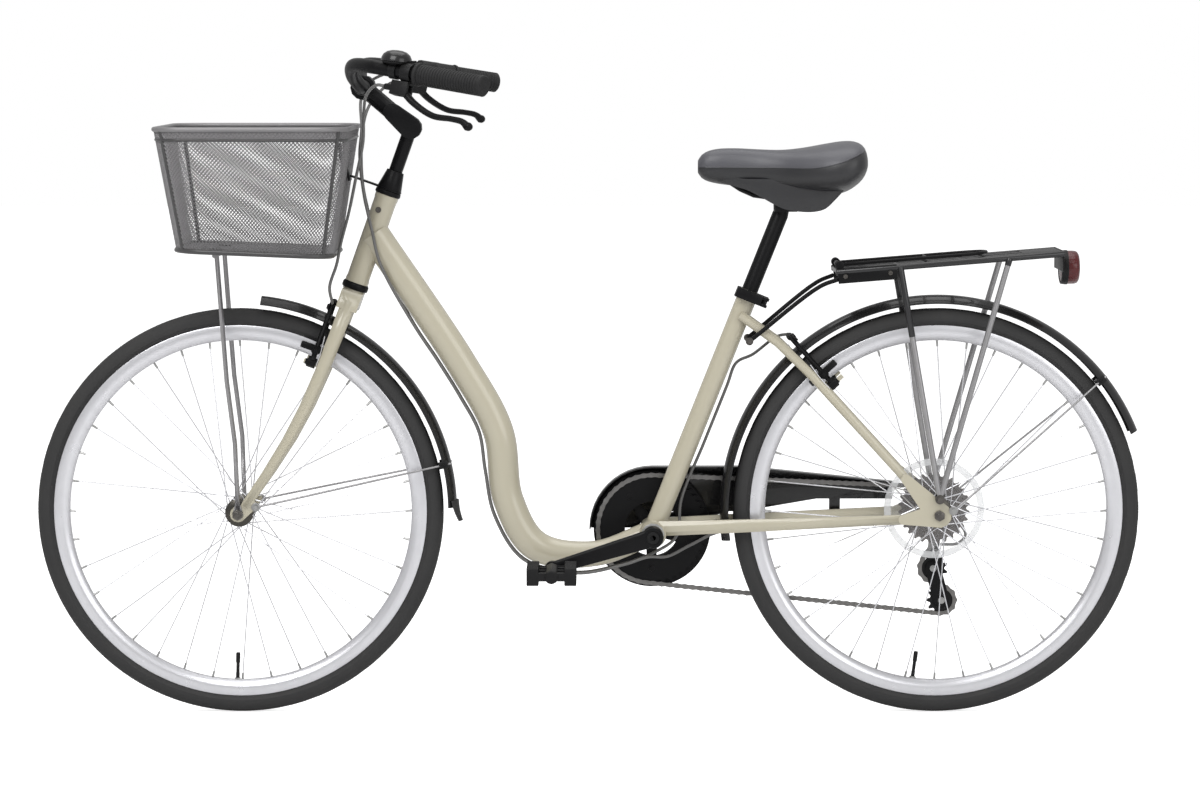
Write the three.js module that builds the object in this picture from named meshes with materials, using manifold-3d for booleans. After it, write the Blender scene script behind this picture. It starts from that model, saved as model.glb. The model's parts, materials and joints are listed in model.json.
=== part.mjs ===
// A step-through town bicycle with a front basket, a rear rack and derailleur gears.
// x runs backwards, y to the rider's right and z up, in millimetres, from the middle of the crank axle.
import * as THREE from "three";
import { mergeVertices } from "three/addons/utils/BufferGeometryUtils.js";
import Module from "manifold-3d";

const wasm = await Module();
wasm.setup();

const degree = Math.PI / 180;
const fullTurn = Math.PI * 2;

// Gaps between pieces, and how far a cutter stands past what it cuts
const seatGap = 0.3;
const runGap = 0.5;
const overrun = 2;

// Flats round each kind of round piece
const wheelSides = 26;
const tubeSides = 12;
const rodSides = 8;
const capSides = 3;
const wireSides = 6;
const spokeSides = 3;
const frameRodSides = 5;
const cableSides = 5;
const ringSides = 20;

// Layout in side view
const axleHeight = 36;
const tyreRadius = 330;
const rearTyreToCrank = 131;
const frontTyreToCrank = 340;
const rearAxleX = tyreRadius + rearTyreToCrank;
const frontAxleX = -tyreRadius - frontTyreToCrank;
const headTilt = 19.6 * degree;
const forkRake = 54.6;
const seatTilt = 21.7 * degree;

// Wheels
const tyreWidth = 37;
const tyreWall = 3.5;
const beadRadius = tyreRadius - 35;
const beadThickness = 3;
const tyreLip = 0.7;
const rimRadius = tyreRadius - 27;
const rimDepth = 25;
const rimWidth = 25;
const rimFlange = 1.8;
const rimShoulder = 10;
const spokeCount = 36;
const spokeRadius = 1.1;
const spokeCross = 60 * degree;
const spokeHeadOffset = 1.9;
const spokeRimOffset = 1.6;
const spokeEndGap = 0.8;

// Front hub and axle
const axleRadius = 4.8;
const frontHubRadius = 14;
const frontFlangeRadius = 23;
const flangeThickness = 3;
const frontFlangeY = 30;
const frontHubEnd = 45;
const frontAxleEnd = 68;
const nutRadius = 9;
const nutLength = 8;

// Rear hub and axle
const rearHubRadius = 16;
const rearFlangeRadius = 25;
const rearFlangeLeftY = 33;
const rearFlangeRightY = 22;
const rearHubLeftEnd = 54;
const freewheelBossRadius = 15;
const freewheelBossEnd = 58;
const rearAxleEnd = 84;
const spacerRadius = 8.5;

// Head tube, headset and fork
const headTubeBottom = tyreRadius + 84;
const headTubeLength = 150;
const headTubeRadius = 18;
const headTubeBore = 15;
const steererRadius = 12.7;
const steererBore = 11.4;
const cupRadius = 21;
const lowerCupHeight = 11;
const upperCupHeight = 8;
const cupSpigotLength = 12;
const raceHeight = 3;
const crownHeight = 30;
const crownHalfWidth = 47;
const crownHalfDepth = 17;
const bladeTopY = 37;
const bladeTopRadius = 12.5;
const bladeTipRadius = 8;
const forkTipInnerY = 50;
const forkTipThickness = 5;
const forkTipRadius = 13;
const steererTopAbove = 24;
const bracketRingThickness = 2;
const locknutHeight = 30;
const locknutFootRadius = 20;
const locknutNeckRadius = 14;

// Stem and handlebar
const quillRadius = 11.1;
const quillBottom = headTubeBottom + 56;
const elbowRise = 115;
const elbowHeight = headTubeBottom + headTubeLength + elbowRise;
const elbowRadius = 18;
const elbowHalfWidth = 12;
const elbowCheek = 7;
const elbowBolt = 4;
const extensionLength = 100;
const extensionAngle = 139.5 * degree;
const extensionRadius = 14;
const barClampRadius = 20;
const barClampHalfWidth = 22;
const barBulgeRadius = 12.7;
const barBulgeHalfWidth = 40;
const barRadius = 11.1;
const barEndBack = 205;
const barHalfWidth = 318;
const barEndRise = 5;
const gripSweep = 32 * degree;
const gripDrop = 8 * degree;
const barStraight = 188;
const barRiseHeight = 36;
const gripLength = 125;
const gripRadius = 16.5;
const gripEndWall = 4;
const shortGripLength = 86;
const shifterLength = 38;
const shifterRadius = 18;
const perchFromEnd = 142;
const perchWidth = 18;
const perchRadius = 15.5;
const perchPivotDrop = 31;
const perchCheekGap = 10;
const perchCheek = 4;
const perchDepth = 13;
const leverPinRadius = 2.5;
const leverRadius = 5;
const leverReach = 62;
const leverTipFromEnd = 12;
const barrelRadius = 5;
const barrelLength = 16;
const shiftExit = 12.4;

// Frame tubes
const mainTubeRadius = 25;
const mainTubeHeadShare = 0.56;
const mainTubeRouteShares = [
  [0.683, 0.56],
  [0.556, 0.34],
  [0.52, 0.11],
  [0.42, -0.045],
  [0.21, -0.085],
];
const seatTubeLength = tyreRadius + 95;
const seatTubeRadius = 16;
const seatPostRadius = 13.2;
const seatTubeBoreDepth = 330;
const shellRadius = 20.5;
const shellHalfWidth = 34;
const shellWall = 3;
const chainStayHalfHeight = 13;
const chainStayHalfWidth = 7.5;
const chainStayTipHalf = 8;
const chainStayStartY = 24;
const chainStayClearY = 34;
const chainStayClearX = 100;
const chainStayTipY = 61;
const chainStayTipX = rearAxleX - 45;
const chainStayTipZ = 29;
const chainStayStartZ = 9;
const dropoutInnerY = 65;
const dropoutThickness = 6;
const dropoutRadius = 20;
const seatStayRadius = 8;
const seatStayTopY = 20;
const seatStayTopHeight = tyreRadius + 53;
const seatStayWheelY = 37;
const seatStayTipY = 57;
const seatStayTipRadius = 72;
const seatStayAngle = 132.6 * degree;
const bridgeRadius = 6;
const stayBridgeAngle = 183.6 * degree;
const hangerDrop = 29;
const hangerBack = 7;
const hangerRadius = 10;

// Brakes
const brakePivotRadius = rimRadius - 33;
const brakeStudRadius = 4;
const brakeStudReach = 37;
const brakeHubRadius = 8;
const frontArmClear = 17;
const rearArmClear = 9.5;
const brakeArmDepth = 14;
const brakeArmLength = 102;
const brakeArmTopY = 31;
const brakeArmRadius = 5;
const brakePadRise = 22;
const brakePadLength = 52;
const brakePadHeight = 9;
const brakePadThickness = 10;
const brakePadGap = 1.9;
const frontBrakePivotY = 40;
const rearBrakePivotY = 42.5;

// Mudguards
const mudguardRadius = tyreRadius + 22;
const mudguardWidth = 45;
const mudguardCrown = 12;
const mudguardThickness = 1.6;
const mudguardSteps = 12;
const frontGuardStart = 1 * degree;
const frontGuardEnd = 84 * degree;
const rearGuardStart = 22 * degree;
const rearGuardEnd = 188 * degree;
const stayWireRadius = 2.4;
const frontStayAngle = 13 * degree;
const rearStayAngle = 39 * degree;
const stayEyeRadius = 7;
const stayEyeThickness = 3;
const guardTabHalf = 9;

// Basket
const basketTopFrontX = frontAxleX - 120;
const basketTopBackX = frontAxleX + 187;
const basketFloorFrontX = frontAxleX - 90;
const basketFloorBackX = frontAxleX + 158;
const basketTopZ = tyreRadius + 328;
const basketFloorFrontZ = tyreRadius + 136;
const basketFloorBackZ = tyreRadius + 126;
const basketTopHalfWidth = 180;
const basketFloorHalfWidth = 138;
const basketCorner = 45;
const basketWall = 2.4;
const basketRimRadius = 4;
const basketEdge = 13;
const basketBar = 8;
const basketRows = 2;
const basketColumns = 4;
const basketBracketWidth = 44;
const basketBracketRise = 60;
const legRadius = 4;
const legTopX = frontAxleX - 30;
const legY = 63;
const legBarRadius = 5;
const legBarHalf = 90;

// Crankset, pedals and bottom bracket
const crankLength = 170;
const crankAngle = 197 * degree;
const crankBossRadius = 17;
const crankTipRadius = 12;
const crankInnerY = 64;
const crankThickness = 13;
const crankBossInnerY = 50;
const spindleRadius = 8;
const spindleEndY = 72;
const cartridgeFlangeRadius = 19;
const cartridgeFlange = 3;
const pedalAxleRadius = 5;
const pedalInnerY = 84;
const pedalWidth = 94;
const pedalLength = 78;
const pedalHeight = 26;
const pedalBarrelRadius = 11;
const pedalBlockLength = 18;
const pedalPlate = 4;

// Chain, sprockets and guards
const chainPitch = 12.7;
const chainringTeeth = 44;
const sprocketTeeth = [28, 24, 20, 18, 16, 14];
const drivenSprocket = 4;
const pulleyTeeth = 11;
const chainringY = 44;
const chainringThickness = 2;
const chainringHole = 44;
const toothHeight = 3.4;
const spiderArms = 5;
const spiderArmHalf = 8;
const guardRingRadius = 96;
const guardRingY = 51;
const rivetRadius = 5;
const rivetCircle = 65;
const chainHalfHeight = 4;
const chainInnerHalf = 2.4;
const chainPlate = 1.2;
const chainPinRadius = 2;
const chainPinsPerRun = 3;
const chainPinMargin = 50;
const largestSprocketY = 31.5;
const sprocketPitch = 5.5;
const sprocketThickness = 2;
const sprocketGroove = 22;
const spokeGuardRadius = 82;
const spokeGuardThickness = 1.5;
const spokeGuardY = 27;
const chainGuardRadius = 103;
const chainGuardY = 60.3;
const chainGuardThickness = 1.5;
const chainGuardFlange = 2;
const chainGuardFlangeInnerY = 38;
const chainGuardDepth = 30;
const chainGuardPanelZ = 27;
const chainGuardStepX = 270;
const chainGuardBossX = 26;
const chainGuardFlatX = 148;
const chainGuardEndX = rearAxleX - 66;
const chainGuardEndTopZ = 78;
const chainGuardEndBottomZ = 48;
const chainGuardTongueX = 41;
const chainGuardTongueHalf = 9;
const chainGuardTabX = rearAxleX / 2 + 69.5;

// Derailleur
const guidePulleyX = 462;
const guidePulleyZ = -66;
const tensionPulleyX = 476;
const tensionPulleyZ = -119;
const pulleyThickness = 2.2;
const pulleyHubRadius = 8;
const pulleyHubHalf = 3.6;
const pulleyBoltRadius = 2.6;
const cageInnerHalf = 4.6;
const cagePlate = 1.4;
const cageEndRadius = 13;
const derailleurKnuckle = 12;
const derailleurLinkHalf = 9;
const derailleurOuterY = 79;
const derailleurFootOuterY = 76;

// Seat
const collarWall = 4.5;
const collarHeight = 17;
const collarEarHalf = 6;
const collarEarGap = 3;
const collarEarReach = 33;
const skewerRadius = 2.5;
const skewerHalf = 24;
const quickPinRadius = 3;
const quickHubRadius = 7;
const quickHubGap = 3.2;
const quickHubHalf = 8;
const quickLeverLength = 48;
const quickLeverThickness = 5;
const clampHeight = 579;
const postInsert = 230;
const clampHeadRadius = 11;
const clampHeadHalf = 15;
const clampJaw = 12;
const clampJawLength = 36;
const clampJawHeight = 30;
const clampBoltRadius = 4;
const railRadius = 3.5;
const railY = 22;
const railRise = 8.2;
const railSteps = 18;
const saddleFrontX = 72;
const saddleLength = 272;
const saddleHalfWidth = 103;
const saddleTopZ = 637;
const saddleHeight = 88;
const saddleShares = [
  [0.0, 0.1, 0.62, 0.42],
  [0.025, 0.19, 0.75, 0.3],
  [0.1, 0.245, 0.84, 0.22],
  [0.22, 0.27, 0.86, 0.17],
  [0.36, 0.33, 0.84, 0.13],
  [0.5, 0.5, 0.83, 0.06],
  [0.63, 0.76, 0.87, 0.02],
  [0.76, 0.96, 0.94, 0.0],
  [0.87, 1.0, 0.99, 0.05],
  [0.95, 0.92, 0.97, 0.2],
  [0.99, 0.72, 0.86, 0.36],
  [1.0, 0.5, 0.72, 0.48],
];
const saddleSides = 16;

// Rack and reflector
const rackFrontX = rearAxleX - 165;
const rackRearX = rearAxleX + 196;
const rackFrontZ = tyreRadius + 98;
const rackSlope = 4.6 * degree;
const rackHalfWidth = 62;
const rackRailRadius = 5;
const rackRodRadius = 3.5;
const rackLegRadius = 4.5;
const rackFrontLegX = rearAxleX - 65;
const rackRearLegX = rearAxleX + 110;
const rackLegY = 76;
const rackBlockLength = 95;
const rackBlockHeight = 24;
const rackBlockThickness = 4;
const rackPlateLength = 60;
const rackPlateThickness = 2;
const rackLampPlateHeight = 34;
const strutTopHeight = tyreRadius + 20;
const strutRadius = 3.5;
const clampRodRadius = 3;
const earRadius = 7;
const earPinRadius = 2.5;
const clampRodLength = 240;
const clampRodHalfWidth = 34;
const reflectorWidth = 64;
const reflectorHeight = 54;
const reflectorDepth = 30;

// Cables
const cableRadius = 2.5;
const cableAlongGap = 3;
const cableLead = 14;
const cableSideY = 7;
const mainTubeHolds = 9;
const frontCableRoute = [
  [-455, -165, 712],
  [-474, -95, 675],
  [-480, -66, 635],
  [-488, -54, 580],
  [-496, -50, 520],
  [-501, -52, 475],
  [-508, -57, 440],
  [-519, -62, 405],
  [-520, -56, 384],
];
const rearCableHeadRoute = [
  [-455, 165, 708],
  [-470, 95, 675],
  [-474, 52, 620],
  [-470, 32, 560],
  [-455, 30, 495],
  [-440, 28, 440],
];
const rearCableSeatTubeHeights = [70, 170, 270];
const rearCableTailRoute = [
  [135, 12, 275],
  [165, 44, 288],
  [203, 60, 315],
  [220, 56, 330],
];
const gearCableHeadRoute = [
  [-470, 175, 728],
  [-478, 110, 700],
  [-472, 30, 655],
  [-472, -22, 610],
  [-465, -30, 550],
  [-452, -30, 490],
  [-440, -28, 440],
];
const gearCableTailRoute = [
  [-8, -6, -40],
  [24, 3, -40],
  [62, 22, -24],
  [110, 35, -4],
  [240, 46, 3],
  [340, 56, 8],
  [405, 76, 10],
  [460, 91, 4],
  [505, 90, 4],
  [518, 84, -14],
  [505, 78, -28],
  [476, 76, -30],
];

// Colours and finishes
const finishes = {
  cream: [0xd2cdb8, 0.35, 0.0],
  black: [0x18181b, 0.5, 0.1],
  silver: [0xc9cbce, 0.3, 0.9],
  steel: [0x9a9da2, 0.35, 0.85],
  rubber: [0x1b1b1c, 0.85, 0.0],
  mesh: [0x77797c, 0.5, 0.6],
  clear: [0xe8ecee, 0.2, 0.0],
  red: [0x8f1118, 0.25, 0.0],
};

const object = new THREE.Group();
const up = new THREE.Vector3(0, 0, 1);
const rear = new THREE.Vector3(1, 0, 0);

function at(x, y, z) {
  return new THREE.Vector3(x, y, z);
}

// A closed geometry as a solid, with its faces turned outwards
function solid(geometry) {
  const bare = geometry.clone();
  bare.deleteAttribute("normal");
  bare.deleteAttribute("uv");
  const merged = mergeVertices(bare);
  const corners = merged.attributes.position.array;
  const index = merged.index.array;
  const kept = [];
  let volume = 0;
  for (let i = 0; i < index.length; i += 3) {
    const [a, b, c] = [index[i], index[i + 1], index[i + 2]];
    if (a !== b && b !== c && c !== a) {
      kept.push(a, b, c);
      const p = new THREE.Vector3().fromArray(corners, a * 3);
      const q = new THREE.Vector3().fromArray(corners, b * 3);
      const r = new THREE.Vector3().fromArray(corners, c * 3);
      volume += p.dot(q.cross(r));
    }
  }
  if (volume < 0) {
    kept.reverse();
  }
  const parts = { numProp: 3, vertProperties: corners, triVerts: new Uint32Array(kept) };
  return new wasm.Manifold(new wasm.Mesh(parts));
}

function join(...bodies) {
  return bodies.reduce((sum, body) => sum.add(body));
}

function cut(body, ...tools) {
  return tools.reduce((rest, tool) => rest.subtract(tool), body);
}

// Rings of points joined into one closed skin, each end closed by a strip across its ring
function loft(rings, endless = false) {
  const count = rings[0].length;
  const index = [];
  const quad = (a, b, c, d) => index.push(a, b, c, a, c, d);
  const last = endless ? rings.length : rings.length - 1;
  for (let i = 0; i < last; i += 1) {
    const here = i * count;
    const next = ((i + 1) % rings.length) * count;
    for (let j = 0; j < count; j += 1) {
      const k = (j + 1) % count;
      quad(here + j, here + k, next + k, next + j);
    }
  }
  if (!endless) {
    const far = (rings.length - 1) * count;
    for (let j = 0; j < count / 2 - 1; j += 1) {
      quad(count - 1 - j, count - 2 - j, j + 1, j);
      quad(far + j, far + j + 1, far + count - 2 - j, far + count - 1 - j);
    }
  }
  const geometry = new THREE.BufferGeometry();
  const flat = rings.flat().flatMap((point) => point.toArray());
  geometry.setAttribute("position", new THREE.Float32BufferAttribute(flat, 3));
  geometry.setIndex(index);
  return solid(geometry);
}

// A tube of changing section along a curve. sizeAt gives its half width and half height.
function sweep(curve, steps, sides, sizeAt, upright) {
  const frames = curve.computeFrenetFrames(steps, false);
  const rings = [];
  for (let i = 0; i <= steps; i += 1) {
    const share = i / steps;
    const centre = curve.getPointAt(share);
    const tangent = frames.tangents[i];
    const across = upright ? upright.clone().cross(tangent).normalize() : frames.normals[i];
    const over = upright ? tangent.clone().cross(across) : frames.binormals[i];
    const [halfWidth, halfHeight] = sizeAt(share);
    const ring = [];
    for (let j = 0; j < sides; j += 1) {
      const turn = (fullTurn * (j + 0.5)) / sides;
      const point = centre.clone().addScaledVector(across, halfWidth * Math.cos(turn));
      ring.push(point.addScaledVector(over, halfHeight * Math.sin(turn)));
    }
    rings.push(ring);
  }
  return loft(rings);
}

function curveThrough(points) {
  return new THREE.CatmullRomCurve3(points, false, "centripetal");
}

function tube(points, radius, steps, sides = rodSides) {
  return sweep(curveThrough(points), steps, sides, () => [radius, radius]);
}

// A round rod from one point to another, which may taper
function rod(from, to, radius, endRadius = radius, sides = rodSides) {
  const along = to.clone().sub(from);
  const geometry = new THREE.CylinderGeometry(endRadius, radius, along.length(), sides);
  const turn = new THREE.Quaternion().setFromUnitVectors(at(0, 1, 0), along.clone().normalize());
  geometry.applyQuaternion(turn);
  const middle = from.clone().add(to).divideScalar(2);
  geometry.translate(middle.x, middle.y, middle.z);
  return solid(geometry);
}

// A round piece whose axis runs across the bicycle
function across(centre, radius, y0, y1, sides = tubeSides) {
  return rod(at(centre.x, y0, centre.z), at(centre.x, y1, centre.z), radius, radius, sides);
}

// A round piece whose axis stands along z
function upright(radius, z0, z1, sides = tubeSides, topRadius = radius) {
  return rod(at(0, 0, z0), at(0, 0, z1), radius, topRadius, sides);
}

function block(x0, x1, y0, y1, z0, z1) {
  const geometry = new THREE.BoxGeometry(x1 - x0, y1 - y0, z1 - z0);
  geometry.translate((x0 + x1) / 2, (y0 + y1) / 2, (z0 + z1) / 2);
  return solid(geometry);
}

// An outline in side view, given thickness from y0 to y1
function plate(shape, y0, y1, curveSegments = capSides) {
  const geometry = new THREE.ExtrudeGeometry(shape, { depth: y1 - y0, bevelEnabled: false, curveSegments });
  geometry.rotateX(Math.PI / 2);
  geometry.translate(0, y1, 0);
  return solid(geometry);
}

// A flat bar with round ends in side view
function strap(from, fromRadius, to, toRadius, y0, y1, curveSegments = capSides) {
  const lean = Math.atan2(to.z - from.z, to.x - from.x);
  const shape = new THREE.Shape();
  shape.absarc(from.x, from.z, fromRadius, lean + Math.PI / 2, lean + Math.PI * 1.5, false);
  shape.absarc(to.x, to.z, toRadius, lean - Math.PI / 2, lean + Math.PI / 2, false);
  return plate(shape, y0, y1, curveSegments);
}

// A profile of [radius, y] pairs turned round a wheel's axle
function turned(profile, sides) {
  const points = profile.map(([radius, y]) => new THREE.Vector2(radius, y));
  points.push(points[0].clone());
  return solid(new THREE.LatheGeometry(points, sides));
}

function mirrored(body) {
  return body.mirror([0, 1, 0]);
}

function piece(group, name, finish, body) {
  const skin = body.getMesh();
  const geometry = new THREE.BufferGeometry();
  geometry.setAttribute("position", new THREE.Float32BufferAttribute(skin.vertProperties, 3));
  geometry.setIndex(new THREE.Uint32BufferAttribute(skin.triVerts, 1));
  geometry.computeVertexNormals();
  const [color, roughness, metalness] = finishes[finish];
  const mesh = new THREE.Mesh(geometry, new THREE.MeshStandardMaterial({ color, roughness, metalness }));
  mesh.name = name;
  group.add(mesh);
  return mesh;
}

function groupAt(position, tilt = 0) {
  const group = new THREE.Group();
  group.position.copy(position);
  group.rotation.y = tilt;
  object.add(group);
  return group;
}

// A point given in a tilted group, as a point of the whole bicycle
function placed(group, x, y, z) {
  group.updateMatrixWorld(true);
  return at(x, y, z).applyMatrix4(group.matrixWorld);
}

// A body built in a group's own axes, moved to where the group stands
function moved(group, body) {
  const pose = new THREE.Matrix4().compose(group.position, group.quaternion, at(1, 1, 1));
  return body.transform(pose.toArray());
}

function onCircle(centre, radius, angle, y = 0) {
  return at(centre.x + radius * Math.cos(angle), y, centre.z + radius * Math.sin(angle));
}

const middle = at(0, 0, 0);
const rearAxle = at(rearAxleX, 0, axleHeight);
const frontAxle = at(frontAxleX, 0, axleHeight);
const steerFootX = frontAxle.x + forkRake * Math.cos(headTilt);
const steerFootZ = frontAxle.z - forkRake * Math.sin(headTilt);
const steering = groupAt(at(steerFootX, 0, steerFootZ), headTilt);
const seat = groupAt(middle, seatTilt);
const frontWheel = groupAt(frontAxle);
const rearWheel = groupAt(rearAxle);
const headTubeTop = headTubeBottom + headTubeLength;

// Wheels

const rimInner = rimRadius - rimDepth;

function rimBody() {
  const half = rimWidth / 2;
  const bed = beadRadius - seatGap;
  const inside = half - rimFlange;
  return turned([
    [rimInner, -half / 2],
    [rimInner + rimShoulder, -half],
    [rimRadius, -half],
    [rimRadius, -inside],
    [bed, -inside],
    [bed, inside],
    [rimRadius, inside],
    [rimRadius, half],
    [rimInner + rimShoulder, half],
    [rimInner, half / 2],
  ], wheelSides);
}

function tyreBody() {
  const bead = rimWidth / 2 - rimFlange - seatGap;
  const lip = rimRadius + tyreLip;
  const side = (lip + lip + tyreRadius) / 3 + tyreLip;
  const half = tyreWidth / 2;
  const treadY = half * 0.42;
  const inside = tyreRadius - tyreWall * 2;
  return turned([
    [beadRadius, -bead],
    [lip, -bead],
    [side, -half],
    [tyreRadius, -treadY],
    [tyreRadius, treadY],
    [side, half],
    [lip, bead],
    [beadRadius, bead],
    [beadRadius, bead - beadThickness],
    [inside, 0],
    [beadRadius, beadThickness - bead],
  ], wheelSides);
}

// Crossed spokes from both flanges, as rods that end just inside the rim
function spokes(leftFlangeY, rightFlangeY, flangeRadius) {
  const rimEnd = rimInner * Math.cos(Math.PI / wheelSides) - spokeEndGap;
  const holeCircle = flangeRadius - flangeThickness;
  const bodies = [];
  for (let i = 0; i < spokeCount; i += 1) {
    const right = i % 2 === 1;
    const leading = Math.floor(i / 2) % 2 === 1;
    const rimAngle = (fullTurn * i) / spokeCount;
    const hubAngle = rimAngle + (leading ? spokeCross : -spokeCross);
    const flangeY = right ? rightFlangeY : -leftFlangeY;
    const outward = (right ? 1 : -1) * (leading ? 1 : -1);
    const from = onCircle(middle, holeCircle, hubAngle, flangeY + outward * spokeHeadOffset);
    const to = onCircle(middle, rimEnd, rimAngle, right ? spokeRimOffset : -spokeRimOffset);
    bodies.push(rod(from, to, spokeRadius, spokeRadius, spokeSides));
  }
  return bodies;
}

function flange(radius, y) {
  const half = spokeHeadOffset + spokeRadius + seatGap;
  return across(middle, radius, y - half, y + half, rodSides);
}

function buildWheels() {
  const hole = axleRadius + runGap;
  const axleHole = (from, to) => across(middle, hole, from - overrun, to + overrun, rodSides);
  const frontBarrel = across(middle, frontHubRadius, -frontHubEnd, frontHubEnd, rodSides);
  const frontFlanges = [flange(frontFlangeRadius, -frontFlangeY), flange(frontFlangeRadius, frontFlangeY)];
  const frontSpokes = spokes(frontFlangeY, frontFlangeY, frontFlangeRadius);
  const frontHub = cut(join(frontBarrel, ...frontFlanges, ...frontSpokes), axleHole(-frontHubEnd, frontHubEnd));
  piece(frontWheel, "front_tyre", "rubber", tyreBody());
  piece(frontWheel, "front_rim", "silver", rimBody());
  piece(frontWheel, "front_hub", "silver", frontHub);

  const rearBarrel = across(middle, rearHubRadius, -rearHubLeftEnd, rearFlangeRightY, rodSides);
  const rearFlanges = [flange(rearFlangeRadius, -rearFlangeLeftY), flange(rearFlangeRadius, rearFlangeRightY)];
  const boss = across(middle, freewheelBossRadius, rearFlangeRightY, freewheelBossEnd);
  const rearSpokes = spokes(rearFlangeLeftY, rearFlangeRightY, rearFlangeRadius);
  const rearHole = axleHole(-rearHubLeftEnd, freewheelBossEnd);
  const rearHub = cut(join(rearBarrel, boss, ...rearFlanges, ...rearSpokes), rearHole);
  piece(rearWheel, "rear_tyre", "rubber", tyreBody());
  piece(rearWheel, "rear_rim", "silver", rimBody());
  piece(rearWheel, "rear_hub", "silver", rearHub);
  const guardHole = freewheelBossRadius + runGap;
  piece(rearWheel, "spoke_guard", "clear", turned([
    [guardHole, spokeGuardY],
    [spokeGuardRadius, spokeGuardY],
    [spokeGuardRadius, spokeGuardY + spokeGuardThickness],
    [guardHole, spokeGuardY + spokeGuardThickness],
  ], wheelSides / 2));
}

function buildAxles() {
  const nut = (y0, y1) => across(middle, nutRadius, y0, y1, wireSides);
  const eyeOuter = forkTipInnerY + forkTipThickness + seatGap + stayEyeThickness + seatGap;
  const frontCone = frontHubEnd + seatGap;
  const frontRod = join(
    across(middle, axleRadius, -frontAxleEnd, frontAxleEnd, rodSides),
    nut(eyeOuter, eyeOuter + nutLength),
    nut(-eyeOuter - nutLength, -eyeOuter),
    across(middle, spacerRadius, frontCone, forkTipInnerY - seatGap, wireSides),
    across(middle, spacerRadius, seatGap - forkTipInnerY, -frontCone, wireSides),
  );
  piece(frontWheel, "front_axle", "steel", frontRod);

  const dropoutOuter = dropoutInnerY + dropoutThickness + seatGap;
  const rearRod = join(
    across(middle, axleRadius, -rearAxleEnd, rearAxleEnd, rodSides),
    nut(dropoutOuter, dropoutOuter + nutLength),
    nut(-dropoutOuter - nutLength, -dropoutOuter),
    across(middle, spacerRadius, sprocketOuterY() + seatGap * 2, dropoutInnerY - seatGap, wireSides),
    across(middle, spacerRadius, seatGap - dropoutInnerY, -rearHubLeftEnd - seatGap, wireSides),
  );
  piece(rearWheel, "rear_axle", "steel", rearRod);
}

// Sprockets and chain

function pitchRadius(teeth) {
  return chainPitch / (2 * Math.sin(Math.PI / teeth));
}

function sprocketY(index) {
  return largestSprocketY + index * sprocketPitch;
}

function sprocketOuterY() {
  return sprocketY(sprocketTeeth.length - 1) + sprocketThickness / 2;
}

function buildFreewheel() {
  const bore = freewheelBossRadius + runGap * 2;
  const half = sprocketThickness / 2;
  const profile = [[bore, largestSprocketY - half]];
  let previousFace = largestSprocketY - half;
  sprocketTeeth.forEach((teeth, i) => {
    const y = sprocketY(i);
    const radius = pitchRadius(teeth) + toothHeight / 3;
    if (i >= drivenSprocket) {
      profile.push([sprocketGroove, y - half]);
    }
    profile.push([radius, i < drivenSprocket ? previousFace : y - half], [radius, y + half]);
    if (i >= drivenSprocket - 1 && i < sprocketTeeth.length - 1) {
      profile.push([sprocketGroove, y + half]);
    }
    previousFace = y + half;
  });
  profile.push([bore, sprocketOuterY()]);
  piece(rearWheel, "freewheel", "steel", turned(profile, tubeSides));
}

const chainY = sprocketY(drivenSprocket);
const guidePulley = at(guidePulleyX, 0, guidePulleyZ);
const tensionPulley = at(tensionPulleyX, 0, tensionPulleyZ);

// The wheels that the chain passes, each with its pitch radius and the way that the chain turns round it
const chainWheels = [
  { centre: middle, radius: pitchRadius(chainringTeeth), turn: -1, steps: 8 },
  { centre: rearAxle, radius: pitchRadius(sprocketTeeth[drivenSprocket]), turn: -1, steps: 4 },
  { centre: guidePulley, radius: pitchRadius(pulleyTeeth), turn: 1, steps: 4 },
  { centre: tensionPulley, radius: pitchRadius(pulleyTeeth), turn: -1, steps: 4 },
];

// Where a straight run leaves one wheel and meets the next, as the angle of its touching points
function touchAngle(from, to) {
  const dx = to.centre.x - from.centre.x;
  const dz = to.centre.z - from.centre.z;
  const span = Math.hypot(dx, dz);
  const share = (from.turn * from.radius - to.turn * to.radius) / span;
  const rest = Math.sqrt(1 - share * share);
  return Math.atan2((dz * share - dx * rest) / span, (dx * share + dz * rest) / span);
}

// The side position of the chain, which runs from the chainring's line to the sprocket's
function chainLineY(x) {
  const start = pitchRadius(sprocketTeeth[0]);
  const end = rearAxleX - start;
  const share = Math.min(Math.max((x - start) / (end - start), 0), 1);
  return chainringY + share * (chainY - chainringY);
}

function chainStations() {
  const stations = [];
  chainWheels.forEach((wheel, i) => {
    const before = chainWheels[(i + chainWheels.length - 1) % chainWheels.length];
    const after = chainWheels[(i + 1) % chainWheels.length];
    const flip = wheel.turn > 0 ? 0 : Math.PI;
    const start = touchAngle(before, wheel) + flip;
    const end = touchAngle(wheel, after) + flip;
    const sweepAngle = wheel.turn * ((((end - start) * wheel.turn) % fullTurn + fullTurn) % fullTurn);
    for (let k = 0; k <= wheel.steps; k += 1) {
      stations.push({ wheel, angle: start + (sweepAngle * k) / wheel.steps });
    }
  });
  return stations;
}

function chainBand(stations, inner, outer) {
  return loft(stations.map(({ wheel, angle }) => {
    const near = onCircle(wheel.centre, wheel.radius - chainHalfHeight, angle);
    const far = onCircle(wheel.centre, wheel.radius + chainHalfHeight, angle);
    const y = chainLineY(wheel.centre.x);
    const pair = wheel.turn > 0 ? [far, near] : [near, far];
    const [low, high] = pair;
    return [
      at(low.x, y + inner, low.z),
      at(high.x, y + inner, high.z),
      at(high.x, y + outer, high.z),
      at(low.x, y + outer, low.z),
    ];
  }), true);
}

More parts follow.
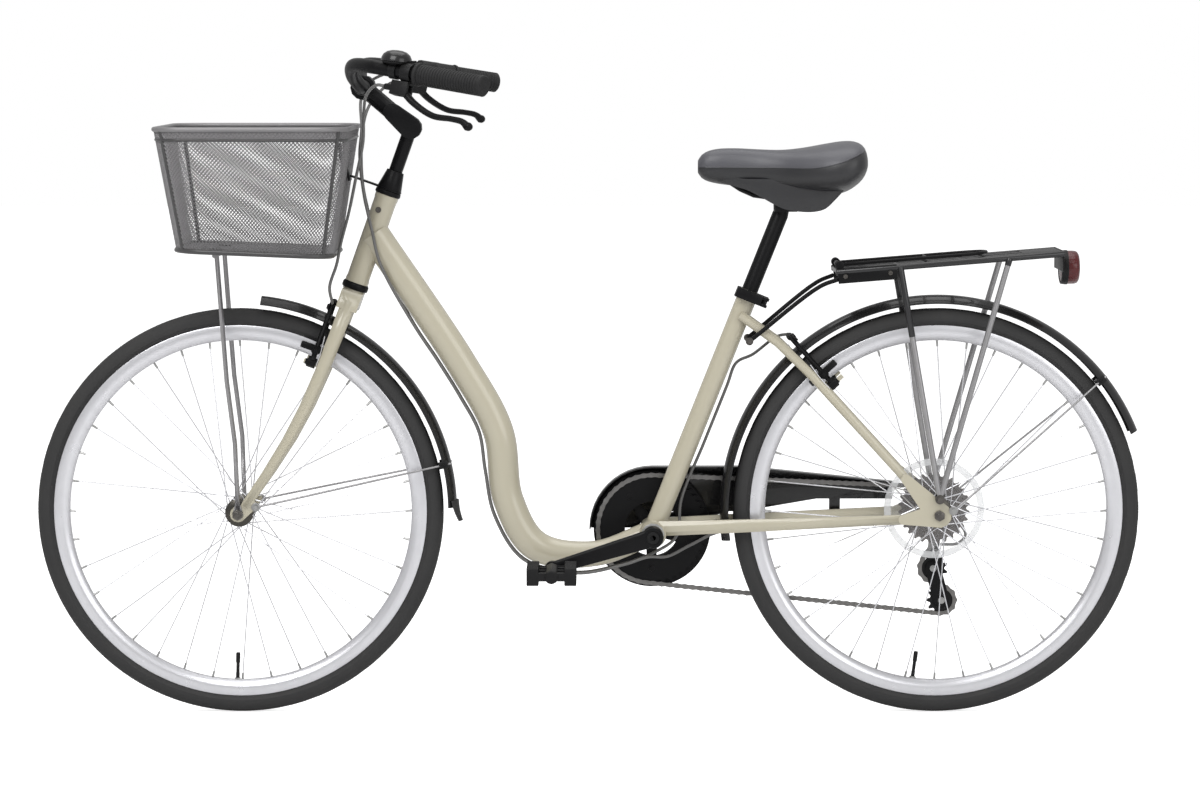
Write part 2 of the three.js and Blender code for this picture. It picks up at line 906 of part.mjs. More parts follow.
function chainPins(from, to) {
  const flip = (wheel) => (wheel.turn > 0 ? 0 : Math.PI);
  const angle = touchAngle(from, to);
  const start = onCircle(from.centre, from.radius, angle + flip(from));
  const end = onCircle(to.centre, to.radius, angle + flip(to));
  const length = start.distanceTo(end);
  const pins = [];
  for (let i = 0; i < chainPinsPerRun; i += 1) {
    const travel = chainPinMargin + ((length - chainPinMargin * 2) * i) / (chainPinsPerRun - 1);
    const spot = start.clone().lerp(end, travel / length);
    const low = from.centre.x < to.centre.x ? travel / length : 1 - travel / length;
    const y = chainringY + low * (chainY - chainringY);
    const half = chainInnerHalf + chainPlate / 2;
    pins.push(across(spot, chainPinRadius, y - half, y + half, capSides));
  }
  return pins;
}

function buildChain() {
  const stations = chainStations();
  const outer = chainInnerHalf + chainPlate;
  const bands = [chainBand(stations, chainInnerHalf, outer), chainBand(stations, -outer, -chainInnerHalf)];
  const [ring, sprocket, , tension] = chainWheels;
  piece(object, "chain", "steel", join(...bands, ...chainPins(ring, sprocket), ...chainPins(tension, ring)));
}

// Crankset

const leftPedal = onCircle(middle, crankLength, crankAngle);
const rightPedal = onCircle(middle, crankLength, crankAngle + Math.PI);

function crankArm(pedal) {
  const boss = across(middle, crankBossRadius, crankBossInnerY, crankInnerY + crankThickness);
  const arm = strap(middle, crankBossRadius, pedal, crankTipRadius, crankInnerY, crankInnerY + crankThickness);
  const axleEnd = pedalInnerY + pedalWidth - pedalPlate * 2;
  const axle = across(pedal, pedalAxleRadius, crankInnerY + crankThickness / 2, axleEnd, rodSides);
  return join(boss, arm, axle);
}

// A flat ring across the bicycle, centred on the crank axle
function crankRing(radius, y) {
  const half = chainringThickness / 2;
  const disc = across(middle, radius, y - half, y + half, ringSides);
  return cut(disc, across(middle, chainringHole, y - half * 2, y + half * 2));
}

function buildCrankset() {
  const bore = spindleRadius + runGap;
  const cartridgeRadius = shellRadius - shellWall - seatGap;
  const end = shellHalfWidth + seatGap;
  const cartridge = join(
    across(middle, cartridgeRadius, -end, end),
    across(middle, cartridgeFlangeRadius, end, end + cartridgeFlange),
    across(middle, cartridgeFlangeRadius, -end - cartridgeFlange, -end),
  );
  piece(seat, "bottom_bracket_cartridge", "steel", cut(cartridge, across(middle, bore, -spindleEndY, spindleEndY)));
  const spindle = across(middle, spindleRadius, -crankInnerY - overrun, spindleEndY);
  piece(object, "left_crank", "black", join(mirrored(crankArm(leftPedal)), spindle));

  const bodies = [crankArm(rightPedal)];
  bodies.push(crankRing(pitchRadius(chainringTeeth), chainringY), crankRing(guardRingRadius, guardRingY));
  for (let i = 0; i < spiderArms; i += 1) {
    const angle = crankAngle + (fullTurn * (i + 0.5)) / spiderArms;
    const rivet = onCircle(middle, rivetCircle, angle);
    bodies.push(across(rivet, rivetRadius, chainringY, guardRingY, capSides));
    const top = crankBossInnerY + chainringThickness;
    bodies.push(strap(middle, crankBossRadius, rivet, spiderArmHalf, guardRingY - chainringThickness / 2, top, capSides / 2));
  }
  const socket = across(middle, spindleRadius + seatGap, guardRingY - overrun, spindleEndY + seatGap);
  piece(object, "right_crank", "black", cut(join(...bodies), socket));
}

function pedalBody(centre) {
  const outerY = pedalInnerY + pedalWidth;
  const half = pedalLength / 2;
  const highest = pedalHeight / 2;
  const barrel = across(centre, pedalBarrelRadius, pedalInnerY, outerY, rodSides);
  const treads = [-1, 1].map((side) => {
    const inner = centre.x + side * (half - pedalBlockLength);
    const outer = centre.x + side * half;
    const [x0, x1] = [Math.min(inner, outer), Math.max(inner, outer)];
    return block(x0, x1, pedalInnerY, outerY, centre.z - highest, centre.z + highest);
  });
  const bar = highest / 2;
  const plates = [pedalInnerY, outerY - pedalPlate].map((y) => (
    block(centre.x - half, centre.x + half, y, y + pedalPlate, centre.z - bar, centre.z + bar)
  ));
  const bore = across(centre, pedalAxleRadius + runGap, pedalInnerY - overrun, outerY - pedalPlate, rodSides);
  return cut(join(barrel, ...treads, ...plates), bore);
}

function buildPedals() {
  piece(object, "left_pedal", "black", mirrored(pedalBody(leftPedal)));
  piece(object, "right_pedal", "black", pedalBody(rightPedal));
}

// Derailleur

function pulleyBody(centre) {
  const radius = pitchRadius(pulleyTeeth) + toothHeight / 3;
  const half = pulleyThickness / 2;
  const disc = across(centre, radius, chainY - half, chainY + half, tubeSides);
  const hub = across(centre, pulleyHubRadius, chainY - pulleyHubHalf, chainY + pulleyHubHalf, rodSides);
  const hole = across(centre, pulleyBoltRadius + runGap, chainY - cageInnerHalf, chainY + cageInnerHalf, rodSides);
  return cut(join(disc, hub), hole);
}

function buildDerailleur() {
  const inner = chainY - cageInnerHalf;
  const outer = chainY + cageInnerHalf;
  const bodies = [
    strap(guidePulley, cageEndRadius, tensionPulley, cageEndRadius, outer, outer + cagePlate),
    strap(guidePulley, cageEndRadius, tensionPulley, cageEndRadius, inner - cagePlate, inner),
  ];
  [guidePulley, tensionPulley].forEach((centre) => {
    bodies.push(across(centre, pulleyBoltRadius, inner - cagePlate, outer + cagePlate, rodSides));
  });
  piece(object, "derailleur_cage", "black", join(...bodies));
  piece(object, "guide_pulley", "black", pulleyBody(guidePulley));
  piece(object, "tension_pulley", "black", pulleyBody(tensionPulley));

  const hanger = at(rearAxleX + hangerBack, 0, axleHeight - hangerDrop);
  const top = dropoutInnerY + dropoutThickness + seatGap;
  const foot = outer + cagePlate + seatGap;
  const footTop = derailleurFootOuterY;
  const body = join(
    across(hanger, derailleurKnuckle, top, derailleurOuterY),
    across(guidePulley, derailleurKnuckle, foot, footTop),
    strap(hanger, derailleurLinkHalf, guidePulley, derailleurLinkHalf, top, footTop, capSides / 2),
  );
  piece(object, "derailleur_body", "black", body);
}

// Frame

const mainTubeStart = placed(steering, 0, 0, headTubeBottom + headTubeLength * mainTubeHeadShare);

function mainTubeCurve() {
  const { x, z } = mainTubeStart;
  const inside = mainTubeRouteShares.map(([xShare, zShare]) => at(x * xShare, 0, z * zShare));
  return curveThrough([mainTubeStart, ...inside, middle]);
}

function buildFrame() {
  const head = cut(
    upright(headTubeRadius, headTubeBottom, headTubeTop),
    upright(headTubeBore, headTubeBottom - overrun, headTubeTop + overrun),
  );
  piece(steering, "head_tube", "cream", head);

  const headCutter = moved(steering, upright(headTubeRadius + seatGap, 0, headTubeTop + headTubeRadius));
  const shellCutter = moved(seat, across(middle, shellRadius + seatGap, -shellHalfWidth, shellHalfWidth));
  const seatCutter = moved(seat, upright(seatTubeRadius + seatGap, 0, seatTubeLength));
  const swan = sweep(mainTubeCurve(), 14, tubeSides, () => [mainTubeRadius, mainTubeRadius], at(0, 1, 0));
  piece(object, "main_tube", "cream", cut(swan, headCutter, shellCutter, seatCutter));

  const post = seatPostRadius + seatGap;
  const shellBore = shellRadius - shellWall;
  const seatTube = cut(
    join(upright(seatTubeRadius, 0, seatTubeLength), across(middle, shellRadius, -shellHalfWidth, shellHalfWidth)),
    upright(post, seatTubeLength - seatTubeBoreDepth, seatTubeLength + overrun),
    across(middle, shellBore, -shellHalfWidth - overrun, shellHalfWidth + overrun),
  );
  piece(seat, "seat_tube", "cream", seatTube);
}

function dropout(withHanger) {
  const inner = dropoutInnerY;
  const outer = dropoutInnerY + dropoutThickness;
  const tip = at(chainStayTipX - chainStayHalfHeight, 0, chainStayTipZ);
  const stayTip = onCircle(rearAxle, seatStayTipRadius + seatStayRadius, seatStayAngle);
  const bodies = [
    strap(tip, chainStayTipHalf, rearAxle, dropoutRadius, inner, outer),
    strap(stayTip, seatStayRadius, rearAxle, dropoutRadius, inner, outer),
  ];
  if (withHanger) {
    const hanger = at(rearAxleX + hangerBack, 0, axleHeight - hangerDrop);
    bodies.push(strap(hanger, hangerRadius, rearAxle, dropoutRadius, inner, outer));
  }
  const hole = across(rearAxle, axleRadius + runGap, inner - overrun, outer + overrun, rodSides);
  return cut(join(...bodies), hole);
}

function chainStay() {
  const route = curveThrough([
    at(shellRadius / 2, chainStayStartY, chainStayStartZ),
    at(chainStayClearX, chainStayClearY, chainStayStartZ + (chainStayTipZ - chainStayStartZ) / 5),
    at(chainStayTipX, chainStayTipY, chainStayTipZ),
  ]);
  const sizeAt = (share) => [
    chainStayHalfWidth,
    chainStayHalfHeight + (chainStayTipHalf - chainStayHalfHeight) * share,
  ];
  return sweep(route, 3, rodSides, sizeAt, up);
}

function buildStays() {
  const shellCutter = moved(seat, across(middle, shellRadius + seatGap, -shellHalfWidth * 2, shellHalfWidth * 2));
  const guardClear = mudguardRadius + bridgeRadius + seatGap;
  const bridgeSpot = onCircle(rearAxle, guardClear, stayBridgeAngle);
  const bridge = across(bridgeSpot, bridgeRadius, -chainStayClearY, chainStayClearY, rodSides);
  const right = join(chainStay(), dropout(true));
  const left = mirrored(join(chainStay(), dropout(false)));
  const roomEnd = dropoutInnerY - seatGap;
  const freewheelRoom = across(rearAxle, dropoutRadius * 2, -roomEnd, roomEnd);
  const chainStays = cut(join(left, right, bridge), shellCutter, freewheelRoom);
  piece(object, "chain_stays", "cream", chainStays);

  const top = placed(seat, 0, seatStayTopY, seatStayTopHeight);
  const wheelSpot = onCircle(rearAxle, guardClear, seatStayAngle, seatStayWheelY);
  const tip = onCircle(rearAxle, seatStayTipRadius, seatStayAngle, seatStayTipY);
  const knees = [top.clone().lerp(wheelSpot, 0.85), wheelSpot.clone().lerp(tip, 0.06)];
  const stay = tube([top, knees[0], knees[1], tip], seatStayRadius, 5, rodSides);
  const pivot = brakePivot(rearBrakePivotY);
  const stud = rod(pivot.foot, pivot.end, brakeStudRadius, brakeStudRadius, wireSides);
  const side = join(stay, stud);
  const archSpot = onCircle(rearAxle, guardClear, seatStayAngle);
  const arch = across(archSpot, bridgeRadius, -seatStayWheelY, seatStayWheelY, rodSides);
  const seatCutter = moved(seat, upright(seatTubeRadius + seatGap, 0, seatTubeLength));
  piece(object, "seat_stays", "cream", cut(join(side, mirrored(side), arch), seatCutter));
}

// The stud of a rear brake arm: where it starts on the stay and where it ends behind it
function brakePivot(y) {
  const foot = onCircle(rearAxle, brakePivotRadius, seatStayAngle, y);
  const lean = seatStayAngle - Math.PI / 2;
  const outward = at(Math.cos(lean), 0, Math.sin(lean));
  return { foot, outward, end: foot.clone().addScaledVector(outward, brakeStudReach) };
}

// Fork and headset, built upright along the steering axis

function bladeCurve() {
  return curveThrough([
    at(0, bladeTopY, headTubeBottom - lowerCupHeight - raceHeight - crownHeight / 2),
    at(-forkRake * 0.06, bladeTopY + 1, brakePivotRadius),
    at(-forkRake * 0.24, bladeTopY + (forkTipInnerY - bladeTopY) * 0.35, tyreRadius / 2),
    at(-forkRake * 0.6, bladeTopY + (forkTipInnerY - bladeTopY) * 0.75, tyreRadius * 0.22),
    at(-forkRake * 0.88, forkTipInnerY, forkTipRadius * 1.2),
  ]);
}

function buildFork() {
  const crownTop = headTubeBottom - lowerCupHeight - raceHeight;
  const crownBottom = crownTop - crownHeight;
  const depth = crownHalfDepth;
  const crown = block(-depth, depth, -crownHalfWidth, crownHalfWidth, crownBottom, crownTop);
  const arch = block(-depth - overrun, depth + overrun, -mudguardWidth / 2, mudguardWidth / 2, 0, crownBottom + overrun);
  const steerer = upright(steererRadius, crownBottom + crownHeight / 2, headTubeTop + steererTopAbove);
  const race = upright(cupRadius - overrun, crownTop, crownTop + raceHeight - seatGap);
  const sizeAt = (share) => {
    const radius = bladeTopRadius + (bladeTipRadius - bladeTopRadius) * share * share;
    return [radius, radius];
  };
  const blade = sweep(bladeCurve(), 6, rodSides, sizeAt, rear);
  const axle = at(-forkRake, 0, 0);
  const inner = forkTipInnerY;
  const outer = forkTipInnerY + forkTipThickness;
  const eye = at(-forkRake * 0.7, 0, forkTipRadius * 1.6);
  const tip = strap(eye, bladeTipRadius, axle, forkTipRadius, inner, outer);
  const studFoot = at(-forkRake * 0.06, frontBrakePivotY, brakePivotRadius);
  const studEnd = at(-brakeStudReach, frontBrakePivotY, brakePivotRadius);
  const stud = rod(studFoot, studEnd, brakeStudRadius, brakeStudRadius, wireSides);
  const side = join(blade, tip, stud);
  const bore = upright(steererBore, crownBottom - overrun, headTubeTop + steererTopAbove + overrun);
  const hole = across(axle, axleRadius + runGap, -outer - overrun, outer + overrun, rodSides);
  const hub = across(axle, frontFlangeRadius, seatGap - forkTipInnerY, forkTipInnerY - seatGap, rodSides);
  const fork = cut(join(crown, steerer, race, side, mirrored(side)), arch, bore, hole, hub);
  piece(steering, "fork", "cream", fork);
}

function buildHeadset() {
  const bore = steererRadius + runGap;
  const spigot = headTubeBore - seatGap;
  const lowTop = headTubeBottom - seatGap;
  const lowCup = join(
    upright(cupRadius, headTubeBottom - lowerCupHeight, lowTop),
    upright(spigot, lowTop, lowTop + cupSpigotLength),
  );
  const long = (body) => cut(body, upright(bore, headTubeBottom - lowerCupHeight * 2, headTubeTop + locknutHeight * 2));
  piece(steering, "lower_headset_cup", "black", long(lowCup));
  const cupBottom = headTubeTop + seatGap;
  const topCup = join(
    upright(cupRadius, cupBottom, cupBottom + upperCupHeight),
    upright(spigot, cupBottom - cupSpigotLength, cupBottom),
  );
  piece(steering, "upper_headset_cup", "black", long(topCup));
  const coneFoot = cupBottom + upperCupHeight + seatGap + bracketRingThickness + seatGap;
  const coneTop = coneFoot + locknutHeight;
  const steererTop = headTubeTop + steererTopAbove + seatGap;
  const cone = upright(locknutFootRadius, coneFoot, coneTop, tubeSides, locknutNeckRadius);
  const hollow = upright(steererRadius + seatGap, coneFoot - overrun, steererTop);
  const neck = upright(quillRadius + seatGap, coneFoot, coneTop + overrun);
  piece(steering, "headset_locknut", "black", cut(cone, hollow, neck));
}

// Stem

const elbow = placed(steering, 0, 0, elbowHeight);
const barCentre = onCircle(elbow, extensionLength, extensionAngle);

function buildStem() {
  const neckTop = elbowHeight - elbowRadius - seatGap;
  const tongue = across(at(0, 0, elbowHeight), elbowRadius, -elbowHalfWidth, elbowHalfWidth);
  const hole = across(at(0, 0, elbowHeight), elbowBolt + runGap, -elbowRadius, elbowRadius, rodSides);
  const quill = cut(join(upright(quillRadius, quillBottom, neckTop + elbowRadius / 2), tongue), hole);
  piece(steering, "stem_quill", "black", quill);

  const cheekInner = elbowHalfWidth + seatGap;
  const cheekOuter = cheekInner + elbowCheek;
  const bridgeStart = onCircle(elbow, elbowRadius * 2.2, extensionAngle);
  const cheek = strap(elbow, elbowRadius, bridgeStart, extensionRadius, cheekInner, cheekOuter);
  const bridge = rod(bridgeStart.clone().lerp(elbow, 0.25), barCentre, extensionRadius, extensionRadius, rodSides + 2);
  const fill = across(bridgeStart, extensionRadius, -cheekOuter, cheekOuter, rodSides);
  const bolt = across(elbow, elbowBolt, -cheekOuter, cheekOuter, wireSides);
  const clamp = across(barCentre, barClampRadius, -barClampHalfWidth, barClampHalfWidth);
  const room = across(elbow, elbowRadius + runGap, -cheekInner, cheekInner);
  const bore = across(barCentre, barBulgeRadius + seatGap, -barClampHalfWidth - overrun, barClampHalfWidth + overrun);
  const extension = join(cut(join(bridge, fill), room), cheek, mirrored(cheek), bolt, clamp);
  piece(object, "stem_extension", "black", cut(extension, bore));
}

// Handlebar and what sits on it. The left half is y < 0.

const barEnd = at(barCentre.x + barEndBack, barHalfWidth, barCentre.z + barEndRise);
const gripLine = at(
  Math.cos(gripDrop) * Math.cos(gripSweep),
  Math.cos(gripDrop) * Math.sin(gripSweep),
  -Math.sin(gripDrop),
);

function barHalfPoints(side) {
  const straightStart = barEnd.clone().addScaledVector(gripLine, -barStraight);
  const points = [
    at(barCentre.x, barBulgeHalfWidth, barCentre.z),
    at(barCentre.x - barRadius, barHalfWidth * 0.3, barCentre.z + barRiseHeight * 0.55),
    at(barCentre.x - barRadius * 0.5, barHalfWidth * 0.48, barCentre.z + barRiseHeight),
    straightStart.clone().addScaledVector(gripLine, -barRadius * 2),
    straightStart,
    barEnd.clone().addScaledVector(gripLine, -gripEndWall - seatGap),
  ];
  return points.map((point) => at(point.x, point.y * side, point.z));
}

function buildHandlebar() {
  const bulge = across(barCentre, barBulgeRadius, -barBulgeHalfWidth, barBulgeHalfWidth);
  const half = tube([barCentre, ...barHalfPoints(1)], barRadius, 9, rodSides);
  piece(object, "handlebar", "black", join(bulge, half, mirrored(half)));
}

// A group at a bar end: x runs outwards along the grip, and z is turned away from the lever
function barEndGroup(side) {
  const outward = at(gripLine.x, gripLine.y * side, gripLine.z);
  const lift = at(0.42, 0, 0.9).addScaledVector(outward, -at(0.42, 0, 0.9).dot(outward)).normalize();
  const crosswise = lift.clone().cross(outward);
  const group = groupAt(at(barEnd.x, barEnd.y * side, barEnd.z));
  group.quaternion.setFromRotationMatrix(new THREE.Matrix4().makeBasis(outward, crosswise, lift));
  return group;
}

function alongBar(from, to, radius, sides = tubeSides) {
  return rod(at(from, 0, 0), at(to, 0, 0), radius, radius, sides);
}

function gripBody(length) {
  const hole = alongBar(-length - overrun, -gripEndWall, barRadius + runGap);
  return cut(alongBar(-length, 0, gripRadius), hole);
}

function perchBody(withShifterCase) {
  const from = -perchFromEnd - perchWidth / 2;
  const to = -perchFromEnd + perchWidth / 2;
  const cheekInner = perchCheekGap / 2 + seatGap;
  const cheekOuter = cheekInner + perchCheek;
  const low = -perchPivotDrop - perchDepth / 2;
  const shoulder = -barRadius - perchCheek;
  const bodies = [
    alongBar(from, to, perchRadius),
    block(from - perchDepth, to, -cheekOuter, cheekOuter, low, shoulder),
  ];
  const slot = block(from - overrun, to + overrun, -cheekInner, cheekInner, low - overrun, shoulder - perchCheek);
  const pin = rod(at(-perchFromEnd, -cheekOuter, -perchPivotDrop), at(-perchFromEnd, cheekOuter, -perchPivotDrop), leverPinRadius);
  const barrelZ = -perchPivotDrop + perchDepth / 3;
  const barrel = rod(at(from - perchDepth, 0, barrelZ), at(from - perchDepth - barrelLength, 0, barrelZ), barrelRadius, barrelRadius, wireSides);
  if (withShifterCase) {
    const caseEnd = -shortGripLength - seatGap - shifterLength - seatGap;
    bodies.push(alongBar(from, caseEnd, shifterRadius));
    const barrelEnd = at(from - perchDepth - barrelLength, shiftExit, -shiftExit);
    bodies.push(rod(at(from, shiftExit, -shiftExit), barrelEnd, barrelRadius, barrelRadius, wireSides));
  }
  const body = join(cut(join(...bodies), slot), pin, barrel);
  return cut(body, alongBar(from - perchDepth * 3, to + overrun + shifterLength, barRadius + runGap));
}

function leverBody() {
  const pivot = at(-perchFromEnd, 0, -perchPivotDrop);
  const half = perchCheekGap / 2;
  const eye = rod(at(pivot.x, -half, pivot.z), at(pivot.x, half, pivot.z), leverPinRadius * 2.6);
  const tip = at(-leverTipFromEnd, 0, -leverReach);
  const blade = tube([
    pivot,
    at(pivot.x + leverReach * 0.35, 0, pivot.z - leverReach * 0.22),
    at(pivot.x + leverReach, 0, -leverReach * 0.95),
    tip,
  ], leverRadius, 5, wireSides);
  const hole = rod(at(pivot.x, -half * 2, pivot.z), at(pivot.x, half * 2, pivot.z), leverPinRadius + runGap);
  return cut(join(eye, blade), hole);
}

function buildControls() {
  const left = barEndGroup(-1);
  const right = barEndGroup(1);
  piece(left, "left_grip", "rubber", gripBody(gripLength));
  piece(right, "right_grip", "rubber", gripBody(shortGripLength));
  const shifterEnd = -shortGripLength - seatGap;
  const shifter = cut(
    alongBar(shifterEnd - shifterLength, shifterEnd, shifterRadius),
    alongBar(shifterEnd - shifterLength - overrun, shifterEnd + overrun, barRadius + runGap * 1.6),
  );
  piece(right, "twist_shifter", "black", shifter);
  piece(left, "left_brake_bracket", "black", perchBody(false));
  piece(right, "right_brake_bracket", "black", perchBody(true));
  piece(left, "left_brake_lever", "silver", leverBody());
  piece(right, "right_brake_lever", "silver", leverBody());
  return { left, right };
}

// V-brake arms. In their own axes x points away from the fork or stay and z along the arm.

function brakeArmBody(pivotY, back) {
  const front = back + brakeArmDepth;
  const middleX = (front + back) / 2;
  const hub = rod(at(back, pivotY, 0), at(front, pivotY, 0), brakeHubRadius, brakeHubRadius, wireSides);
  const arm = rod(at(middleX, pivotY, 0), at(middleX, brakeArmTopY, brakeArmLength), brakeArmRadius, brakeArmRadius * 0.8, wireSides);
  const padY = rimWidth / 2 + brakePadGap;
  const padZ = brakePadRise;
  const half = brakePadHeight / 2;
  const pad = block(
    middleX - brakePadLength / 2,
    middleX + brakePadLength / 2,
    padY,
    padY + brakePadThickness,
    padZ - half,
    padZ + half,
  );
  const postRadius = brakeArmRadius * 0.7;
  const postStart = at(middleX, padY + brakePadThickness / 2, padZ);
  const postEnd = at(middleX, pivotY + brakeArmRadius, padZ);
  const post = rod(postStart, postEnd, postRadius, postRadius, capSides);
  const holeRadius = brakeStudRadius + runGap * 1.6;
  const holeEnd = brakeStudReach + overrun;
  const hole = rod(at(-overrun, pivotY, 0), at(holeEnd, pivotY, 0), holeRadius, holeRadius, wireSides);
  return cut(join(hub, arm, pad, post), hole);
}

function buildBrakes() {
  const front = new THREE.Group();
  front.position.set(0, 0, brakePivotRadius);
  front.rotation.z = Math.PI;
  steering.add(front);
  piece(front, "front_left_brake_arm", "black", brakeArmBody(frontBrakePivotY, frontArmClear));
  piece(front, "front_right_brake_arm", "black", mirrored(brakeArmBody(frontBrakePivotY, frontArmClear)));
  const back = groupAt(onCircle(rearAxle, brakePivotRadius, seatStayAngle), Math.PI / 2 - seatStayAngle);
  piece(back, "rear_left_brake_arm", "black", mirrored(brakeArmBody(rearBrakePivotY, rearArmClear)));
  piece(back, "rear_right_brake_arm", "black", brakeArmBody(rearBrakePivotY, rearArmClear));
}

// Mudguards

function guardArc(axle, from, to) {
  const half = mudguardWidth / 2;
  const shares = [[-1, 1], [-0.6, 0], [0.6, 0], [1, 1]];
  const rings = [];
  for (let i = 0; i <= mudguardSteps; i += 1) {
    const angle = from + ((to - from) * i) / mudguardSteps;
    const outer = shares.map(([wide, drop]) => (
      onCircle(axle, mudguardRadius - mudguardCrown * drop, angle, half * wide)
    ));
    const inner = shares.map(([wide, drop]) => {
      const radius = mudguardRadius - mudguardThickness - mudguardCrown * drop;
      return onCircle(axle, radius, angle, (half - mudguardThickness) * wide);
    });
    rings.push([...outer, ...inner.reverse()]);
  }
  return loft(rings);
}

function guardStay(axle, eye, angle, eyeY) {
  const edge = onCircle(axle, mudguardRadius - mudguardCrown, angle, mudguardWidth / 2);
  const start = at(eye.x, eyeY + stayEyeThickness / 2, eye.z);
  const loop = across(eye, stayEyeRadius, eyeY, eyeY + stayEyeThickness, rodSides);
  const knee = start.clone().lerp(at(edge.x, start.y, edge.z), 0.12);
  return join(tube([start, knee, edge], stayWireRadius, 2, capSides), loop);
}

function buildMudguards() {
  const frontEye = placed(steering, -forkRake * 0.7 + stayEyeRadius, 0, forkTipRadius * 1.6);
  const eyeY = forkTipInnerY + forkTipThickness + seatGap;
  const frontStay = guardStay(frontAxle, frontEye, frontStayAngle, eyeY);
  const crownBottom = headTubeBottom - lowerCupHeight - raceHeight - crownHeight;
  const tabTop = placed(steering, 0, 0, crownBottom + overrun - seatGap);
  const guardTop = placed(steering, 0, 0, mudguardRadius - mudguardCrown);
  const tab = rod(guardTop, tabTop, guardTabHalf, guardTabHalf, wireSides);
  const frontGuard = guardArc(frontAxle, frontGuardStart, frontGuardEnd);
  const wheelRoom = across(frontAxle, mudguardRadius - mudguardThickness, -guardTabHalf * 2, guardTabHalf * 2, wheelSides);
  piece(object, "front_mudguard", "black", join(frontGuard, cut(tab, wheelRoom), frontStay, mirrored(frontStay)));

  const rearEye = onCircle(rearAxle, dropoutRadius + stayEyeRadius / 2, rearStayAngle / 2);
  const rearEyeY = dropoutInnerY + dropoutThickness + seatGap;
  const rearStay = guardStay(rearAxle, rearEye, rearStayAngle, rearEyeY);
  const rearGuard = guardArc(rearAxle, rearGuardStart, rearGuardEnd);
  piece(object, "rear_mudguard", "black", join(rearGuard, rearStay, mirrored(rearStay)));
}

// Basket and its legs

function basketRing(frontX, backX, frontZ, backZ, halfWidth, corner, inset) {
  const ring = [];
  const quarter = 2;
  const corners = [
    [backX - inset, halfWidth - inset, 0, backZ],
    [frontX + inset, halfWidth - inset, 1, frontZ],
    [frontX + inset, inset - halfWidth, 2, frontZ],
    [backX - inset, inset - halfWidth, 3, backZ],
  ];
  corners.forEach(([x, y, turn, z]) => {
    for (let k = 0; k <= quarter; k += 1) {
      const angle = (turn + k / quarter) * (Math.PI / 2);
      const inwardX = x - Math.sign(x - (frontX + backX) / 2) * corner;
      const inwardY = y - Math.sign(y) * corner;
      ring.push(at(inwardX + corner * Math.cos(angle), inwardY + corner * Math.sin(angle), z));
    }
  });
  return ring;
}

function basketShell(inset, rise) {
  const low = basketRing(
    basketFloorFrontX, basketFloorBackX,
    basketFloorFrontZ + rise, basketFloorBackZ + rise,
    basketFloorHalfWidth, basketCorner, inset,
  );
  const high = basketRing(
    basketTopFrontX, basketTopBackX,
    basketTopZ + rise, basketTopZ + rise,
    basketTopHalfWidth, basketCorner, inset,
  );
  return loft([low, high]);
}

// A window through the walls: wide is its share of the wall at each level, from -1 to 1
function basketWindow(levels, wide, outline) {
  const rings = levels.map((level) => {
    const z = basketFloorFrontZ + (basketTopZ - basketFloorFrontZ) * level;
    return outline(level, wide[0], wide[1]).map(([x, y]) => at(x, y, z));
  });
  return loft(rings);
}

// Windows through both side walls, or through the front or back wall
function basketWindows() {
  const height = basketTopZ - basketFloorFrontZ;
  const tall = (height - basketEdge * 2 - basketBar * (basketRows - 1)) / basketRows;
  const mix = (low, high, level) => low + (high - low) * level;
  const frontX = (level) => mix(basketFloorFrontX, basketTopFrontX, level);
  const backX = (level) => mix(basketFloorBackX, basketTopBackX, level);
  const halfY = (level) => mix(basketFloorHalfWidth, basketTopHalfWidth, level);
  const across = (level, from, to) => {
    const middleX = (frontX(level) + backX(level)) / 2;
    const half = (backX(level) - frontX(level)) / 2 - basketCorner * 0.6;
    const reach = basketTopHalfWidth * 2;
    const [a, b] = [middleX + half * from, middleX + half * to];
    return [[a, -reach], [b, -reach], [b, reach], [a, reach]];
  };
  const along = (direction) => (level, from, to) => {
    const half = halfY(level) - basketCorner * 0.6;
    const wallX = direction < 0 ? frontX(level) : backX(level);
    const [near, far] = [wallX - basketCorner, wallX + basketCorner];
    return [[near, half * from], [far, half * from], [far, half * to], [near, half * to]];
  };
  const windows = [];
  const step = 2 / basketColumns;
  for (let row = 0; row < basketRows; row += 1) {
    const low = basketEdge + row * (tall + basketBar);
    const levels = [low / height, (low + tall) / height];
    for (let column = 0; column < basketColumns; column += 1) {
      const bar = basketBar / 2 / basketFloorHalfWidth;
      const wide = [column * step - 1 + bar, (column + 1) * step - 1 - bar];
      windows.push(basketWindow(levels, wide, across), basketWindow(levels, wide, along(-1)));
      const besideBracket = column === 0 || column === basketColumns - 1;
      if (besideBracket) windows.push(basketWindow(levels, wide, along(1)));
    }
  }
  return windows;
}

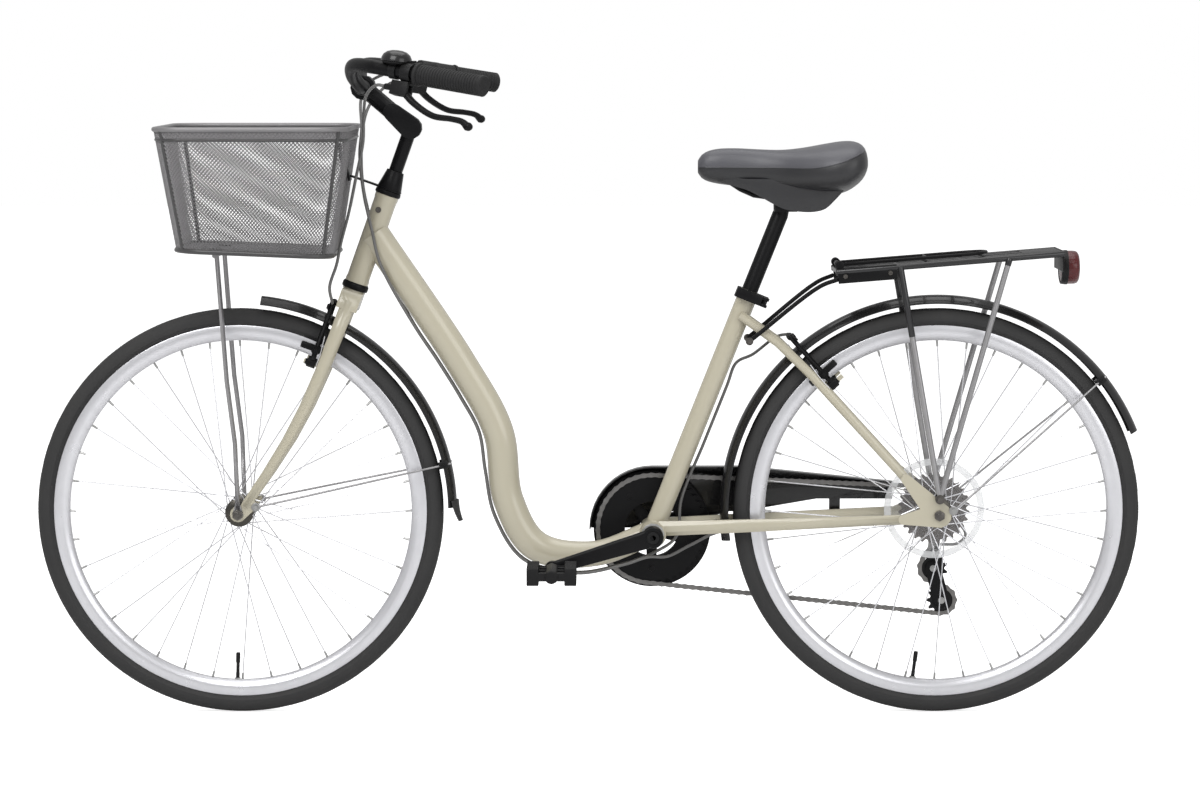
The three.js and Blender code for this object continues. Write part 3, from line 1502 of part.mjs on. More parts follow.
function buildBasket() {
  const shell = cut(basketShell(0, 0), basketShell(basketWall, basketWall), ...basketWindows());
  const rimPoints = basketRing(
    basketTopFrontX, basketTopBackX,
    basketTopZ, basketTopZ,
    basketTopHalfWidth, basketCorner, 0,
  );
  const centreX = (basketTopFrontX + basketTopBackX) / 2;
  const rimRings = rimPoints.map((point) => {
    const outward = at(point.x - centreX, point.y, 0).normalize();
    const ring = [];
    for (let j = 0; j < frameRodSides; j += 1) {
      const turn = (fullTurn * j) / frameRodSides;
      const spot = point.clone().addScaledVector(outward, basketRimRadius * Math.cos(turn));
      ring.push(spot.addScaledVector(up, basketRimRadius * Math.sin(turn)));
    }
    return ring;
  });
  const rim = loft(rimRings, true);

  const ringFoot = headTubeTop + seatGap + upperCupHeight + seatGap;
  const eyePlate = cut(
    upright(cupRadius - overrun, ringFoot, ringFoot + bracketRingThickness),
    upright(steererRadius + seatGap, ringFoot - overrun, ringFoot + overrun * 2),
  );
  const eyeSpot = placed(steering, 0, 0, ringFoot);
  const rise = (eyeSpot.z - basketFloorBackZ) / (basketTopZ - basketFloorBackZ);
  const wallX = basketFloorBackX + (basketTopBackX - basketFloorBackX) * rise;
  const reachX = (eyeSpot.x - wallX) / Math.cos(headTilt);
  const half = basketBracketWidth / 2;
  const thick = bracketRingThickness;
  const arm = block(-reachX - thick, -steererRadius - thick, -half / 2, half / 2, ringFoot, ringFoot + thick);
  const shelf = moved(steering, join(eyePlate, arm));
  const armEnd = placed(steering, -reachX, 0, ringFoot);
  const back = block(wallX - thick, wallX + thick * 2, -half, half, armEnd.z - thick * 2, armEnd.z + basketBracketRise);
  piece(object, "basket", "mesh", join(shell, rim, shelf, back));
}

function buildBasketLegs() {
  const slope = (basketFloorBackZ - basketFloorFrontZ) / (basketFloorBackX - basketFloorFrontX);
  const floorAt = (x) => basketFloorFrontZ + slope * (x - basketFloorFrontX);
  const topZ = floorAt(legTopX) - legBarRadius - seatGap * 2 - overrun;
  const eyeY = forkTipInnerY + forkTipThickness + seatGap;
  const neck = at(frontAxle.x, 0, frontAxle.z + nutRadius * 1.8);
  const eye = strap(frontAxle, nutRadius, neck, legRadius, eyeY, eyeY + stayEyeThickness);
  const leg = tube([
    at(neck.x, eyeY + legRadius, neck.z - legRadius / 2),
    at(frontAxle.x, legY, frontAxle.z + tyreRadius / 4),
    at((frontAxle.x + legTopX) / 2, legY, (frontAxle.z + topZ) / 2),
    at(legTopX, legY, topZ),
  ], legRadius, 4, frameRodSides);
  const hole = across(frontAxle, axleRadius + runGap, -eyeY * 2, eyeY * 2, rodSides);
  const bar = across(at(legTopX, 0, topZ), legBarRadius, -legBarHalf, legBarHalf, wireSides);
  piece(object, "basket_legs", "black", cut(join(leg, mirrored(leg), eye, mirrored(eye), bar), hole));
}

// Chain guard

function buildChainGuard() {
  const shape = new THREE.Shape();
  const r = chainGuardRadius;
  shape.moveTo(-r, 0);
  shape.absarc(0, 0, r, Math.PI, Math.PI / 2, true);
  shape.lineTo(chainGuardFlatX, r);
  shape.lineTo(chainGuardEndX, chainGuardEndTopZ);
  shape.lineTo(chainGuardEndX, chainGuardEndBottomZ);
  shape.lineTo(chainGuardStepX, chainGuardEndBottomZ);
  shape.lineTo(chainGuardFlatX, chainGuardPanelZ);
  shape.lineTo(0, chainGuardPanelZ);
  shape.lineTo(-chainGuardBossX, 0);
  const face = plate(shape, chainGuardY, chainGuardY + chainGuardThickness, wireSides);

  const t = chainGuardFlange;
  const lip = new THREE.Shape();
  lip.moveTo(-r, 0);
  lip.absarc(0, 0, r, Math.PI, Math.PI / 2, true);
  lip.lineTo(chainGuardFlatX, r);
  lip.lineTo(chainGuardEndX, chainGuardEndTopZ);
  lip.lineTo(chainGuardEndX, chainGuardEndTopZ - t);
  lip.lineTo(chainGuardFlatX, r - t);
  lip.lineTo(0, r - t);
  lip.absarc(0, 0, r - t, Math.PI / 2, Math.PI, false);
  const flangeBody = plate(lip, chainGuardFlangeInnerY, chainGuardY + chainGuardThickness, wireSides);

  const tongueInner = seatTubeRadius * 0.5;
  const half = chainGuardTongueHalf;
  const tongueX = chainGuardTongueX;
  const tongue = block(tongueX - half, tongueX + half, tongueInner, chainGuardFlangeInnerY + t, r - t, r);
  const seatCutter = moved(seat, upright(seatTubeRadius + seatGap, 0, seatTubeLength));
  const tabFoot = chainStayStartZ + (chainStayTipZ - chainStayStartZ) / 2;
  const tab = block(
    chainGuardTabX - half,
    chainGuardTabX + half,
    chainGuardY,
    chainGuardY + chainGuardThickness,
    tabFoot,
    chainGuardEndBottomZ + chainGuardDepth / 2,
  );
  piece(object, "chain_guard", "black", cut(join(face, flangeBody, tongue, tab), seatCutter));
}

// Seat collar, post and saddle

function buildSeat() {
  const outer = seatTubeRadius + seatGap + collarWall;
  const low = seatTubeLength - collarHeight;
  const height = seatTubeLength - collarHeight / 2;
  const earX = seatTubeRadius + seatGap + collarWall / 2;
  const ear = block(earX, collarEarReach, collarEarGap, collarEarGap + collarEarHalf, low, seatTubeLength);
  const skewerX = collarEarReach - collarEarHalf;
  const skewerEnd = at(skewerX, skewerHalf, height);
  const skewer = rod(at(skewerX, -skewerHalf, height), skewerEnd, skewerRadius, skewerRadius, wireSides);
  const nutRadiusHere = skewerRadius * 2.4;
  const nut = rod(at(skewerX, collarEarGap + collarEarHalf, height), skewerEnd, nutRadiusHere, nutRadiusHere, wireSides);
  const pinSpot = (z) => at(skewerX, -skewerHalf, z);
  const pin = rod(pinSpot(height - quickHubHalf), pinSpot(height + quickHubHalf), quickPinRadius);
  const slit = block(0, outer + overrun, -collarEarGap / 2, collarEarGap / 2, low - overrun, seatTubeLength + overrun);
  const bore = upright(seatTubeRadius + seatGap, low - overrun, seatTubeLength + overrun);
  const ring = cut(join(upright(outer, low, seatTubeLength), ear, mirrored(ear)), bore, slit);
  piece(seat, "seat_collar", "black", join(ring, skewer, nut, pin));

  const hubTop = rod(pinSpot(height + quickHubGap), pinSpot(height + quickHubHalf), quickHubRadius);
  const hubLow = rod(pinSpot(height - quickHubHalf), pinSpot(height - quickHubGap), quickHubRadius);
  const handle = block(
    skewerX - quickLeverLength,
    skewerX - quickPinRadius * 1.5,
    -skewerHalf - quickHubRadius,
    -skewerHalf - quickHubRadius + quickLeverThickness,
    height - quickHubHalf,
    height + quickHubHalf,
  );
  const hole = rod(pinSpot(low - collarHeight), pinSpot(seatTubeLength + collarHeight), quickPinRadius + runGap);
  piece(seat, "quick_release_lever", "black", cut(join(hubTop, hubLow, handle), hole));

  const head = across(at(0, 0, clampHeight), clampHeadRadius, -clampHeadHalf, clampHeadHalf);
  const headHole = across(at(0, 0, clampHeight), clampBoltRadius + runGap, -clampHeadHalf * 2, clampHeadHalf * 2, rodSides);
  const post = join(
    upright(seatPostRadius, seatTubeLength - postInsert, clampHeight - clampHeadRadius * 2),
    upright(seatPostRadius, clampHeight - clampHeadRadius * 2, clampHeight, tubeSides, clampHeadRadius * 0.8),
    head,
  );
  piece(seat, "seat_post", "black", cut(post, headHole));
}

function saddleBody() {
  const rings = saddleShares.map(([along, wide, high, low]) => {
    const ring = [];
    const x = saddleFrontX + saddleLength * along;
    const top = saddleTopZ - saddleHeight * (1 - high);
    const bottom = saddleTopZ - saddleHeight * (1 - low);
    const waist = bottom + (top - bottom) * 0.45;
    for (let j = 0; j < saddleSides; j += 1) {
      const turn = (fullTurn * (j + 0.5)) / saddleSides;
      const [c, s] = [Math.cos(turn), Math.sin(turn)];
      const y = saddleHalfWidth * wide * Math.sign(c) * Math.abs(c) ** (s > 0 ? 0.7 : 1.1);
      const z = s > 0 ? waist + (top - waist) * s ** 0.8 : waist + (bottom - waist) * Math.abs(s) ** 0.9;
      ring.push(at(x, y, z));
    }
    return ring;
  });
  return loft(rings);
}

function railPoints(clampSpot) {
  const high = clampSpot.z + railRise;
  const frontX = saddleFrontX + saddleLength * 0.14;
  const backX = saddleFrontX + saddleLength * 0.84;
  const side = [
    at(backX, railY * 1.4, saddleTopZ - saddleHeight * 0.86),
    at(backX - saddleLength * 0.1, railY * 1.15, high + railRadius),
    at(clampSpot.x + clampJawLength * 0.75, railY, high),
    at(clampSpot.x + clampJawLength * 0.25, railY, high),
    at(clampSpot.x - clampJawLength * 0.25, railY, high),
    at(clampSpot.x - clampJawLength * 0.9, railY, high),
    at(frontX + saddleLength * 0.16, railY * 0.8, high + railRadius * 1.6),
    at(frontX, railY * 0.4, saddleTopZ - saddleHeight * 0.66),
  ];
  const other = side.map((point) => at(point.x, -point.y, point.z)).reverse();
  return [...side, ...other];
}

function buildSaddle() {
  const clampSpot = placed(seat, 0, 0, clampHeight);
  const high = clampSpot.z + railRise;
  const points = railPoints(clampSpot);
  piece(object, "saddle_rails", "steel", tube(points, railRadius, railSteps, wireSides));
  const socket = tube(points, railRadius + runGap, railSteps, wireSides);
  piece(object, "saddle_cover", "black", cut(saddleBody(), socket));

  const inner = clampHeadHalf + seatGap;
  const length = clampJawLength / 2;
  const jaw = block(
    clampSpot.x - length,
    clampSpot.x + length,
    inner,
    inner + clampJaw,
    clampSpot.z - clampJawHeight / 2,
    clampSpot.z + clampJawHeight / 2,
  );
  const groove = rod(
    at(clampSpot.x - clampJawLength, railY, high),
    at(clampSpot.x + clampJawLength, railY, high),
    railRadius + seatGap * 2,
  );
  const bolt = across(clampSpot, clampBoltRadius, -inner - clampJaw, inner + clampJaw, rodSides);
  const side = cut(jaw, groove);
  piece(object, "saddle_clamp", "black", join(side, mirrored(side), bolt));
}

// Rack

function onRack(x, y, rise = 0) {
  const along = x - rackFrontX;
  return at(x, y, rackFrontZ + along * Math.tan(rackSlope) + rise);
}

function buildRack() {
  const bodies = [];
  const half = rackHalfWidth;
  const rail = rod(onRack(rackFrontX, half), onRack(rackRearX, half), rackRailRadius, rackRailRadius, wireSides);
  bodies.push(rail, mirrored(rail));
  const crossings = [0, 0.27, 0.55];
  crossings.forEach((share) => {
    const x = rackFrontX + (rackRearX - rackFrontX) * share;
    bodies.push(rod(onRack(x, -half), onRack(x, half), rackRodRadius, rackRodRadius, capSides));
  });
  const blockTop = rackRailRadius;
  const cheek = new THREE.Shape();
  const start = onRack(rackFrontX, 0, blockTop);
  const end = onRack(rackFrontX + rackBlockLength, 0, blockTop);
  cheek.moveTo(start.x, start.z);
  cheek.lineTo(end.x, end.z);
  cheek.lineTo(end.x, end.z - rackBlockHeight);
  cheek.lineTo(start.x, start.z - rackBlockHeight);
  const side = plate(cheek, half, half + rackBlockThickness);
  bodies.push(side, mirrored(side));

  const legTop = (x) => onRack(x, half + rackLegRadius / 2, 0);
  const footY = rackLegY;
  const foot = onCircle(rearAxle, dropoutRadius + stayEyeRadius, Math.PI / 2, footY);
  const eyeY = dropoutInnerY + dropoutThickness + seatGap;
  const leg = join(
    rod(legTop(rackFrontLegX), foot, rackLegRadius, rackLegRadius, frameRodSides),
    rod(legTop(rackRearLegX), foot, rackLegRadius, rackLegRadius, frameRodSides),
    strap(at(foot.x, 0, foot.z), stayEyeRadius, at(foot.x, 0, foot.z + stayEyeRadius), stayEyeRadius, eyeY, footY + rackLegRadius / 2),
  );
  bodies.push(leg, mirrored(leg));

  const strutSpot = placed(seat, seatTubeRadius + seatStayRadius * 1.5, seatStayTopY + seatStayRadius * 2.3, strutTopHeight);
  const strut = tube([
    onRack(rackFrontX, half, -rackBlockHeight / 2),
    onRack(rackFrontX - rackBlockLength * 0.3, half * 0.86, -rackBlockHeight * 0.9),
    strutSpot,
  ], strutRadius, 3, capSides);
  bodies.push(strut, mirrored(strut));

  const lampTop = onRack(rackRearX, 0, rackRailRadius);
  bodies.push(block(rackRearX, rackRearX + rackPlateThickness, -half, half, lampTop.z - rackLampPlateHeight, lampTop.z));
  const deckStart = rackRearX - rackPlateLength;
  const deck = new THREE.Shape();
  const [near, far] = [onRack(deckStart, 0, rackRodRadius), onRack(rackRearX, 0, rackRodRadius)];
  deck.moveTo(near.x, near.z);
  deck.lineTo(far.x, far.z);
  deck.lineTo(far.x, far.z - rackPlateThickness);
  deck.lineTo(near.x, near.z - rackPlateThickness);
  bodies.push(plate(deck, -half, half));

  const hingeX = rackFrontX + clampRodRadius;
  const clampRise = rackRailRadius + clampRodRadius * 1.5 + runGap;
  const earInner = half - rackBlockThickness;
  const earSpot = onRack(hingeX, 0, clampRise);
  const earFoot = onRack(hingeX, 0);
  const ear = strap(earSpot, earRadius, earFoot, earRadius, earInner, half);
  const earHole = across(earSpot, earPinRadius + runGap, -half * 2, half * 2, rodSides);
  piece(object, "rear_rack", "black", cut(join(...bodies, ear, mirrored(ear)), earHole));

  const bail = (x, y) => onRack(x, y, clampRise);
  const loopPoints = [
    bail(hingeX, clampRodHalfWidth),
    bail(hingeX + clampRodLength * 0.5, clampRodHalfWidth),
    bail(hingeX + clampRodLength * 0.94, clampRodHalfWidth * 0.8),
    bail(hingeX + clampRodLength, 0),
    bail(hingeX + clampRodLength * 0.94, -clampRodHalfWidth * 0.8),
    bail(hingeX + clampRodLength * 0.5, -clampRodHalfWidth),
    bail(hingeX, -clampRodHalfWidth),
  ];
  const barrelHalf = earInner - seatGap;
  const barrel = across(bail(hingeX, 0), clampRodRadius * 1.5, -barrelHalf, barrelHalf, wireSides);
  const pin = across(bail(hingeX, 0), earPinRadius, -half, half, rodSides);
  piece(object, "rack_spring_clamp", "steel", join(tube(loopPoints, clampRodRadius, 10, frameRodSides), barrel, pin));

  const faceX = rackRearX + rackPlateThickness + seatGap;
  const lampMiddle = lampTop.z - reflectorHeight * 0.55;
  const lens = new THREE.Shape();
  lens.absellipse(0, 0, reflectorWidth / 2, reflectorHeight / 2, 0, fullTurn, false, 0);
  const lensBody = new THREE.ExtrudeGeometry(lens, { depth: reflectorDepth, bevelEnabled: false, curveSegments: rodSides });
  lensBody.rotateZ(Math.PI / 2);
  lensBody.rotateY(Math.PI / 2);
  lensBody.translate(faceX, 0, lampMiddle);
  piece(object, "rear_reflector", "red", solid(lensBody));
}

// Cables, held along the frame

function besideMainTube(share, y) {
  const curve = mainTubeCurve();
  const centre = curve.getPointAt(share);
  const tangent = curve.getTangentAt(share);
  const away = mainTubeRadius + cableRadius + cableAlongGap;
  const outward = at(tangent.z, 0, -tangent.x);
  return centre.clone().addScaledVector(outward, Math.sqrt(away * away - y * y)).setY(y);
}

function alongMainTube(y) {
  const points = [];
  for (let i = 0; i < mainTubeHolds; i += 1) {
    points.push(besideMainTube(0.2 + (0.72 * i) / (mainTubeHolds - 1), y));
  }
  return points;
}

// The first two points of a cable that leaves a brake bracket's barrel
function cableStart(group, y, z) {
  const barrelEnd = -perchFromEnd - perchWidth / 2 - perchDepth - barrelLength;
  return [placed(group, barrelEnd - runGap, y, z), placed(group, barrelEnd - cableLead, y, z)];
}

function cable(points, steps) {
  return tube(points, cableRadius, steps, cableSides);
}

function seatTubeBack(height) {
  return placed(seat, seatTubeRadius + cableRadius + cableAlongGap, cableSideY, height);
}

function buildCables(ends) {
  const barrelZ = -perchPivotDrop + perchDepth / 3;
  const frontArmX = -frontArmClear - brakeArmDepth / 2;
  const armSideY = brakeArmTopY + brakeArmRadius + cableRadius;
  const frontEnd = placed(steering, frontArmX, -armSideY, brakePivotRadius + brakeArmLength);
  const frontRoute = frontCableRoute.map(([x, y, z]) => at(x, y, z));
  const frontPoints = [...cableStart(ends.left, 0, barrelZ), ...frontRoute, frontEnd];
  piece(object, "front_brake_cable", "black", cable(frontPoints, 24));

  const armTop = onCircle(rearAxle, brakePivotRadius + brakeArmLength, seatStayAngle, armSideY);
  const { outward } = brakePivot(rearBrakePivotY);
  const rearEnd = armTop.addScaledVector(outward, rearArmClear + brakeArmDepth / 2);
  const rearPoints = [
    ...cableStart(ends.right, 0, barrelZ),
    ...rearCableHeadRoute.map(([x, y, z]) => at(x, y, z)),
    ...alongMainTube(cableSideY),
    at(barrelRadius, cableSideY, -mainTubeRadius - cableRadius * 2 - cableAlongGap),
    at(shellRadius * 1.9, cableSideY, -cableRadius * 3),
    ...rearCableSeatTubeHeights.map(seatTubeBack),
    ...rearCableTailRoute.map(([x, y, z]) => at(x, y, z)),
    rearEnd,
  ];
  piece(object, "rear_brake_cable", "black", cable(rearPoints, 40));

  const gearPoints = [
    ...cableStart(ends.right, shiftExit, -shiftExit),
    ...gearCableHeadRoute.map(([x, y, z]) => at(x, y, z)),
    ...alongMainTube(-cableSideY),
    ...gearCableTailRoute.map(([x, y, z]) => at(x, y, z)),
  ];
  piece(object, "gear_cable", "black", cable(gearPoints, 46));
}

buildWheels();
buildAxles();
buildFreewheel();
buildChain();
buildCrankset();
buildPedals();
buildDerailleur();
buildFrame();
buildStays();
buildFork();
buildHeadset();
buildStem();
buildHandlebar();
const barEnds = buildControls();
buildBrakes();
buildMudguards();
buildBasket();
buildBasketLegs();
buildChainGuard();
buildSeat();
buildSaddle();
buildRack();
buildCables(barEnds);

export default object;
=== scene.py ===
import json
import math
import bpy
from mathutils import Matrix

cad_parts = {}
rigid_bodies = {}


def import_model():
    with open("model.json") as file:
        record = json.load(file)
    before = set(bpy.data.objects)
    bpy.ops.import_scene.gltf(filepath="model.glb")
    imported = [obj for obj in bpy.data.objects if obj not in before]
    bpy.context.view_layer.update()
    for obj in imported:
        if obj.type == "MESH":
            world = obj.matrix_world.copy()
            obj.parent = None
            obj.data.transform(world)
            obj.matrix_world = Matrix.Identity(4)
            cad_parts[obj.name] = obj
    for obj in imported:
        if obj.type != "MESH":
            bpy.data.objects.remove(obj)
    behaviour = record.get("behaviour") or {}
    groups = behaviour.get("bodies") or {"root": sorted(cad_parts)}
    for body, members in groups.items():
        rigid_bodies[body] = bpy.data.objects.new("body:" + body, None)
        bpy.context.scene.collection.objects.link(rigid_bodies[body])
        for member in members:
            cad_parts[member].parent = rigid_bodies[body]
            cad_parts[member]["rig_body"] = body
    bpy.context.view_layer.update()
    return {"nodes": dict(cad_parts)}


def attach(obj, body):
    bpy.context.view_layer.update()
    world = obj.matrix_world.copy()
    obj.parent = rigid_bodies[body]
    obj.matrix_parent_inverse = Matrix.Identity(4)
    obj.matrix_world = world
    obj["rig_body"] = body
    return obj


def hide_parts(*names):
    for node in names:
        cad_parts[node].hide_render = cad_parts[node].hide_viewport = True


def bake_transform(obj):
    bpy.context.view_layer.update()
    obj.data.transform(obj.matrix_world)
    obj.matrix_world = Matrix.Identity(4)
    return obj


bl_info = {
    "name": "Step-through bike",
    "version": (1, 0, 0),
    "blender": (4, 5, 0),
    "location": "View3D > Sidebar > Bike",
    "description": "Builds the finished pieces of a step-through town bike round its frame",
    "category": "Add Mesh",
}

import bmesh
import bpy
from bpy.props import FloatProperty, FloatVectorProperty, IntProperty, PointerProperty
from mathutils import Matrix, Vector

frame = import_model()

# Places and directions, in metres
FRONT_AXLE = Vector((-0.670, 0.0, 0.036))
REAR_AXLE = Vector((0.461, 0.0, 0.036))
CRANK_AXLE = Vector((0.0, 0.0, 0.0))
STEER_FOOT = Vector((-0.6185637, 0.0, 0.0176843))
STEER_UP = Vector((0.33545, 0.0, 0.94206)).normalized()
SEAT_UP = Vector((0.36975, 0.0, 0.92913)).normalized()
BAR_CENTRE = Vector((-0.4668, 0.0, 0.7223))
BAR_END = Vector((-0.2618326, 0.318, 0.7272862))
GRIP_LINE = Vector((0.8398, 0.5248, -0.1392)).normalized()
MAIN_TUBE_LINE = [
    (-0.4515, 0.0, 0.4868),
    (-0.3084, 0.0, 0.2726),
    (-0.2510, 0.0, 0.1655),
    (-0.2348, 0.0, 0.0535),
    (-0.1896, 0.0, -0.0219),
    (-0.0948, 0.0, -0.0350),
    (0.0, 0.0, 0.0),
]
ACROSS = Vector((0.0, 1.0, 0.0))
BOTH_SIDES = ((-1, "left"), (1, "right"))
WHEELS = (("front", FRONT_AXLE, "front_wheel"), ("rear", REAR_AXLE, "rear_wheel"))


# Settings that a user would change


class BikeColours(bpy.types.PropertyGroup):
    """Colours of the bike's finishes"""

    cream: FloatVectorProperty(
        name="Frame paint", description="Cream paint of the frame and fork",
        subtype="COLOR", size=3, default=(0.458, 0.425, 0.325),
    )
    black: FloatVectorProperty(
        name="Gloss black", description="Black paint of the mudguards and chain guard",
        subtype="COLOR", size=3, default=(0.006, 0.006, 0.0065),
    )
    satin: FloatVectorProperty(
        name="Satin black", description="Black finish of the bars, stem, cranks and rack",
        subtype="COLOR", size=3, default=(0.005, 0.005, 0.0055),
    )
    alloy: FloatVectorProperty(
        name="Alloy", description="Bare alloy of the rims",
        subtype="COLOR", size=3, default=(0.72, 0.72, 0.75),
    )
    mesh: FloatVectorProperty(
        name="Basket steel", description="Grey coat of the basket's wire mesh",
        subtype="COLOR", size=3, default=(0.20, 0.195, 0.20),
    )
    saddle: FloatVectorProperty(
        name="Saddle cover", description="Dark cover of the saddle",
        subtype="COLOR", size=3, default=(0.014, 0.014, 0.016),
    )
    reflector: FloatVectorProperty(
        name="Reflector", description="Red of the rear reflector",
        subtype="COLOR", size=3, default=(0.060, 0.005, 0.006),
    )


class BikeSizes(bpy.types.PropertyGroup):
    """Sizes of the bike's finished pieces"""

    tyre_radius: FloatProperty(
        name="Tyre radius", description="Outer radius of both tyres", unit="LENGTH", default=0.330,
    )
    tyre_width: FloatProperty(
        name="Tyre width", description="Width of both tyres", unit="LENGTH", default=0.037,
    )
    tread_steps: IntProperty(
        name="Tread steps", description="Steps of the tread round a tyre", default=132, min=48, max=240,
    )
    spoke_radius: FloatProperty(
        name="Spoke radius", description="Radius of a spoke", unit="LENGTH", default=0.0010,
    )
    spokes: IntProperty(
        name="Spokes", description="Spokes in each wheel", default=36, min=12, max=48,
    )
    mesh_cell: FloatProperty(
        name="Basket mesh", description="Width of a diamond of the basket's mesh", unit="LENGTH",
        default=0.0064,
    )
    mesh_wire: FloatProperty(
        name="Basket wire", description="Thickness of the basket's mesh", unit="LENGTH", default=0.0018,
    )
    cable_radius: FloatProperty(
        name="Cable radius", description="Radius of the cable housings", unit="LENGTH", default=0.0025,
    )
    grip_ribs: IntProperty(
        name="Grip ribs", description="Ribs along the left grip", default=22, min=6, max=40,
    )


def colours():
    return bpy.context.scene.bike_colours


def sizes():
    return bpy.context.scene.bike_sizes


# Finishes


def add_node(tree, kind, values=None, **settings):
    """A shader node with its settings and the values of its sockets"""
    node = tree.nodes.new("ShaderNode" + kind)
    for name, value in settings.items():
        setattr(node, name, value)
    for socket, value in (values or {}).items():
        node.inputs[socket].default_value = value
    return node


def connect(tree, *links):
    """Links sockets, each link given as a node, its output, the next node and its input"""
    for source, output, target, entry in links:
        tree.links.new(source.outputs[output], target.inputs[entry])


def effect_group(name, inputs, outputs):
    """An empty node group with its sockets, and its input and output nodes"""
    tree = bpy.data.node_groups.new(name, "ShaderNodeTree")
    for label, kind, value in inputs:
        socket = tree.interface.new_socket(label, in_out="INPUT", socket_type="NodeSocket" + kind)
        socket.default_value = value
    for label, kind in outputs:
        tree.interface.new_socket(label, in_out="OUTPUT", socket_type="NodeSocket" + kind)
    return tree, tree.nodes.new("NodeGroupInput"), tree.nodes.new("NodeGroupOutput")


def grain_group():
    """Fine bumps over a surface, as a normal"""
    tree, given, out = effect_group(
        "surface_grain",
        [("Scale", "Float", 400.0), ("Depth", "Float", 0.1)],
        [("Normal", "Vector")],
    )
    place = add_node(tree, "TexCoord")
    noise = add_node(tree, "TexNoise", {"Detail": 3.0, "Roughness": 0.55})
    bump = add_node(tree, "Bump", {"Distance": 0.001})
    connect(
        tree,
        (place, "Object", noise, "Vector"),
        (given, "Scale", noise, "Scale"),
        (noise, "Fac", bump, "Height"),
        (given, "Depth", bump, "Strength"),
        (bump, "Normal", out, "Normal"),
    )
    return tree


def patina_group():
    """Slow changes of colour and gloss, with a little dust on faces that look up"""
    tree, given, out = effect_group(
        "patina",
        [
            ("Colour", "Color", (0.5, 0.5, 0.5, 1.0)),
            ("Second Colour", "Color", (0.4, 0.4, 0.4, 1.0)),
            ("Roughness", "Float", 0.4),
            ("Spread", "Float", 0.1),
            ("Scale", "Float", 30.0),
            ("Dust", "Float", 0.05),
        ],
        [("Colour", "Color"), ("Roughness", "Float")],
    )
    place = add_node(tree, "TexCoord")
    noise = add_node(tree, "TexNoise", {"Detail": 5.0})
    blend = add_node(tree, "Mix", data_type="RGBA")
    shape = add_node(tree, "NewGeometry")
    parts = add_node(tree, "SeparateXYZ")
    facing = add_node(tree, "Math", operation="MULTIPLY", use_clamp=True)
    specks = add_node(tree, "Math", operation="MULTIPLY")
    dusted = add_node(tree, "Mix", {"B": (0.42, 0.40, 0.37, 1.0)}, data_type="RGBA")
    centred = add_node(tree, "Math", {1: 0.5}, operation="SUBTRACT")
    spread = add_node(tree, "Math", operation="MULTIPLY_ADD")
    connect(
        tree,
        (place, "Object", noise, "Vector"),
        (given, "Scale", noise, "Scale"),
        (noise, "Fac", blend, "Factor"),
        (given, "Colour", blend, "A"),
        (given, "Second Colour", blend, "B"),
        (shape, "Normal", parts, 0),
        (parts, "Z", facing, 0),
        (given, "Dust", facing, 1),
        (facing, 0, specks, 0),
        (noise, "Fac", specks, 1),
        (specks, 0, dusted, "Factor"),
        (blend, "Result", dusted, "A"),
        (dusted, "Result", out, "Colour"),
        (noise, "Fac", centred, 0),
        (centred, 0, spread, 0),
        (given, "Spread", spread, 1),
        (given, "Roughness", spread, 2),
        (spread, 0, out, "Roughness"),
    )
    return tree


GROUPS = {}
FINISHES = {}


def shared(name):
    if name not in GROUPS:
        GROUPS[name] = {"grain": grain_group, "patina": patina_group}[name]()
    return GROUPS[name]


def surface(
    name, colour, second, roughness, wear, grain,
    metallic=0.0, coat=0.0, coat_roughness=0.05, specular=0.5, alpha=1.0,
):
    """A material with the shared patina and grain.

    Wear is the spread of the gloss, the scale of the patches and the dust. Grain is its scale and depth.
    """
    material = bpy.data.materials.new(name)
    material.use_nodes = True
    tree = material.node_tree
    shader = tree.nodes["Principled BSDF"]
    shader.inputs["Metallic"].default_value = metallic
    shader.inputs["Coat Weight"].default_value = coat
    shader.inputs["Coat Roughness"].default_value = coat_roughness
    shader.inputs["Specular IOR Level"].default_value = specular
    shader.inputs["Alpha"].default_value = alpha
    patina = add_node(tree, "Group", node_tree=shared("patina"))
    values = ((*colour, 1.0), (*second, 1.0), roughness, *wear)
    for socket, value in zip(("Colour", "Second Colour", "Roughness", "Spread", "Scale", "Dust"), values):
        patina.inputs[socket].default_value = value
    skin = add_node(tree, "Group", node_tree=shared("grain"))
    skin.inputs["Scale"].default_value, skin.inputs["Depth"].default_value = grain
    connect(
        tree,
        (patina, "Colour", shader, "Base Color"),
        (patina, "Roughness", shader, "Roughness"),
        (skin, "Normal", shader, "Normal"),
    )
    return material


def shade(colour, factor):
    return tuple(channel * factor for channel in colour)


# The saddle's seam: level in front, then rising with the square of the distance behind its bend
SEAM_HEIGHT = 0.5945
SEAM_BEND = 0.240
SEAM_RISE = 2.9
SEAM_WIDTH = 0.0012


def seam_height(x):
    return SEAM_HEIGHT + SEAM_RISE * max(0.0, x - SEAM_BEND) ** 2


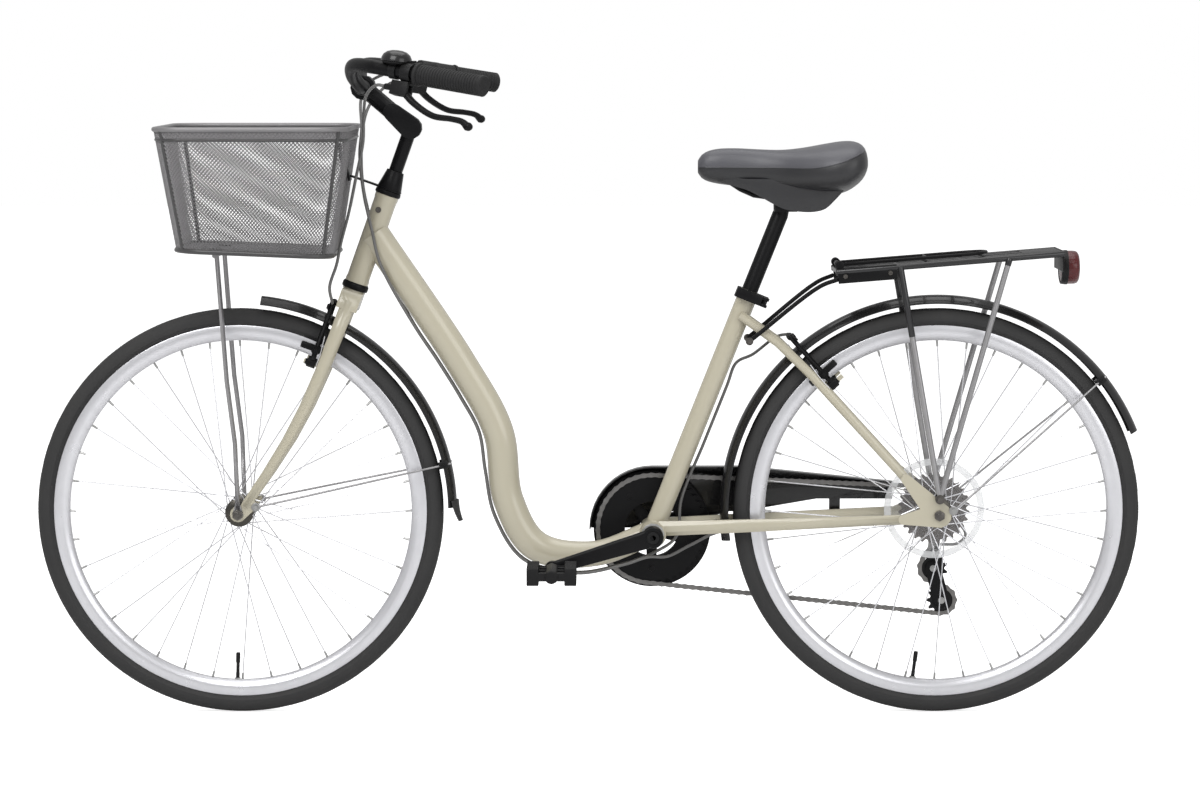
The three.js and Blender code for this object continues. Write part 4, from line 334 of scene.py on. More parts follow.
def saddle_skin():
    """A grained cover with a painted highlight: above the seam its top is painted much lighter than its
    sides, for the light that falls on it
    """
    base = tuple(colours().saddle)
    material = surface(
        "saddle_skin", base, shade(base, 1.25), 0.42, (0.12, 14.0, 0.05), (500.0, 0.06),
        coat=0.12, coat_roughness=0.3,
    )
    tree = material.node_tree
    shader = tree.nodes["Principled BSDF"]
    patina = next(node for node in tree.nodes if node.type == "GROUP" and node.node_tree == shared("patina"))
    place = add_node(tree, "TexCoord")
    cells = add_node(tree, "TexVoronoi", {"Scale": 520.0}, feature="DISTANCE_TO_EDGE")
    bump = add_node(tree, "Bump", {"Strength": 0.35, "Distance": 0.0006})
    parts = add_node(tree, "SeparateXYZ")
    connect(
        tree,
        (place, "Object", cells, "Vector"),
        (cells, "Distance", bump, "Height"),
        (bump, "Normal", shader, "Normal"),
        (place, "Object", parts, 0),
    )
    seam, output = parts, "X"
    sums = (
        ("SUBTRACT", SEAM_BEND), ("MAXIMUM", 0.0), ("POWER", 2.0), ("MULTIPLY", SEAM_RISE),
        ("ADD", SEAM_HEIGHT),
    )
    for kind, value in sums:
        step = add_node(tree, "Math", {1: value}, operation=kind)
        connect(tree, (seam, output, step, 0))
        seam, output = step, 0
    # Painted highlight: faces above the seam blend towards a colour 5.2 times the cover's, standing in for
    # light on the top
    above = add_node(tree, "Math", operation="SUBTRACT")
    edge = add_node(tree, "MapRange", {"From Min": -SEAM_WIDTH, "From Max": SEAM_WIDTH})
    painted_top_highlight = add_node(tree, "Mix", {"B": (*shade(base, 5.2), 1.0)}, data_type="RGBA")
    connect(
        tree,
        (parts, "Z", above, 0),
        (seam, 0, above, 1),
        (above, 0, edge, "Value"),
        (edge, "Result", painted_top_highlight, "Factor"),
        (patina, "Colour", painted_top_highlight, "A"),
        (painted_top_highlight, "Result", shader, "Base Color"),
    )
    return material


def lens_red():
    """Red lens with rows of small prisms behind its face"""
    red = tuple(colours().reflector)
    material = surface(
        "lens_red", red, shade(red, 1.6), 0.22, (0.05, 30.0, 0.0), (500.0, 0.0), coat=0.3, specular=0.3,
    )
    tree = material.node_tree
    place = add_node(tree, "TexCoord")
    prisms = add_node(tree, "TexVoronoi", {"Scale": 240.0, "Randomness": 0.0}, distance="CHEBYCHEV")
    bump = add_node(tree, "Bump", {"Strength": 0.8, "Distance": 0.0015})
    connect(
        tree,
        (place, "Object", prisms, "Vector"),
        (prisms, "Distance", bump, "Height"),
        (bump, "Normal", tree.nodes["Principled BSDF"], "Normal"),
    )
    return material


def clear_plastic(name, alpha):
    wear, grain = (0.05, 30.0, 0.0), (500.0, 0.02)
    return surface(name, (0.86, 0.87, 0.88), (0.80, 0.81, 0.82), 0.12, wear, grain, alpha=alpha)


def make_finishes():
    c = colours()
    cream, black, satin, alloy, mesh = (tuple(v) for v in (c.cream, c.black, c.satin, c.alloy, c.mesh))
    FINISHES.update({
        "cream": surface(
            "cream_paint", cream, shade(cream, 0.965), 0.30, (0.08, 9.0, 0.05), (900.0, 0.035),
            coat=0.6, coat_roughness=0.06,
        ),
        "black": surface(
            "gloss_black", black, shade(black, 1.6), 0.26, (0.10, 18.0, 0.03), (700.0, 0.03),
            coat=0.35, coat_roughness=0.05, specular=0.3,
        ),
        "satin": surface(
            "satin_black", satin, shade(satin, 1.5), 0.36, (0.14, 40.0, 0.02), (1500.0, 0.08),
            coat=0.02, coat_roughness=0.2, specular=0.12,
        ),
        "plastic": surface(
            "black_plastic", shade(satin, 0.8), shade(satin, 1.2), 0.50, (0.12, 50.0, 0.02), (2200.0, 0.20),
            specular=0.25,
        ),
        "tube_grey": surface(
            "rack_tube", (0.035, 0.035, 0.036), (0.025, 0.025, 0.027), 0.30, (0.12, 40.0, 0.06),
            (900.0, 0.05),
            metallic=0.55, coat=0.2,
        ),
        "rubber": surface(
            "tyre_rubber", (0.026, 0.026, 0.027), (0.038, 0.0375, 0.037), 0.72, (0.16, 26.0, 0.04),
            (1400.0, 0.30),
            specular=0.3,
        ),
        "grip": surface(
            "grip_rubber", (0.010, 0.010, 0.0105), (0.016, 0.016, 0.0165), 0.62, (0.14, 60.0, 0.02),
            (1800.0, 0.28),
            specular=0.3,
        ),
        "alloy": surface(
            "rim_alloy", alloy, shade(alloy, 0.9), 0.30, (0.14, 60.0, 0.0), (260.0, 0.10), metallic=0.75,
        ),
        "spoke": surface(
            "spoke_steel", (0.74, 0.74, 0.76), (0.60, 0.60, 0.63), 0.24, (0.10, 80.0, 0.0), (600.0, 0.04),
            metallic=0.8,
        ),
        "hub": surface(
            "hub_alloy", (0.085, 0.080, 0.070), (0.060, 0.056, 0.050), 0.34, (0.14, 90.0, 0.05),
            (800.0, 0.08),
            metallic=0.9,
        ),
        "zinc": surface(
            "zinc_steel", (0.42, 0.42, 0.42), (0.30, 0.30, 0.29), 0.38, (0.18, 120.0, 0.05), (900.0, 0.10),
            metallic=0.9,
        ),
        "oiled": surface(
            "oiled_steel", (0.16, 0.15, 0.14), (0.07, 0.065, 0.06), 0.34, (0.20, 140.0, 0.04), (900.0, 0.12),
            metallic=0.85,
        ),
        "cogs": surface(
            "cog_steel", (0.070, 0.050, 0.040), (0.045, 0.034, 0.030), 0.36, (0.20, 140.0, 0.03),
            (900.0, 0.10),
            metallic=0.6,
        ),
        "chain": surface(
            "chain_steel", (0.23, 0.225, 0.22), (0.13, 0.125, 0.12), 0.32, (0.18, 160.0, 0.02), (900.0, 0.08),
            metallic=0.85,
        ),
        "mesh": surface(
            "basket_steel", mesh, shade(mesh, 1.2), 0.42, (0.12, 22.0, 0.02), (900.0, 0.06), metallic=0.3,
        ),
        "rim_grey": surface(
            "basket_rim", shade(mesh, 0.18), shade(mesh, 0.26), 0.38, (0.12, 22.0, 0.08),
            (1200.0, 0.08), coat=0.2,
        ),
        "leg": surface(
            "leg_steel", (0.36, 0.355, 0.36), (0.28, 0.275, 0.28), 0.32, (0.12, 70.0, 0.0), (500.0, 0.06),
            metallic=0.7,
        ),
        "housing": surface(
            "cable_housing", (0.110, 0.108, 0.106), (0.140, 0.138, 0.136), 0.40, (0.08, 80.0, 0.05),
            (2000.0, 0.04),
        ),
        "saddle": saddle_skin(),
        "lens": lens_red(),
        "clear": clear_plastic("clear_plastic", 0.10),
        "clear_edge": clear_plastic("clear_edge", 0.50),
    })


# Modelling helpers


def deselect():
    if bpy.context.object and bpy.context.object.mode != "OBJECT":
        bpy.ops.object.mode_set(mode="OBJECT")
    bpy.ops.object.select_all(action="DESELECT")


def pick(ob):
    deselect()
    ob.select_set(True)
    bpy.context.view_layer.objects.active = ob
    return ob


def edit_all(ob):
    """Opens a mesh in edit mode with all of it selected"""
    pick(ob)
    bpy.ops.object.mode_set(mode="EDIT")
    bpy.ops.mesh.select_all(action="SELECT")


def tidy_mesh(ob, reach=1e-6, turn_out=True):
    """Merges doubled points and turns the faces outwards"""
    edit_all(ob)
    bpy.ops.mesh.remove_doubles(threshold=reach)
    bpy.ops.mesh.dissolve_degenerate(threshold=reach)
    bpy.ops.mesh.delete_loose()
    if turn_out:
        bpy.ops.mesh.select_all(action="SELECT")
        bpy.ops.mesh.normals_make_consistent(inside=False)
    bpy.ops.object.mode_set(mode="OBJECT")
    return ob


def bevelled(ob, width, segments=2, angle=50):
    """Rounds the sharp edges with an applied bevel"""
    pick(ob)
    bevel = ob.modifiers.new("edges", "BEVEL")
    bevel.width = width
    bevel.segments = segments
    bevel.limit_method = "ANGLE"
    bevel.angle_limit = math.radians(angle)
    bpy.ops.object.modifier_apply(modifier=bevel.name)
    return ob


def finished(ob, name, body, finish, nodes=(), angle=38):
    """Names a piece, gives it its finish and sets it on its body. Its place moves into its mesh."""
    pick(ob)
    bpy.ops.object.transform_apply(location=True, rotation=True, scale=True)
    ob.name = name
    ob.data.name = name
    bpy.ops.object.shade_smooth_by_angle(angle=math.radians(angle))
    ob.data.materials.clear()
    ob.data.materials.append(FINISHES[finish])
    if nodes:
        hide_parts(*nodes)
    if body:
        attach(ob, body)
    return ob


def joined(obs):
    deselect()
    for ob in obs:
        ob.select_set(True)
    bpy.context.view_layer.objects.active = obs[0]
    if len(obs) > 1:
        bpy.ops.object.join()
    return bpy.context.object


def copied(ob, matrix):
    """A copy with its own mesh, moved by the matrix"""
    twin = ob.copy()
    twin.data = ob.data.copy()
    bpy.context.scene.collection.objects.link(twin)
    twin.data.transform(matrix)
    return twin


def axes(x, y, z):
    """A matrix that turns X, Y and Z to the given directions"""
    return Matrix((x, y, z)).transposed().to_4x4()


def aimed(direction):
    """A rotation that takes +Z to the direction"""
    return Vector(direction).to_track_quat("Z", "Y").to_matrix().to_4x4()


def placed(place, turn=0.0, axis="Y"):
    """A matrix that turns about an axis of the bike and then moves to the place"""
    return Matrix.Translation(place) @ Matrix.Rotation(turn, 4, axis)


def in_plane(radius, angle, y=0.0):
    """A step in the bike's plane at an angle in radians, counted from the rear upwards"""
    return Vector((radius * math.cos(angle), y, radius * math.sin(angle)))


def mirrored(outline):
    """The same (radius, along) points on the other side, in the opposite order"""
    return [(radius, -along) for radius, along in reversed(outline)]


def spun(outline, centre, steps=96, axis=ACROSS, start=0.0, turn=math.tau):
    """A closed outline of (radius, along) points, spun about an axis through the centre"""
    deselect()
    direction = Vector(axis).normalized()
    side = direction.cross(Vector((0, 0, 1)))
    if side.length < 0.1:
        side = direction.cross(Vector((1, 0, 0)))
    side.normalize()
    if abs(direction.y) > 0.99:
        side = Vector((1, 0, 0))
    side = Matrix.Rotation(start, 3, direction) @ side
    bpy.ops.mesh.primitive_circle_add(vertices=len(outline), radius=0.01)
    ob = bpy.context.object
    for vertex, (radius, along) in zip(ob.data.vertices, outline):
        vertex.co = Vector(centre) + side * radius + direction * along
    edit_all(ob)
    if turn < math.tau:
        bpy.ops.mesh.edge_face_add()
        bpy.ops.mesh.select_all(action="SELECT")
    bpy.ops.mesh.spin(steps=steps, angle=turn, center=tuple(centre), axis=tuple(direction))
    bpy.ops.object.mode_set(mode="OBJECT")
    return tidy_mesh(ob)


def smooth_path(points, per_span=8, closed=False):
    """Points on a smooth curve through the given points"""
    points = [Vector(p) for p in points]
    if closed:
        line = [points[-1], *points, points[0], points[1]]
    else:
        line = [points[0] * 2 - points[1], *points, points[-1] * 2 - points[-2]]
    path = []
    for i in range(1, len(line) - 2):
        a, b, c, d = line[i - 1:i + 3]
        t1 = max((b - a).length ** 0.5, 1e-6)
        t2 = t1 + max((c - b).length ** 0.5, 1e-6)
        t3 = t2 + max((d - c).length ** 0.5, 1e-6)
        for k in range(per_span):
            t = t1 + (t2 - t1) * k / per_span
            ab = a.lerp(b, t / t1)
            bc = b.lerp(c, (t - t1) / (t2 - t1))
            cd = c.lerp(d, (t - t2) / (t3 - t2))
            abc = ab.lerp(bc, t / t2)
            bcd = bc.lerp(cd, (t - t1) / (t3 - t1))
            path.append(abc.lerp(bcd, (t - t1) / (t2 - t1)))
    if not closed:
        path.append(points[-1])
    return path


def pipe(points, radius, sides=16, per_span=8, radii=None, closed=False):
    """A round tube along a smooth line, drawn as a curve and made a mesh"""
    line = smooth_path(points, per_span, closed) if per_span else [Vector(p) for p in points]
    deselect()
    bpy.ops.curve.primitive_bezier_curve_add()
    ob = bpy.context.object
    ob.data.splines.clear()
    spline = ob.data.splines.new("POLY")
    spline.points.add(len(line) - 1)
    last = len(line) - 1
    for i, (point, place) in enumerate(zip(spline.points, line)):
        point.co = (*place, 1.0)
        if radii:
            share = i / last * (len(radii) - 1)
            low = min(int(share), len(radii) - 2)
            point.radius = radii[low] + (radii[low + 1] - radii[low]) * (share - low)
    spline.use_cyclic_u = closed
    ob.data.dimensions = "3D"
    ob.data.bevel_depth = radius
    ob.data.bevel_resolution = max((sides - 4) // 2, 0)
    ob.data.use_fill_caps = not closed
    bpy.ops.object.convert(target="MESH")
    return tidy_mesh(bpy.context.object)


def bar(start, end, radius, sides=24, end_radius=None, edge=0.0):
    """A straight round bar between two points"""
    start, end = Vector(start), Vector(end)
    length = (end - start).length
    deselect()
    if end_radius is None:
        bpy.ops.mesh.primitive_cylinder_add(vertices=sides, radius=radius, depth=length)
    else:
        bpy.ops.mesh.primitive_cone_add(vertices=sides, radius1=radius, radius2=end_radius, depth=length)
    ob = bpy.context.object
    if edge:
        bevelled(ob, edge)
    ob.data.transform(Matrix.Translation((start + end) / 2) @ aimed(end - start))
    return ob


def slab(size, matrix, edge=0.001, segments=2):
    """A block with rounded edges, placed by the matrix"""
    deselect()
    bpy.ops.mesh.primitive_cube_add(size=1.0)
    ob = bpy.context.object
    ob.data.transform(Matrix.Diagonal((*size, 1.0)))
    bevelled(ob, edge, segments)
    ob.data.transform(matrix)
    return ob


def lofted(rings, closed_ends=True, endless=False):
    """A grid rolled into a tube through the rings"""
    count = len(rings[0])
    deselect()
    rows = len(rings) + (1 if endless else 0)
    bpy.ops.mesh.primitive_grid_add(x_subdivisions=count, y_subdivisions=rows - 1, size=1.0)
    ob = bpy.context.object
    for index, vertex in enumerate(ob.data.vertices):
        row, column = divmod(index, count + 1)
        vertex.co = Vector(rings[row % len(rings)][column % count])
    tidy_mesh(ob, turn_out=False)
    edit_all(ob)
    if closed_ends and not endless:
        bpy.ops.mesh.fill_holes(sides=0)
        bpy.ops.mesh.select_all(action="SELECT")
    bpy.ops.mesh.normals_make_consistent(inside=False)
    bpy.ops.object.mode_set(mode="OBJECT")
    return ob


def rounded_arm(start, end, half, thick, steps=14, count=24):
    """A solid arm in the bike's plane with rounded sides, tapering from its first to its second sizes"""
    along = (end - start).normalized()
    up = along.cross(ACROSS)
    rings = []
    for k in range(steps + 1):
        share = k / steps
        size = half[0] + (half[1] - half[0]) * share
        depth = thick[0] + (thick[1] - thick[0]) * share
        ring = []
        for j in range(count):
            turn = math.tau * (j + 0.5) / count
            rise, side = (math.copysign(abs(v) ** 0.55, v) for v in (math.cos(turn), math.sin(turn)))
            ring.append(start.lerp(end, share) + up * size * rise + Vector((0.0, depth * side, 0.0)))
        rings.append(ring)
    return lofted(rings)


def dressed(node, finish, edge=0.0, angle=38):
    """A merged and softened copy of a CAD node, which then stands for it"""
    source = frame["nodes"][node]
    ob = bpy.data.objects.new(node + "_finished", source.data.copy())
    bpy.context.scene.collection.objects.link(ob)
    tidy_mesh(ob, 1e-5, turn_out=False)
    edit_all(ob)
    bpy.ops.mesh.dissolve_limited(angle_limit=math.radians(0.6))
    bpy.ops.object.mode_set(mode="OBJECT")
    if edge:
        bevelled(ob, edge, 2, 35)
    return finished(ob, node + "_finished", source["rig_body"], finish, [node], angle)


def hex_head(place, direction, across=0.010, height=0.005, washer=True):
    """A hexagon bolt head with a chamfer and a washer under it. Across is its width over the flats."""
    direction = Vector(direction).normalized()
    place = Vector(place)
    obs = [bar(place, place + direction * height, across * 0.5774, 6, across * 0.52)]
    if washer:
        obs.append(bar(place - direction * 0.0008, place + direction * 0.0006, across * 0.78, 20))
    return joined(obs)


def round_head(place, direction, radius=0.004, height=0.0025):
    """A domed screw head with a hexagon socket"""
    floor = height * 0.5
    outline = [
        (0.0, 0.0), (radius, 0.0), (radius, floor), (radius * 0.8, height), (radius * 0.45, height),
        (radius * 0.40, floor), (0.0, floor),
    ]
    return spun(outline, place, 18, direction)


# Wheels

SPOKE_CIRCLE = 0.2790
VALVE_CIRCLE = 0.2782
VALVE_ANGLES = {"front": -91.6, "rear": -97.4}

# Each hub's left and right flange, counted from the middle, and its flanges' radius
FLANGES = {"front": (0.030, 0.030, 0.023), "rear": (0.033, 0.022, 0.025)}


def tyre_outline():
    """Half-round section with shoulders and a bead"""
    half = sizes().tyre_width / 2
    middle, flat = sizes().tyre_radius - half, 0.0012
    bead = [(0.2960, -0.0085), (0.2985, -0.0107), (0.3034, -0.0112)]
    crown = []
    for k in range(17):
        angle = math.radians(-100 + 200 * k / 16)
        crown.append((middle + flat + (half - flat) * math.cos(angle), half * math.sin(angle)))
    return bead + crown + mirrored(bead) + [(0.3050, 0.0070), (0.3120, 0.0), (0.3050, -0.0070)]


def make_tyres():
    tread_edge, row_width = sizes().tyre_radius - 0.0035, 0.0042
    for end, axle, body in WHEELS:
        ob = spun(tyre_outline(), axle, sizes().tread_steps)
        pick(ob)
        bpy.ops.object.mode_set(mode="EDIT")
        bpy.ops.mesh.select_all(action="DESELECT")
        mesh = bmesh.from_edit_mesh(ob.data)
        for face in mesh.faces:
            middle = face.calc_center_median() - axle
            step = int((math.atan2(middle.z, middle.x) / math.tau + 1.0) * sizes().tread_steps + 0.5)
            row = int((middle.y + 0.05) / row_width)
            face.select = math.hypot(middle.x, middle.z) > tread_edge and (step + row) % 3 != 0
        bmesh.update_edit_mesh(ob.data)
        bpy.ops.mesh.inset(thickness=0.0012, depth=0.0004, use_individual=True)
        bpy.ops.object.mode_set(mode="OBJECT")
        finished(ob, end + "_tyre_rubber", body, "rubber", [end + "_tyre"], 40)


def make_rims():
    half = [
        (0.2780, -0.0050), (0.2795, -0.0072), (0.2872, -0.0118), (0.2900, -0.0125), (0.3020, -0.0125),
        (0.3030, -0.0120), (0.3030, -0.0108), (0.2945, -0.0106), (0.2935, -0.0080),
    ]
    outline = half + mirrored(half) + [(0.2778, 0.0)]
    for end, axle, body in WHEELS:
        finished(spun(outline, axle, 144), end + "_rim_alloy", body, "alloy", [end + "_rim"], 30)


def spoke_places(left, right, flange_radius):
    """Both ends of each spoke, from the flanges' holes to the rim"""
    count, hole = sizes().spokes, flange_radius - 0.003
    places = []
    for i in range(count):
        side = 1 if i % 2 == 1 else -1
        lean = 1 if (i // 2) % 2 == 1 else -1
        rim_angle = math.tau * i / count
        hub_angle = rim_angle + math.radians(60 * lean)
        start = in_plane(hole, hub_angle, (right if side > 0 else -left) + side * lean * 0.0019)
        places.append((start, in_plane(SPOKE_CIRCLE, rim_angle, side * 0.0016)))
    return places


def hub_outline(end):
    if end == "rear":
        return [
            (0.0068, -0.0540), (0.0120, -0.0540), (0.0135, -0.0520), (0.0145, -0.0375), (0.0235, -0.0360),
            (0.0250, -0.0348), (0.0250, -0.0312), (0.0235, -0.0300), (0.0170, -0.0280), (0.0145, -0.0210),
            (0.0145, 0.0100), (0.0175, 0.0175), (0.0235, 0.0190), (0.0250, 0.0202), (0.0250, 0.0238),
            (0.0235, 0.0250), (0.0150, 0.0260), (0.0148, 0.0580), (0.0068, 0.0580),
        ]
    half = [
        (0.0068, -0.0450), (0.0115, -0.0450), (0.0125, -0.0435), (0.0130, -0.0345), (0.0215, -0.0330),
        (0.0230, -0.0318), (0.0230, -0.0282), (0.0215, -0.0270), (0.0150, -0.0250), (0.0118, -0.0180),
    ]
    return half + [(0.0112, 0.0)] + mirrored(half)


def make_hubs():
    radius = sizes().spoke_radius
    for end, axle, body in WHEELS:
        finished(spun(hub_outline(end), axle, 48), end + "_hub_shell", body, "hub", [end + "_hub"], 30)
        wires, nipples = [], []
        for start, tip in spoke_places(*FLANGES[end]):
            line = (tip - start).normalized()
            inwards = -1 if (start.y > 0) == (abs(start.y) > FLANGES[end][0]) else 1
            elbow = start + ACROSS * 0.0032 * inwards
            wires.append(bar(axle + start, axle + tip, radius, 8))
            wires.append(bar(axle + start, axle + elbow, radius * 1.5, 8))
            nipples.append(bar(axle + tip - line * 0.011, axle + tip + line * 0.0025, 0.0017, 8, 0.0020))
        finished(joined(wires), end + "_spokes", body, "spoke")
        finished(joined(nipples), end + "_nipples", body, "zinc")
    for end in ("front", "rear"):
        dressed(end + "_axle", "oiled", 0.0006)


def make_valves():
    outline = [
        (0.0, 0.0), (0.0031, 0.0), (0.0031, 0.012), (0.0028, 0.013), (0.0028, 0.028), (0.0034, 0.029),
        (0.0036, 0.030), (0.0036, 0.043), (0.0030, 0.0452), (0.0, 0.0455),
    ]
    for end, axle, body in WHEELS:
        out = in_plane(1.0, math.radians(VALVE_ANGLES[end]))
        finished(spun(outline, axle + out * SPOKE_CIRCLE, 16, -out), end + "_valve", body, "plastic")
        nut = hex_head(axle + out * VALVE_CIRCLE, -out, 0.0095, 0.003, False)
        finished(nut, end + "_valve_nut", body, "zinc")


def make_spoke_guard():
    disc = [(0.0162, 0.0268), (0.0712, 0.0268), (0.0712, 0.0278), (0.0162, 0.0278)]
    ring = [
        (0.0712, 0.0266), (0.0800, 0.0270), (0.0818, 0.0268), (0.0822, 0.0276), (0.0804, 0.0284),
        (0.0712, 0.0282),
    ]
    finished(spun(disc, REAR_AXLE), "spoke_guard_disc", "rear_wheel", "clear", ["spoke_guard"], 30)
    finished(spun(ring, REAR_AXLE), "spoke_guard_ring", "rear_wheel", "clear_edge", angle=30)


# Mudguards: angles in degrees, counted from the rear upwards

GUARDS = (
    ("front", FRONT_AXLE, "steering", (1, 84), (-0.6410, 0.0577, 0.0478), 13),
    ("rear", REAR_AXLE, "frame", (22, 188), (0.4832, 0.0737, 0.0438), 39),
)


def guard_outline():
    """A thin arched strip with rolled edges"""
    crown, half, drop, wall, lip = 0.3520, 0.0225, 0.0120, 0.0011, 0.0016
    low = crown - drop
    shares = [k / 7 - 1 for k in range(15)]
    outer = [(crown - drop * abs(share) ** 2.2, half * share) for share in shares]
    inner = [(crown - wall - drop * abs(share) ** 2.2, (half - wall) * share) for share in shares[13:0:-1]]
    edge = [(low - 0.0016, half), (low - 0.0020, half - lip), (low - 0.0004, half - lip)]
    return outer + edge + inner + mirrored(edge)


def front_flap():
    """A rubber flap that carries on from the end of the front strip"""
    out = in_plane(1.0, math.radians(GUARDS[0][3][0]))
    down = Vector((out.z, 0.0, -out.x))
    near = [(share, 0) for share in (-1, -0.6, 0, 0.6, 1)]
    section = near + [(share, 0.0018) for share, face in reversed(near)]
    rings = []
    for k in range(7):
        share = k / 6
        half = 0.0215 * (1 - 0.28 * share ** 3)
        middle = FRONT_AXLE + out * (0.3535 + 0.006 * share * share) + down * (0.034 * share - 0.012)
        ring = []
        for y, face in section:
            ring.append(middle + ACROSS * half * y + out * (face - 0.010 * y * y * (1 - 0.5 * share)))
        rings.append(ring)
    return lofted(rings)


def guard_stays(axle, eye, angle):
    """Both wire stays of a mudguard, from the eyes at the axle to the strip's edges, and their clips"""
    turn = math.radians(angle)
    wires, clips = [], []
    for side in (-1, 1):
        start = Vector((eye[0], eye[1] * side, eye[2]))
        edge = axle + in_plane(0.3395, turn, 0.0228 * side)
        level = Vector((edge.x, start.y, edge.z))
        hook = edge + (edge - start).normalized() * 0.012
        wires.append(pipe([start, start.lerp(level, 0.10), start.lerp(edge, 0.97), hook], 0.0017, 12, 6))
        wires.append(bar(start - ACROSS * 0.0015, start + ACROSS * 0.0015, 0.0070, edge=0.0004))
        clips.append(slab((0.016, 0.0024, 0.011), placed(edge + ACROSS * 0.0012 * side, -turn), 0.0007))
        clips.append(round_head(edge + ACROSS * 0.0022 * side, (0, side, 0), 0.0032, 0.0020))
    return joined(wires), joined(clips)


def make_mudguards():
    for end, axle, body, (first, last), eye, stay_angle in GUARDS:
        turn = math.radians(last - first)
        strip = spun(guard_outline(), axle, int((last - first) / 2), ACROSS, -math.radians(first), turn)
        finished(strip, end + "_mudguard_strip", body, "black", [end + "_mudguard"], 30)
    finished(front_flap(), "front_mud_flap", "steering", "rubber", angle=30)
    for end, axle, body, span, eye, stay_angle in GUARDS:
        wires, clips = guard_stays(axle, eye, stay_angle)
        finished(wires, end + "_mudguard_stays", body, "leg")
        finished(clips, end + "_stay_clips", body, "plastic")
        spots = [(side, (eye[0], (eye[1] + 0.0015) * side, eye[2])) for side in (-1, 1)]
        heads = [hex_head(spot, (0, side, 0), 0.008, 0.0040) for side, spot in spots]
        finished(joined(heads), end + "_stay_bolts", body, "zinc")
    tab = bar(STEER_FOOT + STEER_UP * 0.345, STEER_FOOT + STEER_UP * 0.3705, 0.008, 16)
    finished(tab, "front_mudguard_tab", "steering", "satin")


# Frame and fork


def make_frame():
    main = pipe(MAIN_TUBE_LINE, 0.025, 40, 14, [1.0, 1.0, 1.0, 1.0, 1.0, 0.83, 0.80])
    finished(main, "main_tube_painted", "frame", "cream", ["main_tube"], 50)
    for node in ("head_tube", "seat_tube", "chain_stays", "seat_stays"):
        dressed(node, "cream", angle=42)
    head = [
        (0.0155, 0.0), (0.0192, 0.0), (0.0192, 0.006), (0.0184, 0.009), (0.0184, 0.141), (0.0192, 0.144),
        (0.0192, 0.150), (0.0155, 0.150),
    ]
    sleeve = spun(head, STEER_FOOT + STEER_UP * 0.414, 56, STEER_UP)
    finished(sleeve, "head_tube_sleeve", "frame", "cream", angle=30)
    half = [(0.0176, -0.0345), (0.0212, -0.0345), (0.0216, -0.0335)]
    finished(spun(half + mirrored(half), CRANK_AXLE, 56), "bottom_bracket_shell", "frame", "cream", angle=30)
    seat = [(0.0140, 0.018), (0.01635, 0.018), (0.01635, 0.4245), (0.0140, 0.4245)]
    finished(spun(seat, CRANK_AXLE, 48, SEAT_UP), "seat_tube_sleeve", "frame", "cream", angle=30)
    dressed("bottom_bracket_cartridge", "zinc", 0.0005)


def make_fork():
    dressed("fork", "cream", angle=46)


def make_steering_parts():
    """The races of the headset, its locknut, the stem and a small stop for a housing"""
    low = [
        (0.0130, 0.402), (0.0185, 0.402), (0.0212, 0.4035), (0.0216, 0.4055), (0.0216, 0.4105),
        (0.0206, 0.4125),
        (0.0195, 0.4138), (0.0130, 0.4138),
    ]
    high = [
        (0.0135, 0.5640), (0.0195, 0.5640), (0.0208, 0.5652), (0.0212, 0.5670), (0.0205, 0.5712),
        (0.0190, 0.5722),
        (0.0135, 0.5722),
    ]
    for end, outline in (("lower", low), ("upper", high)):
        race = spun(outline, STEER_FOOT, 56, STEER_UP)
        finished(race, end + "_cup_race", "frame", "satin", [end + "_headset_cup"], 30)
    dressed("headset_locknut", "satin", 0.0005)
    spot = STEER_FOOT + STEER_UP * 0.5415 + Vector((-0.0060, -0.0155, -0.0020))
    boss = bar(spot, spot - ACROSS * 0.0040, 0.0048, edge=0.0006)
    screw = hex_head(spot - ACROSS * 0.0036, (0, -1, 0), 0.006, 0.0025)
    finished(joined([boss, screw]), "housing_stop", "frame", "oiled", angle=35)
    dressed("stem_quill", "satin", 0.0005)
    dressed("stem_extension", "satin", 0.0012)


# Handlebar and controls

BAR_RADIUS = 0.0111
GRIP_RADIUS = 0.0166

# The blade of a brake lever, from its pivot to its tip, along and up in the grip's own frame
LEVER_LINE = (
    (-0.142, -0.031), (-0.1203, -0.0446), (-0.080, -0.0589), (-0.045, -0.0585), (-0.024, -0.0600),
    (-0.012, -0.0665),
)


def to_side(place, side):
    """A place on the right, or its mirror image on the left"""
    return Vector((place.x, place.y * side, place.z))


def bar_end_frame(side):
    """A matrix whose x runs outwards along the grip and z away from the lever"""
    outward = to_side(GRIP_LINE, side).normalized()
    lift = Vector((0.42, 0.0, 0.9))
    lift = (lift - outward * lift.dot(outward)).normalized()
    return Matrix.Translation(to_side(BAR_END, side)) @ axes(outward, lift.cross(outward), lift)


def bar_line(side):
    """Half of the handlebar, from the stem forwards, outwards and back to the grip"""
    reach, rise, straight = BAR_END.y, 0.036, BAR_END - GRIP_LINE * 0.188
    points = [
        Vector((BAR_CENTRE.x, 0.040, BAR_CENTRE.z)),
        Vector((BAR_CENTRE.x - BAR_RADIUS, reach * 0.3, BAR_CENTRE.z + rise * 0.55)),
        Vector((BAR_CENTRE.x - BAR_RADIUS / 2, reach * 0.48, BAR_CENTRE.z + rise)),
        straight - GRIP_LINE * (BAR_RADIUS * 2),
        straight,
        BAR_END - GRIP_LINE * 0.0043,
    ]
    return [to_side(point, side) for point in points]


def make_handlebar():
    tube = pipe(bar_line(-1)[::-1] + [BAR_CENTRE] + bar_line(1), BAR_RADIUS, 28, 9)
    half = [(0.0, -0.044), (BAR_RADIUS, -0.044), (0.0127, -0.038)]
    bulge = spun(half + mirrored(half), BAR_CENTRE, 32)
    finished(joined([tube, bulge]), "handlebar_tube", "bars", "satin", ["handlebar"], 40)


